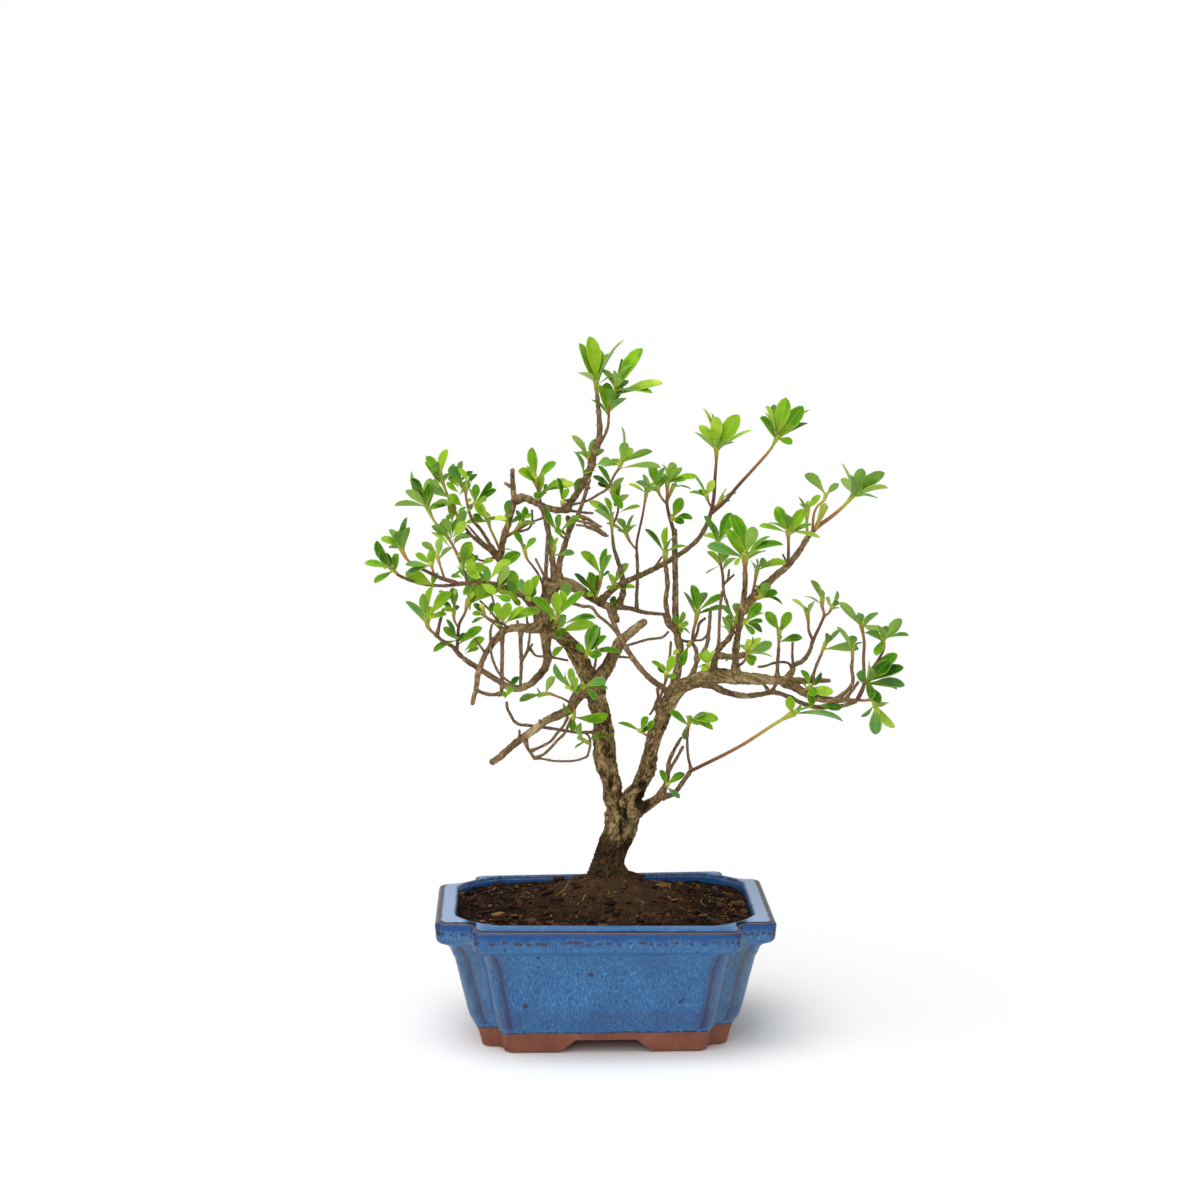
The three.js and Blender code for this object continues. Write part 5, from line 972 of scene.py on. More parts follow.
# %% Routes of the shoots
SHOOTS = """
apex_top
  apex | -3 | 1.2 1 | -3.5,383 -4,388 -4.2,392
  * -4,391 20 | -8,418,0.9 -3,411,1 -14,414,0.7 3,408,0.6 12,416,0.15 6,409,0.3 -14,397,0.4
apex_right
  apex_side | -5 -6 | 1 0.9 | 3.2,369 3.6,375 5.2,381 7,387
  * 3.6,375 15 | 4.5,387,0.9 2,391,1 -3,390,0.6 11.5,389,0.7 13,382,0.6 -7,381,0.1
  * 7,387 18 | 8,397,0.8 11,405,0.7 23,411,0.7 -1,399,0.4 17,401,0.4 35,391,0.4 29,385,0.3
apex_left
  apex | -1 | 0.9 | -6.5,343 -8.5,347
  * -8.5,346 13 | -18,360,0.5 -11,356,0.3 -5,358,0.5 -17,350,0.2 0,352,0.8 -14,350.5,0.6
top_twig
  top_twig | -7 | 0.9 | 9.5,340.2 11,344.5
  * 11,343.5 14 | 13,356,1 17,352.5,0.9 11,365,0.15 29,350.5,0.6 1,342,0.4 34,341,0.3
centre_upright
  centre_upright | -1 | 1.1 0.9 | 5.6,300 5.2,306 5,311.5
  0 | 2 0 | 1 0.9 | 5.2,306 8,312 9,318 7,324 5.5,329
  * 5,311.5 12 | 1,323,0.5 -8,321,0.5 -5,316,0.5
  * 9,318 13 | 14,325,0.8 5,330,0.5 22,318,0.3 10,335,0.5
  * 5.5,329 13 | -3,342,0.6 -6,336,0.4 11,335,0.8
thin_upright
  thin_upright | 5 2 | 1.1 1 0.9 | 20,289 20,296 21.5,304 23.3,312 24.5,319 26,328
  0 | 10 | 0.9 | 20,292 16,297 13,303.5
  * 26,327 11 | 20,333,0.6 31,327,0.3 24,337,0.6 33,332,0.4 15,331,0.5
  * 13,303 11 | 9,311,0.8 20,307,0.5 18,313,0.3 2,308,0.5
centre_limb
  centre_limb | 2 -2 | 1.1 1 | -6,263.5 -5,267 -2,272 -1,277.5
  * -5,266.5 13 | -17,278,0.6 -8,279,0.8 -4,277,0.5
  * -1,277 13 | -13,291,0.6 2,293,0.7 5,289,0.6
long_arc_low
  long_arc | 4 | 1 0.9 | 5,267.5 7,271.5
  * 7,270.5 13 | 15,284,0.7 4,278,0.7 19,269.5,0.5
tall_stem_top
  tall_stem | 5 4 2 | 1.6 1.4 1.2 1 | 42,302 40.5,308 38.8,314 37.8,320 38,327 38,334
  0 | -1 | 1 0.9 | 37.9,319 35,322.5 33,326 32,329.5
  0 | 4 | 1 0.9 | 38,320 40,326 42,331
  0 | 1 | 0.9 | 40,309 41.5,311
  * 38,333.5 13 | 42,344,1 35,343,0.2 46,341,0.6 56,335.5,0.4 49,333.5,0.3
  * 32,328.5 15 | 28,343,0.9 36,341,0.4 22,331,0.4
  * 42,330 9 | 52,328,0.3 43,334,0.5
  * 41.3,310.5 14 | 46.5,323,1 53,311,0.6
twin_stem
  twin_stem | -1 | 1.3 1.1 | 37,286 37,292
  * 37,290.5 14 | 38,305.5,0.7 25,304.5,0.3 42,300,0.3 50,294,0.4
tall_stem_low
  tall_stem | 0 | 0.9 | 43.8,245 46.5,247
  * 46,246.5 9 | 51,247.5,0.9 52,241.5,0.4 47.5,255,0.6
leader_twig
  leader_twig | -11 | 0.9 | 37,212 37.7,218.5
  * 37.7,217.5 11 | 29,225,0.5 35,224,0.4 43,228,0.7
leader_fork
  right_leader | -10 | 1 0.9 | 30,178 26,180.5 22,183.5
  * 22.5,183 11 | 27,191.5,0.7 9,188,0.5 31,188,0.6
long_arc_top
  long_arc | 12 10 | 1.5 1.4 1.2 1 | 64,313.5 65.5,322 66.3,335 67,346 67,353
  0 | 6 | 1 0.9 | 64.6,317 62.5,320.5 61,325
  0 | 14 | 1 0.9 | 65,317 68,318.5 70.5,323
  * 67,352.5 18 | 67,371,1 57,366,0.8 80,372,0.9 59,376,0.3 54,362,0.4 64,373,0.4 77,356,0.4 88,363,0.15
  * 61,324 12 | 66,333,0.9 51,326,0.4 53,337,0.15
  * 70.5,322 9 | 79,326,0.3 73,328,0.3
long_arc_side
  long_arc | 2 -8 | 1.6 1.4 1.2 1.1 | 64,313 72,320.5 80,330 90,341 99,351.5 103.5,359.5
  * 103.5,358.5 21 | 108,382,1 101,378,0.9 118,377,1 96,373,0.5 93,370,0.6 121,367,0.6 96,377,0.1
      122,375,0.3
far_right
  far_right_limb | 8 12 14 | 1.8 1.6 1.4 1.1 | 120.5,297.5 127,305 135,311 141,316 145,320 149.5,325.5
  0 | 2 | 1.3 1 | 121.8,299 121,308 121.5,316.5
  0 | 14 | 1.1 0.9 | 124,302 125.5,314 128,318.5 131,321 132.3,325
  0 | 6 | 1.8 1.5 | 126,304 129,311 131.5,318
  * 149,324.5 17 | 154,340,1 167,337.5,0.8 147.5,336,0.5 141,333.5,0.5 141.5,343,0.1 169,328.5,0.4
      163,322.5,0.3
  * 121.5,316 12 | 129,324,0.8 118,319,0.7 116,323.5,0.2
  * 132,324.5 16 | 120,337,0.8
far_right_inner
  far_right_limb | -4 -8 | 1.3 1.1 | 110,282.5 110.3,293 110,304
  * 110,303 16 | 109,313,0.9 103,317.5,1 119.5,316,0.9 99,308,0.3 93,306,0.3 124,307,0.4 129,299,0.3
right_stem_top
  right_stem | -16 | 1.7 1.5 | 84.5,276.5 84.5,290
  * 84.5,288.5 20 | 90,305.5,1 76,313,0.6 73,304,0.8 107,295,0.5 62,294,0.5 96,291,0.4 80,283,0.4
      99,300,0.15
right_inner
  right_twig_d | -4 -6 | 1.2 1 | 71.6,269.5 71.3,276 70.3,282 69,290 68,298
  * 68,297 15 | 64.5,309,0.4 76,314,1 60,312,0.2 60,301,0.5 74,300,0.3
  * 70.3,282.5 13 | 72.5,291.5,1 62,291,0.5 79,287,0.5 62,278,0.15
far_right_base
  far_right_limb | -10 | 1.2 1 | 88,262 90,270 91,276 92,282
  0 | -14 | 1 | 88.7,265 92,263 95,264.5
  * 92,281 11 | 97,285.5,1 109,284,0.5 88,285,0.4
  * 94.5,264 12 | 98,272,1 91,271,0.7 104,266,0.6 107,259,0.3
right_knot
  right_twig_knot | 3 | 1.3 1.1 | 53,236 54,244 55.3,249 56.5,256
  0 | 0 | 0.9 | 53.3,238 51,234.5
  * 56.5,255 14 | 61,266.5,0.9 53,271,0.7 48,267,0.5 72,265,0.4 75,257,0.4
  * 51.5,234.5 12 | 47.5,222.5,0.8
right_twig
  right_twig_c | -16 | 0.9 | 64.8,219 63,223
  * 63.2,222.5 10 | 62,232,0.8 57.5,230,0.8 67,231,0.5 57,221.5,0.2
right_stem_mid
  right_stem | -22 | 1 | 82,246 85,248.5
  * 84.5,248.3 13 | 94,260,1 96,254,0.3 95,248.5,0.4 95,243,0.7 89,241,0.6
knuckle
  right_knuckle | -10 | 1.1 0.9 | 76.5,242 79,247 80,252
  * 80,251 11 | 80,260,1 70.5,258.5,0.5 74,250,0.5
  * 77.5,243.5 11 | 74.5,253,1 70,246.5,0.2 71.5,252,0.6
right_stem_low
  right_stem | -17 | 1.2 1 | 79.2,221 84,224.5 87,230.5
  * 87,229.5 13 | 101,236,1 94,239,0.8 86,238,0.6 81.5,235,0.4 101,227.5,0.2 89.5,240,0.2
right_stem_b
  right_stem_b | -9 | 1.1 1 | 104.9,231.5 105.2,244.5
  * 105,243 14 | 97,254.5,0.9 111.5,254.5,1
  * 105.2,236 14 | 119,239,0.7
right_stem_c
  right_stem_c | 4 | 1 0.9 | 130,227 133,235.5
  * 133,234.5 11 | 135,241,0.9 142,243.5,0.5 153,232,0.6
right_crown
  right_crown_stem | 14 | 1.4 1.2 1 | 124.3,234 127,240.5 130,247 132,253 130.8,258 131,263.5
  0 | 8 | 1.3 1.1 1 | 125.3,237 123,243 122.5,250 121.5,255.5
  0 | 18 | 1 0.9 | 131.8,252 135,254 137.3,258.5
  * 131,262 12 | 129,269,0.6 124,273.5,0.6 120,264,0.3
  * 121.5,254.5 9 | 112.5,262,0.5 118,259,0.5 126,261,0.5
  * 137.2,257.5 10 | 140,267,0.6 133,263,0.4 141,257,0.3
right_stem_d
  right_stem_d | 0 | 1 0.9 | 149.2,225 149.3,233.5
  * 149.3,232.5 11 | 150,240,1 146,240,0.8 140,245.5,0.2 157,236,0.3
right_end
  right_tip_limb | -12 -14 | 1.5 1.2 1 0.9 | 146.5,201 152,201 157,200.8 161.5,201 163.5,197
  0 | -15 -18 -16 -12 | 1.3 1.2 1 | 152,201 155,207 157,211 160,214 161.5,220 165,225.5 168,232 167,240
  0 | -8 -3 1 | 1.4 1.3 1.1 | 153,201 156,208 156.5,216 156,226 156.3,236 155.3,242 154,249
  * 159.5,213 19 | 172,225,1 180,221,0.8 159.5,222.5,0.7 176,229,0.9 152,217,0.8 181,210,0.7 160,202,0.8
      176.5,207.5,0.2 166,199,0.8
  * 167.2,238 15 | 164,228,0.9 178.5,250,0.9 165,246,0.5 183,240,0.3 157,242,0.5 172,243,0.4
  * 154.3,247 16 | 151.5,252.5,0.9 141,260,0.7 164,254,0.4 165,242,0.5
  * 163.2,198 16 | 164,180,1 175,184,0.7 171,199,0.5
right_under
  right_tip_limb | -9 | 1 0.9 | 119,206.5 122,208 124.5,209.5
  * 124,209 14 | 127.5,204,1 131,217.5,0.6 138,206,1 119,219.5,0.8 125,198,0.8 116.5,214,0.3
low_orange
  low_twig_out | -16 -24 -30 | 1.4 1.32 1.3 | 53,158.5 65,164.5 75,169.5 85,175 95,181.5 105,188 114.5,193.5
  * 113.5,192.8 13 | 111.5,203.5,1 119,198,0.6 126,197,0.3 144,188.5,0.15
low_rise
  low_twig_rise | -13 | 0.9 | 51,182 52,190.5
  * 52,189 15 | 69,190,0.8 50,178,0.6 40,194,0.6 66,184,0.5
low_spur
  low_twig_up | -5 | 1 0.9 | 36,147 39,150.5
  * 39,149.5 11 | 34,159,0.8 49,157,0.7 46,142,0.7
left_leader
  left_leader | -8 | 1.1 1 | -7,207 -12,210
  0 | -9 | 1 | -9.5,208.5 -14,207 -18.5,209
  * -12,209.5 14 | 2,213,0.7 3,209,0.4 -3,204,0.6
  * -18.5,208.8 16 | -18,221,0.7 -29,224,0.45 -15,215,0.5 -22.5,218,0.5
left_leader_high
  left_leader | -7 | 1.1 1 | -13,225 -9,230.5
  * -9.5,229.8 14 | -1,229,0.9 -4,247.5,0.9 2,240.5,0.7 11,230.5,0.5
low_left
  low_left_stub | 2 | 1 0.9 | -18,199.5 -24,203 -28,204.5 -32,206 -37,205.5
  0 | -3 | 0.9 | -20,201 -17,196 -18,190.5
  * -36.5,205.5 12 | -50,202,0.6 -29,216.5,0.8
  * -17.9,191.5 14 | 3,193,0.7 -24,200,0.6
low_loop
  low_loop_c | 0 | 0.9 | -8,175.5 -12.5,178
  * -12,177.5 12 | -14,188,0.7 6,181,0.5
inner_left
  left_leader | -9 | 1.2 1 | -26,241.5 -28.5,246 -27,253.5
  * -28,244 15 | -22,253,0.9 -34,252,0.9 -5,247.5,0.8
  * -27,252.5 16 | -28,267,1 -24,268,0.8 -42,263.5,0.7 -11,267.5,0.6
far_left_base
  far_left_limb | -9 | 1 0.9 | -41,260.5 -44,263
  * -44,262 14 | -43,274.5,0.7 -49,275,0.8 -38,277,0.6
upright_a
  upright_a | 2 | 1 0.9 | -30,286 -29,293
  * -29,292 11 | -33,302,0.8 -27,299.5,0.6 -17,290,0.5
upright_b
  upright_b | -4 | 1 0.9 | -22,298 -25,301 -27.5,304
  * -27.3,303 14 | -25,313,0.7 -34,318,0.7 -12,312,0.5 -21,300,0.5
middle_upright
  middle_upright | -4 -6 | 1 0.9 | -34,266 -38,277 -42,283 -45,287 -46.8,294
  * -46.5,293 10 | -53,303,0.7 -40,299.5,0.7
top_bar
  top_bar | 6 2 | 1 0.9 | -36.5,318.5 -38,326 -40,335.5
  * -40,334 15 | -42,353,0.9 -28,344.5,0.7 -50,339,0.5
  * -38,326 15 | -35,337.5,0.8 -45,342,0.6 -22,334,0.5 -17,331.5,0.4
top_bar_inner
  top_bar | -3 | 1 0.9 | -24,315.8 -24,321
  * -24,320 10 | -20,328.5,0.6 -27,335,0.4
left_upright
  left_upright | 10 | 1 0.9 | -58.5,301 -53,303 -48,309
  0 | 12 | 0.9 | -56,302.3 -57,311.5
  * -57,310.5 11 | -55,322,0.8 -67,311,0.5 -46,313,0.5
  * -48.3,308.3 10 | -46,318,0.8 -51,316,0.6 -40,308,0.4
left_orange
  left_upright | 4 | 1.1 1 | -60.5,290 -63,297 -67,306 -68,312.5
  * -68,311.5 12 | -76,320,0.8 -57,311,0.5 -78,309,0.5
left_fan
  fan_b | -6 | 1.1 0.9 | -79,315 -81,325 -80,332.5
  0 | -2 | 0.9 | -81,326 -84,331 -87,336
  0 | -12 | 0.9 | -80,317.5 -75,321
  * -87,335.3 11 | -89,343,0.8 -83,345,0.7 -77,339,0.6
  * -80,331.5 9 | -75,337.5,0.7 -84,333,0.5
  * -75.3,320.5 12 | -75,331.5,1 -79,329,0.6 -63,328,0.7 -66,333,0.6 -69,322,0.5
left_high
  fan_a | 6 2 | 1.2 1 | -78,301 -84,309 -88,316 -91,323 -96,336
  * -95.5,335 13 | -99,344,0.9 -104,348,0.7 -90,338,0.6 -92,352,0.7
  * -87,313.5 10 | -91,322,0.6 -81,318,0.6
left_rise
  far_left_limb | 0 4 | 1.3 1.1 1 | -80,272.7 -83,281 -86,289 -90,297 -94,303 -100,310 -104,318.5
  * -104,317.5 17 | -116,328,0.8 -102,335,0.9 -113,339,0.5 -123,319,0.6 -90,321,0.6 -114,334,0.4
  * -91,298.5 12 | -101,307,0.7 -96,309,0.5 -82,301,0.6
  * -82.5,280 14 | -80,294,0.7 -74,289,0.5
far_left
  far_left_limb | -14 -18 -16 | 1.7 1.5 1.3 1.1 1 | -88,273.2 -95,275.3 -100,277.5 -106,280.5 -111,283
      -116,287 -120,294.5
  0 | -8 | 1 0.9 | -93.5,275 -97,285 -98.5,290.5
  0 | -22 | 1 0.9 | -100,277.5 -102,284.5
  * -120,293.5 14 | -121,304,0.9 -126,305,0.8 -115,306,0.6 -131,300,0.6 -116,312,0.5
  * -98.3,289.5 12 | -107,297,0.8 -96,299.5,0.8 -89,294,0.6
  * -101.8,283.5 12 | -111,290,0.7 -117,284,0.6 -99,291,0.5 -117,277,0.5
far_left_low
  far_left_fork | -26 | 1 0.9 | -120.5,277.3 -125.8,282
  * -125.2,281.3 15 | -131,293,0.8 -134,298,0.7 -121,290,0.6 -141,285,0.6 -135,273,0.6
left_arc
  left_arc | -14 -18 | 1.1 1 | -56,245.5 -60,248.5 -65,250 -70,253 -72,259
  * -59.5,248.5 13 | -56,261,1 -63,261,0.8 -47,258,0.6 -37,256,0.4
  * -70.5,254 10 | -77,260,0.7 -78,249,0.6
bottom_arc
  bottom_arc | 16 10 | 1.4 1.1 | -86.8,231.5 -86.3,241 -85.5,248 -82,255 -80,262.5
  0 | 16 | 0.9 | -86,246 -88.5,251 -88.5,257.5
  * -80.2,261.5 18 | -70,275.5,0.9 -78,279,0.8 -59,271,0.7
  * -88.5,256.5 13 | -89,270,0.9 -96,262,0.7
  * -86.4,238.5 12 | -95,246,0.7 -93,251,0.5 -72,246,0.7 -101,232,0.5
bottom_arc_tip
  bottom_arc | 18 | 1.2 1 | -98,240.5 -104,246.5 -105,251.5
  * -105,250.5 15 | -107,266.5,0.8 -101,271,0.5 -117,262,0.7 -93,254.5,0.5
"""

shoots = {}
for entry in entries(SHOOTS, 6):
    if not entry.startswith(" "):
        shoot = shoots[entry] = SimpleNamespace(stems=[], whorls=[], singles=[])
    elif "*" in entry:
        _, at, leaf_length, _, *tips = entry.split()
        shoot.whorls.append((places(at)[0], float(leaf_length), places(" ".join(tips))))
    else:
        parent, depths, radii, path = entry.split("|")
        parent = parent.strip()
        carrier = shoot.stems[int(parent)] if parent.isdigit() else wood[parent]
        shoot.stems.append(lay_limb([carrier], numbers(depths), numbers(radii), places(path)))
listed = sum(len(tips) for shoot in shoots.values() for _, _, tips in shoot.whorls)
print(len(shoots), "shoots,", listed, "leaves in their whorls")

# %% [markdown]
# Leaves outside the whorls, some on bare wood, are listed one by one: where the leaf starts, where
# its tip is, and how much of its width the front sees. Each goes to the shoot that is seen nearest.

# %% Single leaves
SINGLE_LEAVES = places("""
-97,331,-100,338,0.7 -92,324,-102,331,1 -92,320,-102,317,0.8 -86,327,-92.5,332,0.7 -86,331,-91,336,0.6
-83,331,-90,342,1 -80,333,-85,341,0.6 -84,326,-79,333,1 -78,332,-74,337,0.4 -84,319,-91,325,0.9
-80,320,-78,323,0.8 -80,315,-76.5,319.5,0.7 -70,311,-76,319,0.6 -70,310,-81,308.5,0.6 -71,310,-77,313,0.7
-69,310,-68,314.5,0.7 -92,309,-90,314,0.8 -92,305,-90,308,0.8 -88,301,-81,309,0.9 -89,302,-86,311,0.6
-84,290,-78,297,1 -79,285,-83,295,1 -102,272,-117,279,0.9 -101,271,-98,279,0.7 -86,282,-81,276,0.7
-84,276,-90,277,0.7 -75,279,-81,286,0.9 -72,284,-65,287,0.7 -74,280,-71,275,0.7 -66,276,-55,286,0.7
-62,271,-57,283,1 -95,264,-96.5,268.5,0.8 -98,260,-89,265,0.7 -101,255,-90,267,0.8 -103,250,-102.5,259,1
-88,265,-87,269,0.8 -88,255,-96,257,0.5 -103,251,-93,254,0.6 -81,233,-70.5,239.5,0.8 -67,254,-65,261,1
-63,265,-55,262,0.7 -50,268,-54,263,1 -56,209,-50,216,0.7 -58,204,-53,210,0.7 -58,204,-60,207,0.8
-62,282,-49,290.3,0.9 -60,292,-54,292.5,0.3 -50,268,-55,280,1 -50,268,-62,267,0.7 -21,248.5,-4.5,251.5,0.6
-3,240,-2,246,0.7 -23,234.5,-30,229,0.7 -24,236,-22,239,0.8 0,276,4,279,0.4 7,270,2,269,0.7
5,258,7,264.5,0.8 -9,229,-4,247,0.7 -38,325,-37,332,0.9 -34,326,-41,324,1 -35,328,-33,331,0.7
-16.5,326,-13,335,0.7 -12,338,-17,350.5,0.4 -5,339,-12,338,0.6 -3,343,4,346,1 0,342,11,345,0.5
4,327,11,316.5,0.8 5,311,-3,319,1 6,320,8,318,0.8 -29,306,-25,302,0.8 -47,311,-42,313,0.7
-81,231,-74,234,0.6 -87,277,-85,280,0.7 42,229,45,232,0.9 68,226,71,229,1 73,225,76,227,0.7
130,198,143,196,0.7 -33,247,-31,258,1 -24,262,-21,272,1 -89.4,309.5,-90,322,0.8 -90,301,-94.4,311,0.9
-86,303,-82,316,0.9 -88.7,298,-78.8,300.3,0.5 -98.7,334,-104.6,344.6,0.5 -106,325.7,-113.5,334.5,0.6
-104,318.6,-103,331.6,0.8 -103,316,-93,318.6,0.5 -97,329,-100,334.5,0.9 -86,330.4,-90.4,337.5,1
-91.6,295,-101.6,303,0.6 -84.5,286.7,-77.5,295.5,1 -86,289.6,-77,293.8,0.9 -86,289,-75.5,286,1
-80,284,-70,281,1 -79,259,-77,279,1 -76,262,-66,270,0.9 -82,283,-74,275,0.9 -63,268.5,-57.5,279,1
-54.6,263.8,-49,259.5,0.9 -5,263,-8.3,277,0.9 -3.6,264,-2.6,276,0.9 -52,264,-56,274,0.9
-68,271,-70,283,0.8 -58,268,-51,262,0.8 -72,272,-64,266,0.9 -76,272,-83,266,0.8 -46,264,-44,274,0.7
""")

for leaf in SINGLE_LEAVES:
    gaps = {name: min(np.linalg.norm(stem.seen - leaf[:2], axis=1).min() for stem in shoot.stems)
            for name, shoot in shoots.items()}
    shoots[min(gaps, key=gaps.get)].singles.append(leaf)
print(len(SINGLE_LEAVES), "single leaves")

# %% [markdown]
# ## The soil
#
# The soil is dark, damp peat with bark chips, crumbs and fine rootlets lying on it. A displaced plane
# alone would look like cloth, so the surface gets a coarse and a fine roughness, and many loose
# pieces of few faces each lie on it. The surface is made of the opening's outline, drawn in step by
# step to the middle, so its border follows the pot's wall.

# %% Height of the soil
SOIL_RINGS = 80
SMALLEST_RING = 0.012
# inset and height of the rings under the surface, from the pot's floor up
SOIL_SIDE = ((INNER_PROFILE[-1][1] + 0.5, INNER_FLOOR + 0.5), (25, 40), (21.5, 55), (15, 66))
MOUND_AT = (3, 8.4)
MOUND_DEPTH = 0.7  # its front to back against its width
MOUND = ((0, 94), (12, 93), (18, 91.3), (26, 88), (34, 85), (46, 81.8), (60, 79.6), (75, 77.2), (88, 76))
LUMPS = ((1.0, 13, 1), (1.0, 4.5, 2), (0.8, 2.2, 3))  # height, size, seed
CALMER = ((70, 110), (1, 0.4))  # how much of the lumps is left at these distances


def soil_height(x, y):
    reach = math.hypot(x - MOUND_AT[0], (y - MOUND_AT[1]) / MOUND_DEPTH)
    return float(np.interp(reach, *zip(*MOUND)) + waver(x, y, LUMPS) * np.interp(reach, *CALMER))


def make_soil():
    rings = [at_height(opening_ring(inset), z) for inset, z in SOIL_SIDE]
    outline = opening_ring(RIM_WIDTH + 0.5)
    for share in np.linspace(1, SMALLEST_RING, SOIL_RINGS):
        ring = outline * share
        rings.append(at_height(ring, [soil_height(x, y) for x, y in ring]))
    return lofted(rings)


print("the mound rises to", round(soil_height(*MOUND_AT), 1), "mm")

# %% [markdown]
# ### Loose pieces
#
# Chips are flat slabs, crumbs are lumps, rootlets are thin bent tubes. The random numbers come from
# one generator per piece of work, so that a change in one doesn't move the others.

# %% Tubes
ROUND_END = 0.7  # how far an end reaches beyond the line, in radii


def tube_points(line, radii, sides):
    """Rings round a line, drawn to a point at both ends. Also gives each point's place on the line."""
    line = np.asarray(line, float)
    tangents = directions(line)
    radii = np.broadcast_to(radii, len(line))
    normal = unit(np.cross(tangents[0], (0.3, 0.2, 1) if abs(tangents[0][2]) < 0.9 else (1, 0, 0)))
    points = [line[0] - tangents[0] * radii[0] * ROUND_END]
    for place, tangent, radius in zip(line, tangents, radii):
        normal = unit(normal - tangent * np.dot(normal, tangent))
        side = np.cross(tangent, normal)
        for k in range(sides):
            angle = 2 * math.pi * k / sides
            points.append(place + (normal * math.cos(angle) + side * math.sin(angle)) * radius)
    points.append(line[-1] + tangents[-1] * radii[-1] * ROUND_END)
    where = np.concatenate(([0], np.repeat(np.arange(len(line)), sides), [len(line) - 1]))
    return np.array(points), where


def tube_faces(rings, sides):
    last = 1 + (rings - 1) * sides
    faces = [(0, 1 + (k + 1) % sides, 1 + k) for k in range(sides)]
    for low in range(1, last, sides):
        high = low + sides
        faces += [(low + k, low + (k + 1) % sides, high + (k + 1) % sides, high + k) for k in range(sides)]
    return faces + [(last + k, last + (k + 1) % sides, last + sides) for k in range(sides)]


print("a tube of 10 rings with 7 sides has", len(tube_faces(10, 7)), "faces")

# %% Chips and crumbs
def chip_shape(dice, length):
    """A flat splinter of bark: a bent six-sided slab."""
    width, thick = length * dice.uniform(0.3, 0.7), length * dice.uniform(0.08, 0.2)
    angles = [math.pi * (k / 3 + dice.uniform(-0.12, 0.12)) for k in range(6)]
    outline = [(math.cos(a) * length / 2, math.sin(a) * width / 2) for a in angles]
    bottom = [(x, y, dice.uniform(-0.1, 0.1) * thick) for x, y in outline]
    top = [(x * 0.9, y * 0.9, thick * dice.uniform(0.7, 1.3)) for x, y in outline]
    faces = [tuple(range(5, -1, -1)), tuple(range(6, 12))]
    faces += [(k, (k + 1) % 6, 6 + (k + 1) % 6, 6 + k) for k in range(6)]
    return np.array(bottom + top), faces


def crumb_shape(dice, size):
    """A lump: an octahedron with each corner pushed its own way."""
    corners = np.array([(1, 0, 0), (0, 1, 0), (-1, 0, 0), (0, -1, 0), (0, 0, 0.8), (0, 0, -0.8)])
    corners = corners * size / 2 * np.array([[dice.uniform(0.7, 1.3)] * 3 for _ in range(6)])
    faces = [(k, (k + 1) % 4, 4) for k in range(4)] + [((k + 1) % 4, k, 5) for k in range(4)]
    return corners, faces


def turned(points, dice, tilt):
    spins = (dice.uniform(0, 2 * math.pi), dice.uniform(-tilt, tilt), dice.uniform(-tilt, tilt))
    spin, lean, roll = (Matrix.Rotation(angle, 3, axis) for angle, axis in zip(spins, "ZXY"))
    return points @ np.array((lean @ roll @ spin).transposed())


print("a chip has", len(chip_shape(random.Random(1), 5)[1]), "faces")

# %% Scattering chips and crumbs
LITTER_HALF = (86, 61)
CORNER_LIMIT = 118  # |x| + |y| on the cut corners of the opening
TRUNK_ROOM = 13
PEAT, LITTER, SEEDLING = range(3)
# shape, count, size (the least, what chance adds, its power), tilt, lift above the soil, range of
# the tone and its power
LOOSE_PIECES = (
    (chip_shape, 620, (1.4, 10, 3), 0.35, 0.15, (0.1, 0.95), 2),
    (crumb_shape, 900, (0.8, 1.9, 2), 1, 0.2, (0.0, 0.5), 1),
)


def soil_place(dice):
    while True:
        x, y = (dice.uniform(-half, half) for half in LITTER_HALF)
        if abs(x) + abs(y) < CORNER_LIMIT and math.hypot(x - MOUND_AT[0], y - MOUND_AT[1]) > TRUNK_ROOM:
            return x, y


def scatter_pieces(parts, dice):
    for shape, count, (least, more, power), tilt, lift, tones, tone_power in LOOSE_PIECES:
        for _ in range(count):
            x, y = soil_place(dice)
            points, faces = shape(dice, least + more * dice.random() ** power)
            points = turned(points, dice, tilt) + (x, y, soil_height(x, y) + lift)
            parts.add(points, faces, LITTER, tone=dice.uniform(*tones) ** tone_power)


soil_parts = Parts()
soil_parts.add(*make_soil(), PEAT)
litter_dice = random.Random(7)
scatter_pieces(soil_parts, litter_dice)
print("peat, chips and crumbs:", soil_parts.count, "points")

# %% Scattering rootlets
ROOTLETS, ROOT_STEPS = 240, 8
ROOT_LENGTHS, ROOT_TONES = (4, 13), (0.35, 1.0)
ROOT_RADII = (0.24, 0.1)  # at the start and at the end
ROOT_LIFT, ROOT_HUMP = 0.3, 0.8  # above the soil, and what chance adds at most
ROOT_BEND, ROOT_WANDER = 0.5, 0.35  # most of an even bend and of a chance one, in radians per step


def root_route(dice):
    x, y = soil_place(dice)
    heading, bend = dice.uniform(0, 2 * math.pi), dice.uniform(-ROOT_BEND, ROOT_BEND)
    length = dice.uniform(*ROOT_LENGTHS)
    for _ in range(ROOT_STEPS):
        yield x, y, soil_height(x, y) + ROOT_LIFT + ROOT_HUMP * dice.random() ** 3
        x += math.cos(heading) * length / ROOT_STEPS
        y += math.sin(heading) * length / ROOT_STEPS
        heading += bend + dice.uniform(-ROOT_WANDER, ROOT_WANDER)


def scatter_rootlets(parts, dice):
    for _ in range(ROOTLETS):
        route = list(root_route(dice))
        points, _ = tube_points(route, np.linspace(*ROOT_RADII, ROOT_STEPS) * dice.uniform(0.7, 1.3), 4)
        parts.add(points, tube_faces(ROOT_STEPS, 4), LITTER, tone=dice.uniform(*ROOT_TONES) ** 1.5)


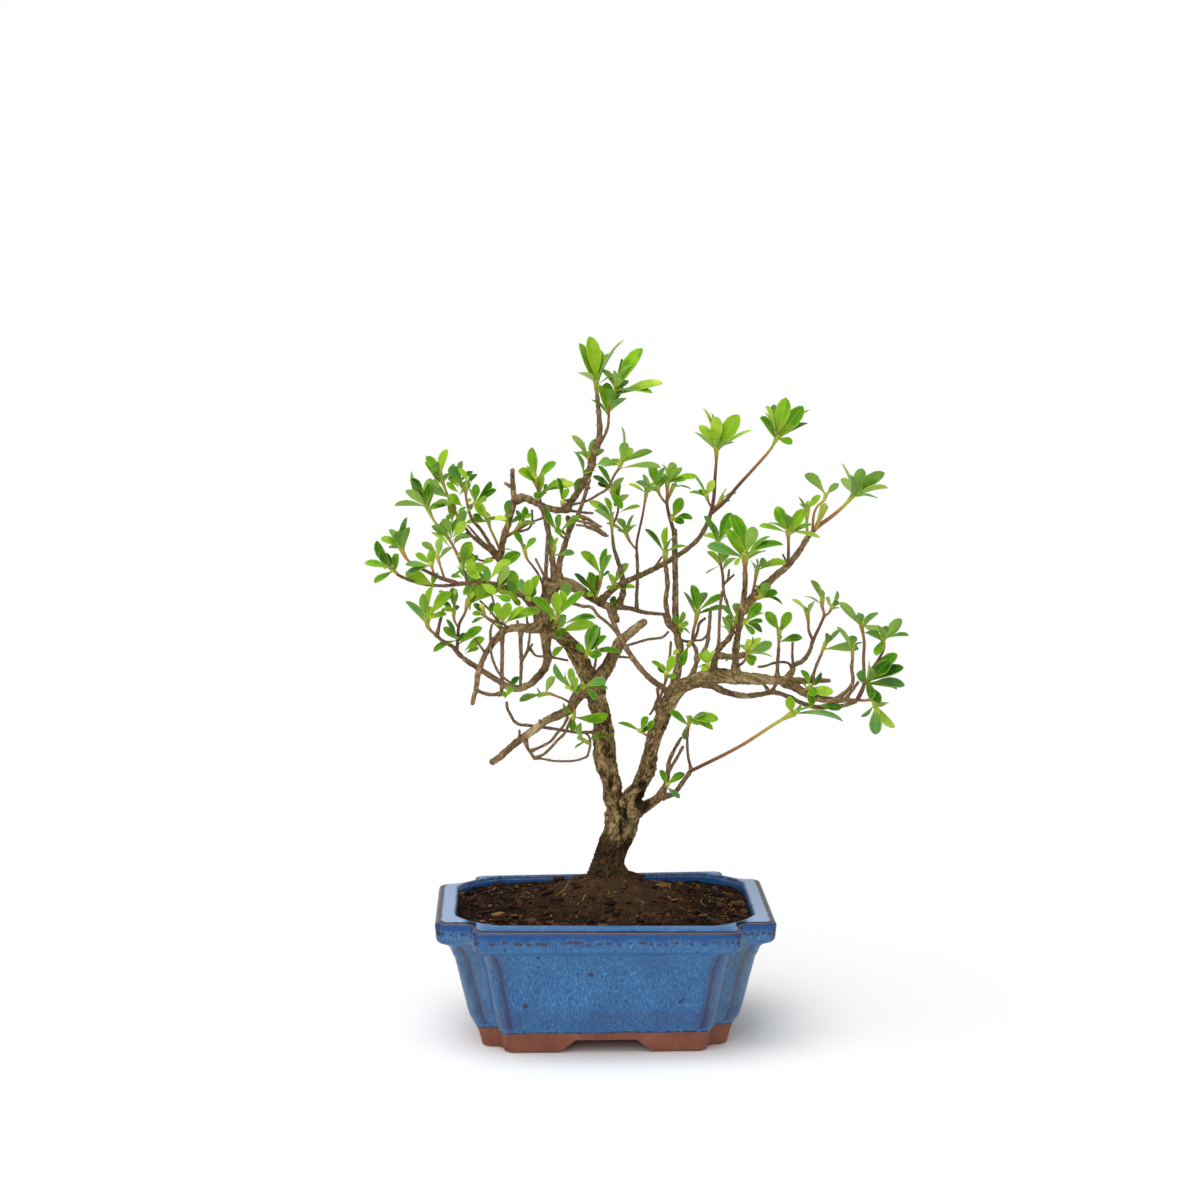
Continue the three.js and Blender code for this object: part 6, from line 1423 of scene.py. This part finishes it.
scatter_rootlets(soil_parts, litter_dice)
print("with rootlets:", soil_parts.count, "points")

# %% Seedlings and yellow roots
# Seedlings that came up by themselves: where each stands.
SEEDLINGS = (
    (-81.7, 20), (-58, 48), (-20, -18.5), (-32, -33.5), (-17, -36), (-12, 60), (-9, 63), (-50, -31),
    (22, 58), (2.8, -13.3), (6.7, -33.6), (18.6, -37.6), (64, -8), (60.6, -29.5), (70, -36),
)
YELLOW_ROOTS = (
    ((-20, 8), (-21.5, 2), (-24, -3), (-28.5, -6.2)), ((-11.3, -12), (-12.8, -17), (-16.2, -21)),
    ((60, -2), (58.5, -9), (61, -15)), ((-52, 40), (-45, 12.6), (-42, 1)), ((33, 40), (40, 20), (41, 5)),
)
BLADES = 3
BLADE_SIZE, BLADE_HEIGHTS = (0.9, 0.5), (1.6, 3.2)
BLADE_TILT, BLADE_LIFT = 0.7, 1
YELLOW_RADII, YELLOW_LIFT = (0.42, 0.2), 0.5


def grow_seedlings(parts, dice):
    for x, y in SEEDLINGS:
        for _ in range(BLADES):
            blade, faces = crumb_shape(dice, 1)
            blade = turned(blade * (*BLADE_SIZE, dice.uniform(*BLADE_HEIGHTS)), dice, BLADE_TILT)
            blade += (x, y, soil_height(x, y) + BLADE_LIFT)
            parts.add(blade, faces, SEEDLING, tone=dice.random())
    for route in YELLOW_ROOTS:
        root, _ = smooth_line([(x, y, soil_height(x, y) + YELLOW_LIFT) for x, y in route], 1.5)
        points, _ = tube_points(root, np.linspace(*YELLOW_RADII, len(root)), 5)
        parts.add(points, tube_faces(len(root), 5), LITTER, tone=1)


grow_seedlings(soil_parts, random.Random(8))
print("with seedlings and roots:", soil_parts.count, "points")

# %% [markdown]
# Peat is nearly black and dull. The litter runs from peat-brown to the tan of dry bark and the pale
# yellow of roots, one tone for each loose piece.

# %% Materials of the soil
def damp_peat():
    # Wet crumbs of peat: dark and without shine, and the black of their hollows is painted shade. Drier and
    # paler at the trunk, and darker toward the wall, where a painted shadow of the pot's wall falls.
    material, add = start_material(
        "damp peat, crumbled by hand", Roughness=0.92, IOR=1.4, Specular_IOR_Level=0.12)
    crumbs = grain(add, 2.381, detail=5, rough=0.7)
    # the near-black stop is painted shade in the hollows between crumbs, over the peat's own dark brown
    body = add("ValToRGB", [crumbs], stops=(
        (0.4, "#080301"), (0.49, "#241208"), (0.58, "#4e301e"), (0.7, "#8f6845")))
    body = paint(add, body, "#080301", 0.92, (grain(add, 11.11, seed=3), 0.58, 0.42))
    trunk_foot = (ORIGIN.x + MOUND_AT[0] * MM, MOUND_AT[1] * MM, 0.09)
    spot = add("TexCoord", out="Object")
    away = add("VectorMath", [spot, trunk_foot], out="Value", operation="DISTANCE")
    body = paint(add, body, "#58442f", 0.5, (away, 0.07, 0.02))
    # painted shadow: the pot's wall shades the soil near it
    body = paint(add, body, "#080301", 0.45, (away, 0.05, 0.085))
    return finish_material(material, body, crumbs, 0.9, 0.0012)


def dry_litter():
    # Chips and roots bleached by sun and rain: dull, each in a brown of its own, with darker pores.
    material, add = start_material(
        "weathered bark chips and roots", Roughness=0.85, IOR=1.45, Specular_IOR_Level=0.15)
    body = add("ValToRGB", ["tone"], ease=False, stops=(
        (0, "#120803"), (0.35, "#3b2314"), (0.65, "#5f3d25"), (1, "#a5824f")))
    pores = grain(add, 1.429, seed=4)
    body = paint(add, body, "#2a1b12", 0.5, (pores, 0.65, 0.4))
    return finish_material(material, body, pores, 0.5, 0.0003)


def seedling_green():
    # New growth, thin and fresh: a bright point of green on the dark peat.
    material, add = start_material("soft seedling leaf", Roughness=0.6, IOR=1.4)
    return finish_material(material, add("ValToRGB", ["tone"], stops=((0, "#4d7a14"), (1, "#9cc238"))))


soil = soil_parts.build("peat_soil", damp_peat(), dry_litter(), seedling_green())
finish_piece(soil, "soil", smooth=50)

# %% [markdown]
# ## The wood
#
# Old azalea wood is grey-brown and flakes in long strips; branch collars swell where a branch
# leaves, and old cuts leave stubs. Thick and thin wood need two ways of making. The thick limbs are
# swept, joined and remeshed with voxels, so their collars flow together, and then their surface is
# pushed in and out to make the bark. The twigs are too thin for voxels: they stay swept tubes with
# knots at their old leaf places.

# %% Sweeping a limb
THICK = """trunk left_leader right_leader pruned_stub low_spur middle_upright low_left_stub
    centre_limb tall_stem left_upright far_left_limb left_arc bottom_arc right_stem
    lower_limb right_tip_limb far_right_limb right_crown_stem""".split()
SLIMMER = ((0.8, 0.66), (1.2, 1.02), (2, 1.9), (3, 2.95), (6, 6), (20, 20))  # listed and true radii
COLLAR_SWELL, COLLAR_LENGTH = 0.5, 1.6
COLLAR_RADIUS = 4.5  # thicker branches have no collar
LIMB_STEP = 1.2
LUMP_HEIGHT = 0.16  # in radii
LUMP_TURN, LUMP_LENGTH = 0.9, 2.2  # how fast lumps change round a limb, and their length in radii


def resampled(limb, spacing):
    """Evenly spaced places on a limb, with their distances and radii."""
    far = distances(limb.line)
    steps = np.linspace(0, far[-1], max(3, round(far[-1] / spacing) + 1))
    line = np.column_stack([np.interp(steps, far, limb.line[:, axis]) for axis in range(3)])
    return line, steps, along(limb.radii, np.interp(steps, far, limb.shares))


def collar(limb, steps, radii):
    """True radii of a branch, which swells toward the branch that carries it."""
    radii = np.interp(radii, *zip(*SLIMMER))
    if not limb.carrier_radius or radii[0] >= COLLAR_RADIUS:
        return radii
    beyond = np.maximum(steps - limb.carrier_radius, 0)
    return radii * (1 + COLLAR_SWELL * np.exp(-beyond / (COLLAR_LENGTH * radii[0])))


def lumpy_tube(limb, sides, seed):
    line, steps, radii = resampled(limb, LIMB_STEP)
    radii = collar(limb, steps, radii)
    points, where = tube_points(line, radii, sides)
    for index in range(1, len(points) - 1):
        spoke = points[index] - line[where[index]]
        lump = Vector(unit(spoke)) * LUMP_TURN
        lump.z += steps[where[index]] / (radii[where[index]] * LUMP_LENGTH) + seed
        points[index] += spoke * LUMP_HEIGHT * noise.noise(lump)
    return points, tube_faces(len(line), sides)


print(len(THICK), "thick limbs,", len(wood) - len(THICK), "twigs")

# %% [markdown]
# ### Bark relief
#
# Strips of bark run along the branch. To follow it, each point of the remeshed surface looks up the
# nearest place on a middle line and reads noises that are stretched along that line. Their heights
# push the surface in and out, and their sum is kept as a tone for the material. Old cuts, burls and
# a mossy hollow are listed where the front shows them.

# %% Old cuts, burls and hollows
# place in the front view, half sizes, push outwards, tone from -1 for dark to 1 for pale
MARKS = (
    (11.5, 138, 3.2, 6, -0.6, -0.6), (11.3, 138.5, 1.7, 4, 1.3, 1.0), (24, 140, 4.2, 6, -1.2, -1),
    (17.2, 133, 4.5, 5, 0.9, 0.1), (16.5, 122, 3, 4, 0.8, 0.2), (5.8, 122.5, 3, 4, 0.8, 0.1),
    (10.8, 123, 1.1, 6, -1.2, -0.9), (23.5, 150, 2.5, 2.5, -0.4, -0.6), (-0.5, 158, 2, 2.5, 0, -0.5),
    (4, 150, 1.5, 3, -0.3, -0.4), (13.5, 131.5, 1, 4, -0.6, -0.6), (21.5, 128, 1, 5, -0.4, -0.4),
    (-20, 270, 12, 5, 0, 0.4), (-38, 186, 14, 10, 0, 0.4), (-50, 210, 14, 5, 0, 0.3), (18, 244, 9, 8, 0, 0.3),
    (82, 215, 32, 5, 0, 0.25), (-49, 246, 12, 4, 0, 0.25),
)


def marks(points, normals):
    """Push and tone of each point on the side that faces the viewer."""
    u, v = seen(points).T
    push, tone = np.zeros((2, len(points)))
    facing = np.clip(-normals[:, 1] * 2, 0, 1)
    for mark_u, mark_v, half_u, half_v, outwards, shade in MARKS:
        away = ((u - mark_u) / half_u) ** 2 + ((v - mark_v) / half_v) ** 2
        weight = np.exp(-(away**2)) * facing
        push += outwards * weight
        tone += shade * weight
    return push, tone


print(len(MARKS), "marks on the wood")

# %% Thick limbs
VOXEL = 0.55
SAMPLE_STEP = 1.0
OWN_BARK = 0.9  # where a limb's own bark starts, in radii of the limb that carries it
WIDE_RADIUS, WIDE_SIDES, LIMB_SIDES = 5, 24, 14  # limbs beyond this radius have more sides
ROUGH_RADIUS = 6  # from this radius on, bark is as rough as it gets
LIMB_OFFSET = 400  # gives each limb its own stretch of the noises
# plates, flakes, fibres and patches of the bark: size across and along the branch, shift
BARK_NOISES = ((2.6, 7, 0), (1.1, 2.4, 0), (0.6, 1.8, 0), (5.5, 9, 7))


def middle_samples():
    samples = []
    for number, name in enumerate(THICK):
        limb = wood[name]
        line, steps, radii = resampled(limb, SAMPLE_STEP)
        for place, tangent, step, radius in zip(line, directions(line), steps, radii):
            if step >= limb.carrier_radius * OWN_BARK:
                samples.append((place, tangent, step + LIMB_OFFSET * number, radius))
    return samples


def bark_relief(point, place, tangent, step, radius):
    """How far a point of the surface is pushed outwards, and its tone."""
    ahead = np.dot(point - place, tangent)
    spoke = point - place - tangent * ahead
    spoke = Vector(spoke * (radius / max(np.linalg.norm(spoke), 1e-6)))
    lift = Vector((0, 0, step + ahead))
    plates, flakes, fibres, patches = (
        noise.noise(spoke / wide + lift / tall + Vector((shift, 0, 0))) for wide, tall, shift in BARK_NOISES)
    crack = max(0, 1 - abs(plates) * 6) ** 2
    age = min(1, radius / ROUGH_RADIUS)
    push = age * (0.9 * patches + 0.7 * plates + 0.6 * flakes - 0.4 * crack) + 0.15 * flakes
    tone = 0.45 * patches + 0.25 * plates + 0.4 * flakes + 0.5 * fibres - 0.2 * crack
    return push, tone * (0.55 + 0.45 * age)


def make_thick_wood(bark):
    dice = random.Random(11)
    tubes = Parts()
    for name in THICK:
        sides = WIDE_SIDES if max(wood[name].radii) > WIDE_RADIUS else LIMB_SIDES
        tubes.add(*lumpy_tube(wood[name], sides, dice.uniform(0, 99)))
    obj = tubes.build("bark_wood", bark)
    apply_modifier(obj, "REMESH", mode="VOXEL", voxel_size=VOXEL, use_smooth_shade=True)
    samples = middle_samples()
    tree = kdtree.KDTree(len(samples))
    for index, sample in enumerate(samples):
        tree.insert(sample[0], index)
    tree.balance()
    points = np.array([vertex.co for vertex in obj.data.vertices])
    normals = np.array([vertex.normal for vertex in obj.data.vertices])
    nearby = [samples[tree.find(point)[1]] for point in points]
    heights, tones = np.array([bark_relief(point, *sample) for point, sample in zip(points, nearby)]).T
    push, shade = marks(points, normals)
    moved = points + normals * (heights + push)[:, None]
    obj.data.vertices.foreach_set("co", moved.astype(np.float32).ravel())
    write_attribute(obj.data, "relief", tones + shade)
    write_attribute(obj.data, "thickness", [sample[-1] for sample in nearby])
    return obj


print(len(middle_samples()), "places on the middle lines of the thick limbs")

# %% [markdown]
# ### Bark
#
# Old bark weathers to grey and buff where it is flaking, and stays dark in its cracks. Young bark is
# still red-brown. Just above the soil the trunk is dark with damp, and moss makes its patches dull.

# %% Bark
def flaking_bark():
    # Dry, fibrous and cracked: matt, with pale edges of flakes over dark gaps along the branch.
    material, add = start_material(
        "flaking grey-brown azalea bark", Roughness=0.85, IOR=1.45, Specular_IOR_Level=0.15)
    spot = add("TexCoord", out="Object")
    across = add("Math", [add("SeparateXYZ", [spot], out="X"), ORIGIN.x], operation="SUBTRACT")
    slant = add("Math", [across, 0.35], operation="MULTIPLY")
    height = add("Math", [add("SeparateXYZ", [spot], out="Z"), slant], operation="ADD")
    fibres = grain(add, 1.5385, (1, 1, 0.45), 5, rough=0.7)
    patches = grain(add, 9.091, seed=5)
    fine = add("MapRange", [fibres, 0.35, 0.65, -0.25, 0.25])
    relief = add("Math", ["relief", fine], operation="ADD")
    relief = add("MapRange", [relief, -0.9, 0.9, 0, 1])
    body = add("ValToRGB", [relief], stops=((0.2, "#3b281b"), (0.5, "#7c6146"), (0.8, "#b59d78")))
    old = add("ValToRGB", [relief], stops=(
        (0.05, "#1c120b"), (0.32, "#49371f"), (0.5, "#7e6743"), (0.68, "#a58f60"), (0.95, "#c8bd90")))
    body = paint(add, body, old, 1, ("thickness", 1, 4.5))
    body = paint(add, body, "#5d5a34", 0.4, (patches, 0.5, 0.66))
    # the damp foot of the trunk, with a ragged upper edge and rusty patches
    for raggedness, reach in ((patches, 0.006), (fibres, 0.005)):
        ragged = add("MapRange", [raggedness, 0.3, 0.7, -reach, reach])
        height = add("Math", [height, ragged], operation="ADD")
    body = paint(add, body, "#21140d", 0.86, (height, 0.123, 0.117))
    rust = grain(add, 4.348, detail=4, seed=9)
    body = paint(add, body, "#6e4322", 0.516, (height, 0.123, 0.117), (rust, 0.54, 0.66))
    return finish_material(material, body, fibres, 0.6, 0.0006)


bark = flaking_bark()
finish_piece(make_thick_wood(bark), "trunk", smooth=60)

# %% [markdown]
# ### Twigs
#
# A twig keeps a small swelling at each place where a leaf once stood. The spacing of these knots
# changes from twig to twig, as it does with each year's growth.

# %% Thin wood
KNOT_SPACING, KNOT_LENGTH = 7, 1.1
KNOT_SWELL = 0.22
TWIG_STEP = 1.1
TWIG_ROUGHNESS, TWIG_LUMP = 0.2, 1.3  # height and size of its lumps, in radii
STOUT_RADIUS, STOUT_SIDES, TWIG_SIDES = 1.4, 10, 7


def knots(steps, dice):
    """How much of a knot each place of a twig is, from 0 to 1."""
    swell = np.zeros(len(steps))
    for knot in np.arange(dice.uniform(2, KNOT_SPACING), steps.max(), KNOT_SPACING * dice.uniform(0.8, 1.2)):
        swell = np.maximum(swell, np.exp(-(((steps - knot) / KNOT_LENGTH) ** 2)))
    return swell


def make_twigs(bark):
    dice = random.Random(12)
    parts = Parts()
    for limb in [limb for name, limb in wood.items() if name not in THICK]:
        widest = max(limb.radii)
        line, steps, radii = resampled(limb, TWIG_STEP)
        swell = knots(steps, dice)
        radii = collar(limb, steps, radii) * (1 + KNOT_SWELL * swell)
        sides = STOUT_SIDES if widest > STOUT_RADIUS else TWIG_SIDES
        points, where = tube_points(line, radii, sides)
        for index in range(1, len(points) - 1):
            spoke = points[index] - line[where[index]]
            lump = Vector(points[index]) / (radii[where[index]] * TWIG_LUMP)
            points[index] += spoke * TWIG_ROUGHNESS * noise.noise(lump)
        parts.add(points, tube_faces(len(line), sides), relief=0.3 * swell[where] - 0.1, thickness=widest)
    return parts.build("twigs", bark)


finish_piece(make_twigs(bark), "trunk", smooth=60)

# %% [markdown]
# ## Shoots and leaves
#
# A satsuki leaf is small and leathery, widest beyond its middle, with a short stalk, a blunt tip
# with a tiny point, and a midrib that folds the blade a little. One blank is made from a grid: its
# outline is shaped in code, it is folded along the midrib and given its thickness by a solidify
# modifier. Every leaf is a copy of the blank with its own bend, width and tone.

# %% The leaf blank
# share of the length, share of the full width there
LEAF_OUTLINE = (
    (0, 0.08), (0.12, 0.12), (0.25, 0.34), (0.44, 0.74), (0.63, 1), (0.82, 0.88), (0.94, 0.54), (1, 0.08))
LEAF_FOLD = 0.3
LEAF_SKIN = 0.035  # its thickness, in leaf widths


def make_leaf_blank():
    bpy.ops.object.select_all(action="DESELECT")
    rows = len(LEAF_OUTLINE) - 1
    bpy.ops.mesh.primitive_grid_add(x_subdivisions=rows, y_subdivisions=2, size=1)
    blank = activate(bpy.context.object)
    for vertex in blank.data.vertices:
        x, width = LEAF_OUTLINE[round((vertex.co.x + 0.5) * rows)]
        vertex.co = (x, vertex.co.y * width, abs(vertex.co.y) * width * LEAF_FOLD)
    count = len(blank.data.vertices)
    apply_modifier(blank, "SOLIDIFY", thickness=LEAF_SKIN, offset=-1, use_even_offset=False)
    points = np.array([vertex.co for vertex in blank.data.vertices])
    faces = [tuple(polygon.vertices) for polygon in blank.data.polygons]
    half = np.interp(points[:, 0], *zip(*LEAF_OUTLINE)) / 2
    bpy.data.objects.remove(blank)
    return SimpleNamespace(
        points=points, faces=faces, under=np.arange(len(points)) >= count,
        across=np.clip(points[:, 1] / half, -1, 1))


leaf_blank = make_leaf_blank()
print("leaf blank:", len(leaf_blank.points), "points,", len(leaf_blank.faces), "faces")

# %% [markdown]
# A leaf's own directions: along its length, across its blade, and out of its upper side, which looks
# toward the tip of the stem.

# %% Placing a leaf
LEAF_WIDTH = 0.4
USUAL_LENGTH = 17
# painted reflection: the share of leaves tinted bluish as if mirroring the white room
SKY_REFLECTION_SHARE = 0.16  # how many leaves are bluish
ARCHES, WIDTHS, FOLDS = (0.02, 0.16), (0.88, 1.12), (0.6, 1.3)
BOW, CURL = 2.2, 0.12
NARROWING = 0.35  # a longer leaf is narrower for its length
TO_VIEWER = np.array((0, -1, 0.2))
STEM, LEAF = range(2)


def leaf_axes(base, tip, stem, face_on):
    length = unit(tip - base)
    upper = stem - length * np.dot(stem, length)
    if np.linalg.norm(upper) < 0.05:
        upper = TO_VIEWER - length * np.dot(TO_VIEWER, length)
    width = np.cross(unit(upper), length)
    if face_on is not None:
        flat = unit(np.cross(length, unit(base - np.array(VIEWER))))
        deep = np.cross(length, flat)
        flat, deep = (v if np.dot(v, width) >= 0 else -v for v in (flat, deep))
        width = unit(flat * face_on + deep * math.sqrt(1 - face_on**2))
    return length, width, np.cross(length, width)


def add_leaf(parts, base, tip, stem, face_on, dice, tone, wide=1.0):
    length, width, upper = leaf_axes(base, tip, stem, face_on)
    reach = float(np.linalg.norm(tip - base))
    x, y, z = leaf_blank.points.T
    bow = dice.uniform(*ARCHES) * (x - x**2) * BOW
    curl = dice.uniform(-CURL, CURL) * x * y
    y = y * LEAF_WIDTH * dice.uniform(*WIDTHS) * wide * (USUAL_LENGTH / reach) ** NARROWING
    z = z * LEAF_WIDTH * dice.uniform(*FOLDS) + bow + curl
    points = base + np.outer(x * reach, length) + np.outer(y * reach, width) + np.outer(z * reach, upper)
    parts.add(points, leaf_blank.faces, LEAF, tone=tone, under=leaf_blank.under, across=leaf_blank.across,
              along=x, cool=dice.random() < SKY_REFLECTION_SHARE)


seen_side = leaf_axes(np.zeros(3), np.array((10, 0, 0)), np.array((0, 0, 1)), 1)[1]
print("a leaf that is seen flat lies along", seen_side.round(2))

# %% [markdown]
# The listed leaves are the ones the front shows clearly. A whorl also has young leaves that stand
# up round its tip, paler and shorter, and a few more leaves between and behind the listed ones.

# %% Where leaves stand
LEAST_LEAN = 0.2  # of the leaf's length, to the front or to the back
BASE_STEP = 1.9  # from a listed leaf's start to the next one's, down the stem
BASE_REACH = 2.5  # how far down the stem a drawn leaf may start
KEEP_INSIDE = 1.0  # between a drawn leaf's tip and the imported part's box
CAD_LOW, CAD_HIGH = ((np.array(corner) - np.array(ORIGIN)) / MM for corner in cad_box)


def listed_leaves(stems, at, leaf_length, tips):
    spot = nearest(stems, at)
    base_u, base_v = seen(spot.point)[0]
    for i, (u, v, face_on) in enumerate(tips):
        spread = math.hypot(u - base_u, v - base_v)
        lean = math.sqrt(max(leaf_length**2 - spread**2, (leaf_length * LEAST_LEAN) ** 2))
        tip = np.array(place_seen(u, v, spot.point[1] + (lean if i % 2 else -lean)))
        yield spot.point - spot.tangent * BASE_STEP * (i % 3), tip, spot.tangent, face_on


def random_leaf(spot, leaf_length, lengths, openings, dice):
    """A leaf that leaves the stem at an angle out of openings, in any direction round it."""
    reach, opening = leaf_length * dice.uniform(*lengths), dice.uniform(*openings)
    side = unit(np.cross(spot.tangent, (0.4, 1, 0.3)))
    other = np.cross(spot.tangent, side)
    turn = dice.uniform(0, 2 * math.pi)
    out = side * math.cos(turn) + other * math.sin(turn)
    heading = spot.tangent * math.cos(opening) + out * math.sin(opening)
    base = spot.point - spot.tangent * dice.uniform(0, BASE_REACH)
    return base, base + heading * reach


def inside(tip):
    return np.all(tip > CAD_LOW + KEEP_INSIDE) and np.all(tip < CAD_HIGH - KEEP_INSIDE)


print("leaves stay between", CAD_LOW.round(1), "and", CAD_HIGH.round(1))

# %% Whorls and single leaves
# how many, their lengths in shares of the whorl's leaf length, and angles to the stem
YOUNG_LEAVES, YOUNG_LENGTHS, YOUNG_OPENINGS = 2, (0.35, 0.55), (0.2, 0.5)
FILL_TRIES, FILL_LENGTHS, FILL_OPENINGS = 2, (0.5, 0.8), (0.7, 1.3)
FILL_LEAVES = 0.35  # how often a try gives a leaf
YOUNG_TONES, YOUNG_WIDTH = (0.75, 1), 0.8
SINGLE_LEAN = (-0.45, 0.3)  # by turns toward the viewer and away, in lengths
SINGLE_WIDTH = 1.08
SINGLE_FORWARD, SINGLE_STALK = 2, 0.12  # in front of the wood, and the stalk's share of the length
SINGLE_UPPER = (0, -0.2, 0.6)  # where its upper side turns, to the viewer and up
# tone of listed, single and fill leaves and its spread, then the spread between whorls
LISTED_TONE, SINGLE_TONE, FILL_TONE = (0.5, 0.16), (0.48, 0.2), (0.4, 0.15)
WHORL_SPREAD = 0.12


def own_tone(tone, shade, dice):
    middle, spread = tone
    return middle + shade + dice.gauss(0, spread)


def add_whorl(parts, stems, at, leaf_length, tips, dice):
    spot = nearest(stems, at)
    shade = dice.gauss(0, WHORL_SPREAD)
    for base, tip, stem, face_on in listed_leaves(stems, at, leaf_length, tips):
        add_leaf(parts, base, tip, stem, face_on, dice, own_tone(LISTED_TONE, shade, dice))
    for _ in range(YOUNG_LEAVES):
        base, tip = random_leaf(spot, leaf_length, YOUNG_LENGTHS, YOUNG_OPENINGS, dice)
        if inside(tip):
            tone = dice.uniform(*YOUNG_TONES)
            add_leaf(parts, base, tip, spot.tangent, None, dice, tone, YOUNG_WIDTH)
    for _ in range(FILL_TRIES):
        base, tip = random_leaf(spot, leaf_length, FILL_LENGTHS, FILL_OPENINGS, dice)
        if inside(tip) and dice.random() < FILL_LEAVES:
            add_leaf(parts, base, tip, spot.tangent, None, dice, own_tone(FILL_TONE, shade, dice))


def add_single(parts, stems, leaf, lean, dice):
    base_u, base_v, tip_u, tip_v, face_on = leaf
    depth = nearest(stems + list(wood.values()), (base_u, base_v)).point[1] - SINGLE_FORWARD
    forward = math.hypot(tip_u - base_u, tip_v - base_v) * lean
    base = np.array(place_seen(base_u, base_v, depth))
    tip = np.array(place_seen(tip_u, tip_v, depth + forward))
    base -= (tip - base) * SINGLE_STALK
    outwards = unit(tip - base) + SINGLE_UPPER
    add_leaf(parts, base, tip, outwards, face_on, dice, own_tone(SINGLE_TONE, 0, dice), SINGLE_WIDTH)


print("each whorl gets", YOUNG_LEAVES, "young leaves and up to", FILL_TRIES, "between the listed ones")

# %% [markdown]
# ### Skins of shoots and leaves
#
# A new shoot is green at its tip and turns orange and then brown as its bark forms. A leaf is darker
# and greener with age, paler below, and its midrib is yellow. Its paler margin is painted light, and a
# few leaves get a painted bluish reflection of the room.

# %% Materials of the shoots
def young_stem():
    # Downy with short hairs: they scatter the light, so the stem is soft and never glints. Real hairs
    # are far finer, and are drawn as coarse as they need to show.
    material, add = start_material("hairy young azalea shoot", Roughness=0.6, IOR=1.45)
    hairs = grain(add, 2, (1, 1, 0.5))
    body = add("ValToRGB", ["young"], stops=(
        (0, "#6b4631"), (0.3, "#935f3a"), (0.55, "#a8703a"), (0.72, "#b09a38"), (0.9, "#aeb53c")))
    body = paint(add, body, "#6a4228", 0.3, (hairs, 0.4, 0.7))
    return finish_material(material, body, hairs, 0.3, 0.0003)


def leaf_skin():
    # A thin wax on a leathery blade: a broad soft sheen from the lamps over a clear yellow-green.
    material, add = start_material(
        "leathery azalea leaf with a thin wax", Roughness=0.42, IOR=1.45, Specular_IOR_Level=0.12)
    clouds = add("MapRange", [grain(add, 8.333, detail=2), 0.3, 0.7, -0.12, 0.12])
    tone = add("Math", ["tone", clouds], operation="ADD")
    body = add("ValToRGB", [tone], stops=(
        (0.1, "#245c04"), (0.4, "#528d0c"), (0.65, "#86b21e"), (1, "#bcd648")))
    underside = add("ValToRGB", [tone], stops=((0.2, "#5c9034"), (0.9, "#9dc257")))
    from_rib = add("Math", ["across"], operation="ABSOLUTE")
    # painted reflection: a bluish grey on some leaves, standing in for the white room mirrored in their wax
    body = paint(add, body, "#5f9156", 0.6, ("cool", 0, 1))
    body = paint(add, body, "#b3cc5a", 0.4, (from_rib, 0.1, 0))
    # painted light: a paler margin, as the curved edges of the blade would catch more light
    body = paint(add, body, "#b3cc55", 0.55, (from_rib, 0.75, 1))
    body = paint(add, body, underside, 1, ("under", 0, 1))
    body = paint(add, body, "#a4b83c", 0.5, ("along", 0.6, 0.15))
    body = paint(add, body, "#a69c38", 0.85, ("along", 0.18, 0.06))
    return finish_material(material, body)


shoot_materials = (young_stem(), leaf_skin())

# %% Building the shoots
STEM_SLIMMER = ((0.8, 0.58), (1, 0.74), (1.3, 1.0), (2, 1.65))  # listed and true radii
SHEATH_LENGTH, SHEATH_SWELL = 9, 1.3
STEM_SIDES = 7
YOUNG_STRETCH = 18  # how far down from its tip a stem is young
# shoots that stay young and orange further down
ORANGE_STEMS = {"low_orange": 80, "long_arc_side": 45, "far_right": 45, "left_orange": 55,
                "left_rise": 48, "left_high": 40}


def make_shoot(name, shoot, materials, dice):
    parts = Parts()
    for stem in shoot.stems:
        line, steps, radii = resampled(stem, TWIG_STEP)
        from_tip = steps[-1] - steps
        sheath = 1 + SHEATH_SWELL * np.clip(1 - from_tip / SHEATH_LENGTH, 0, 1)
        points, where = tube_points(line, np.interp(radii, *zip(*STEM_SLIMMER)) * sheath, STEM_SIDES)
        young = np.clip(1 - from_tip[where] / ORANGE_STEMS.get(name, YOUNG_STRETCH), 0, 1)
        parts.add(points, tube_faces(len(line), STEM_SIDES), STEM, young=young)
    for whorl in shoot.whorls:
        add_whorl(parts, shoot.stems, *whorl, dice)
    for number, leaf in enumerate(shoot.singles):
        add_single(parts, shoot.stems, leaf, SINGLE_LEAN[number % 2], dice)
    return parts.build(name + "_foliage", *materials)


for number, (name, shoot) in enumerate(shoots.items()):
    foliage = make_shoot(name, shoot, shoot_materials, random.Random(100 + number))
    finish_piece(foliage, "shoot_" + name, smooth=35)
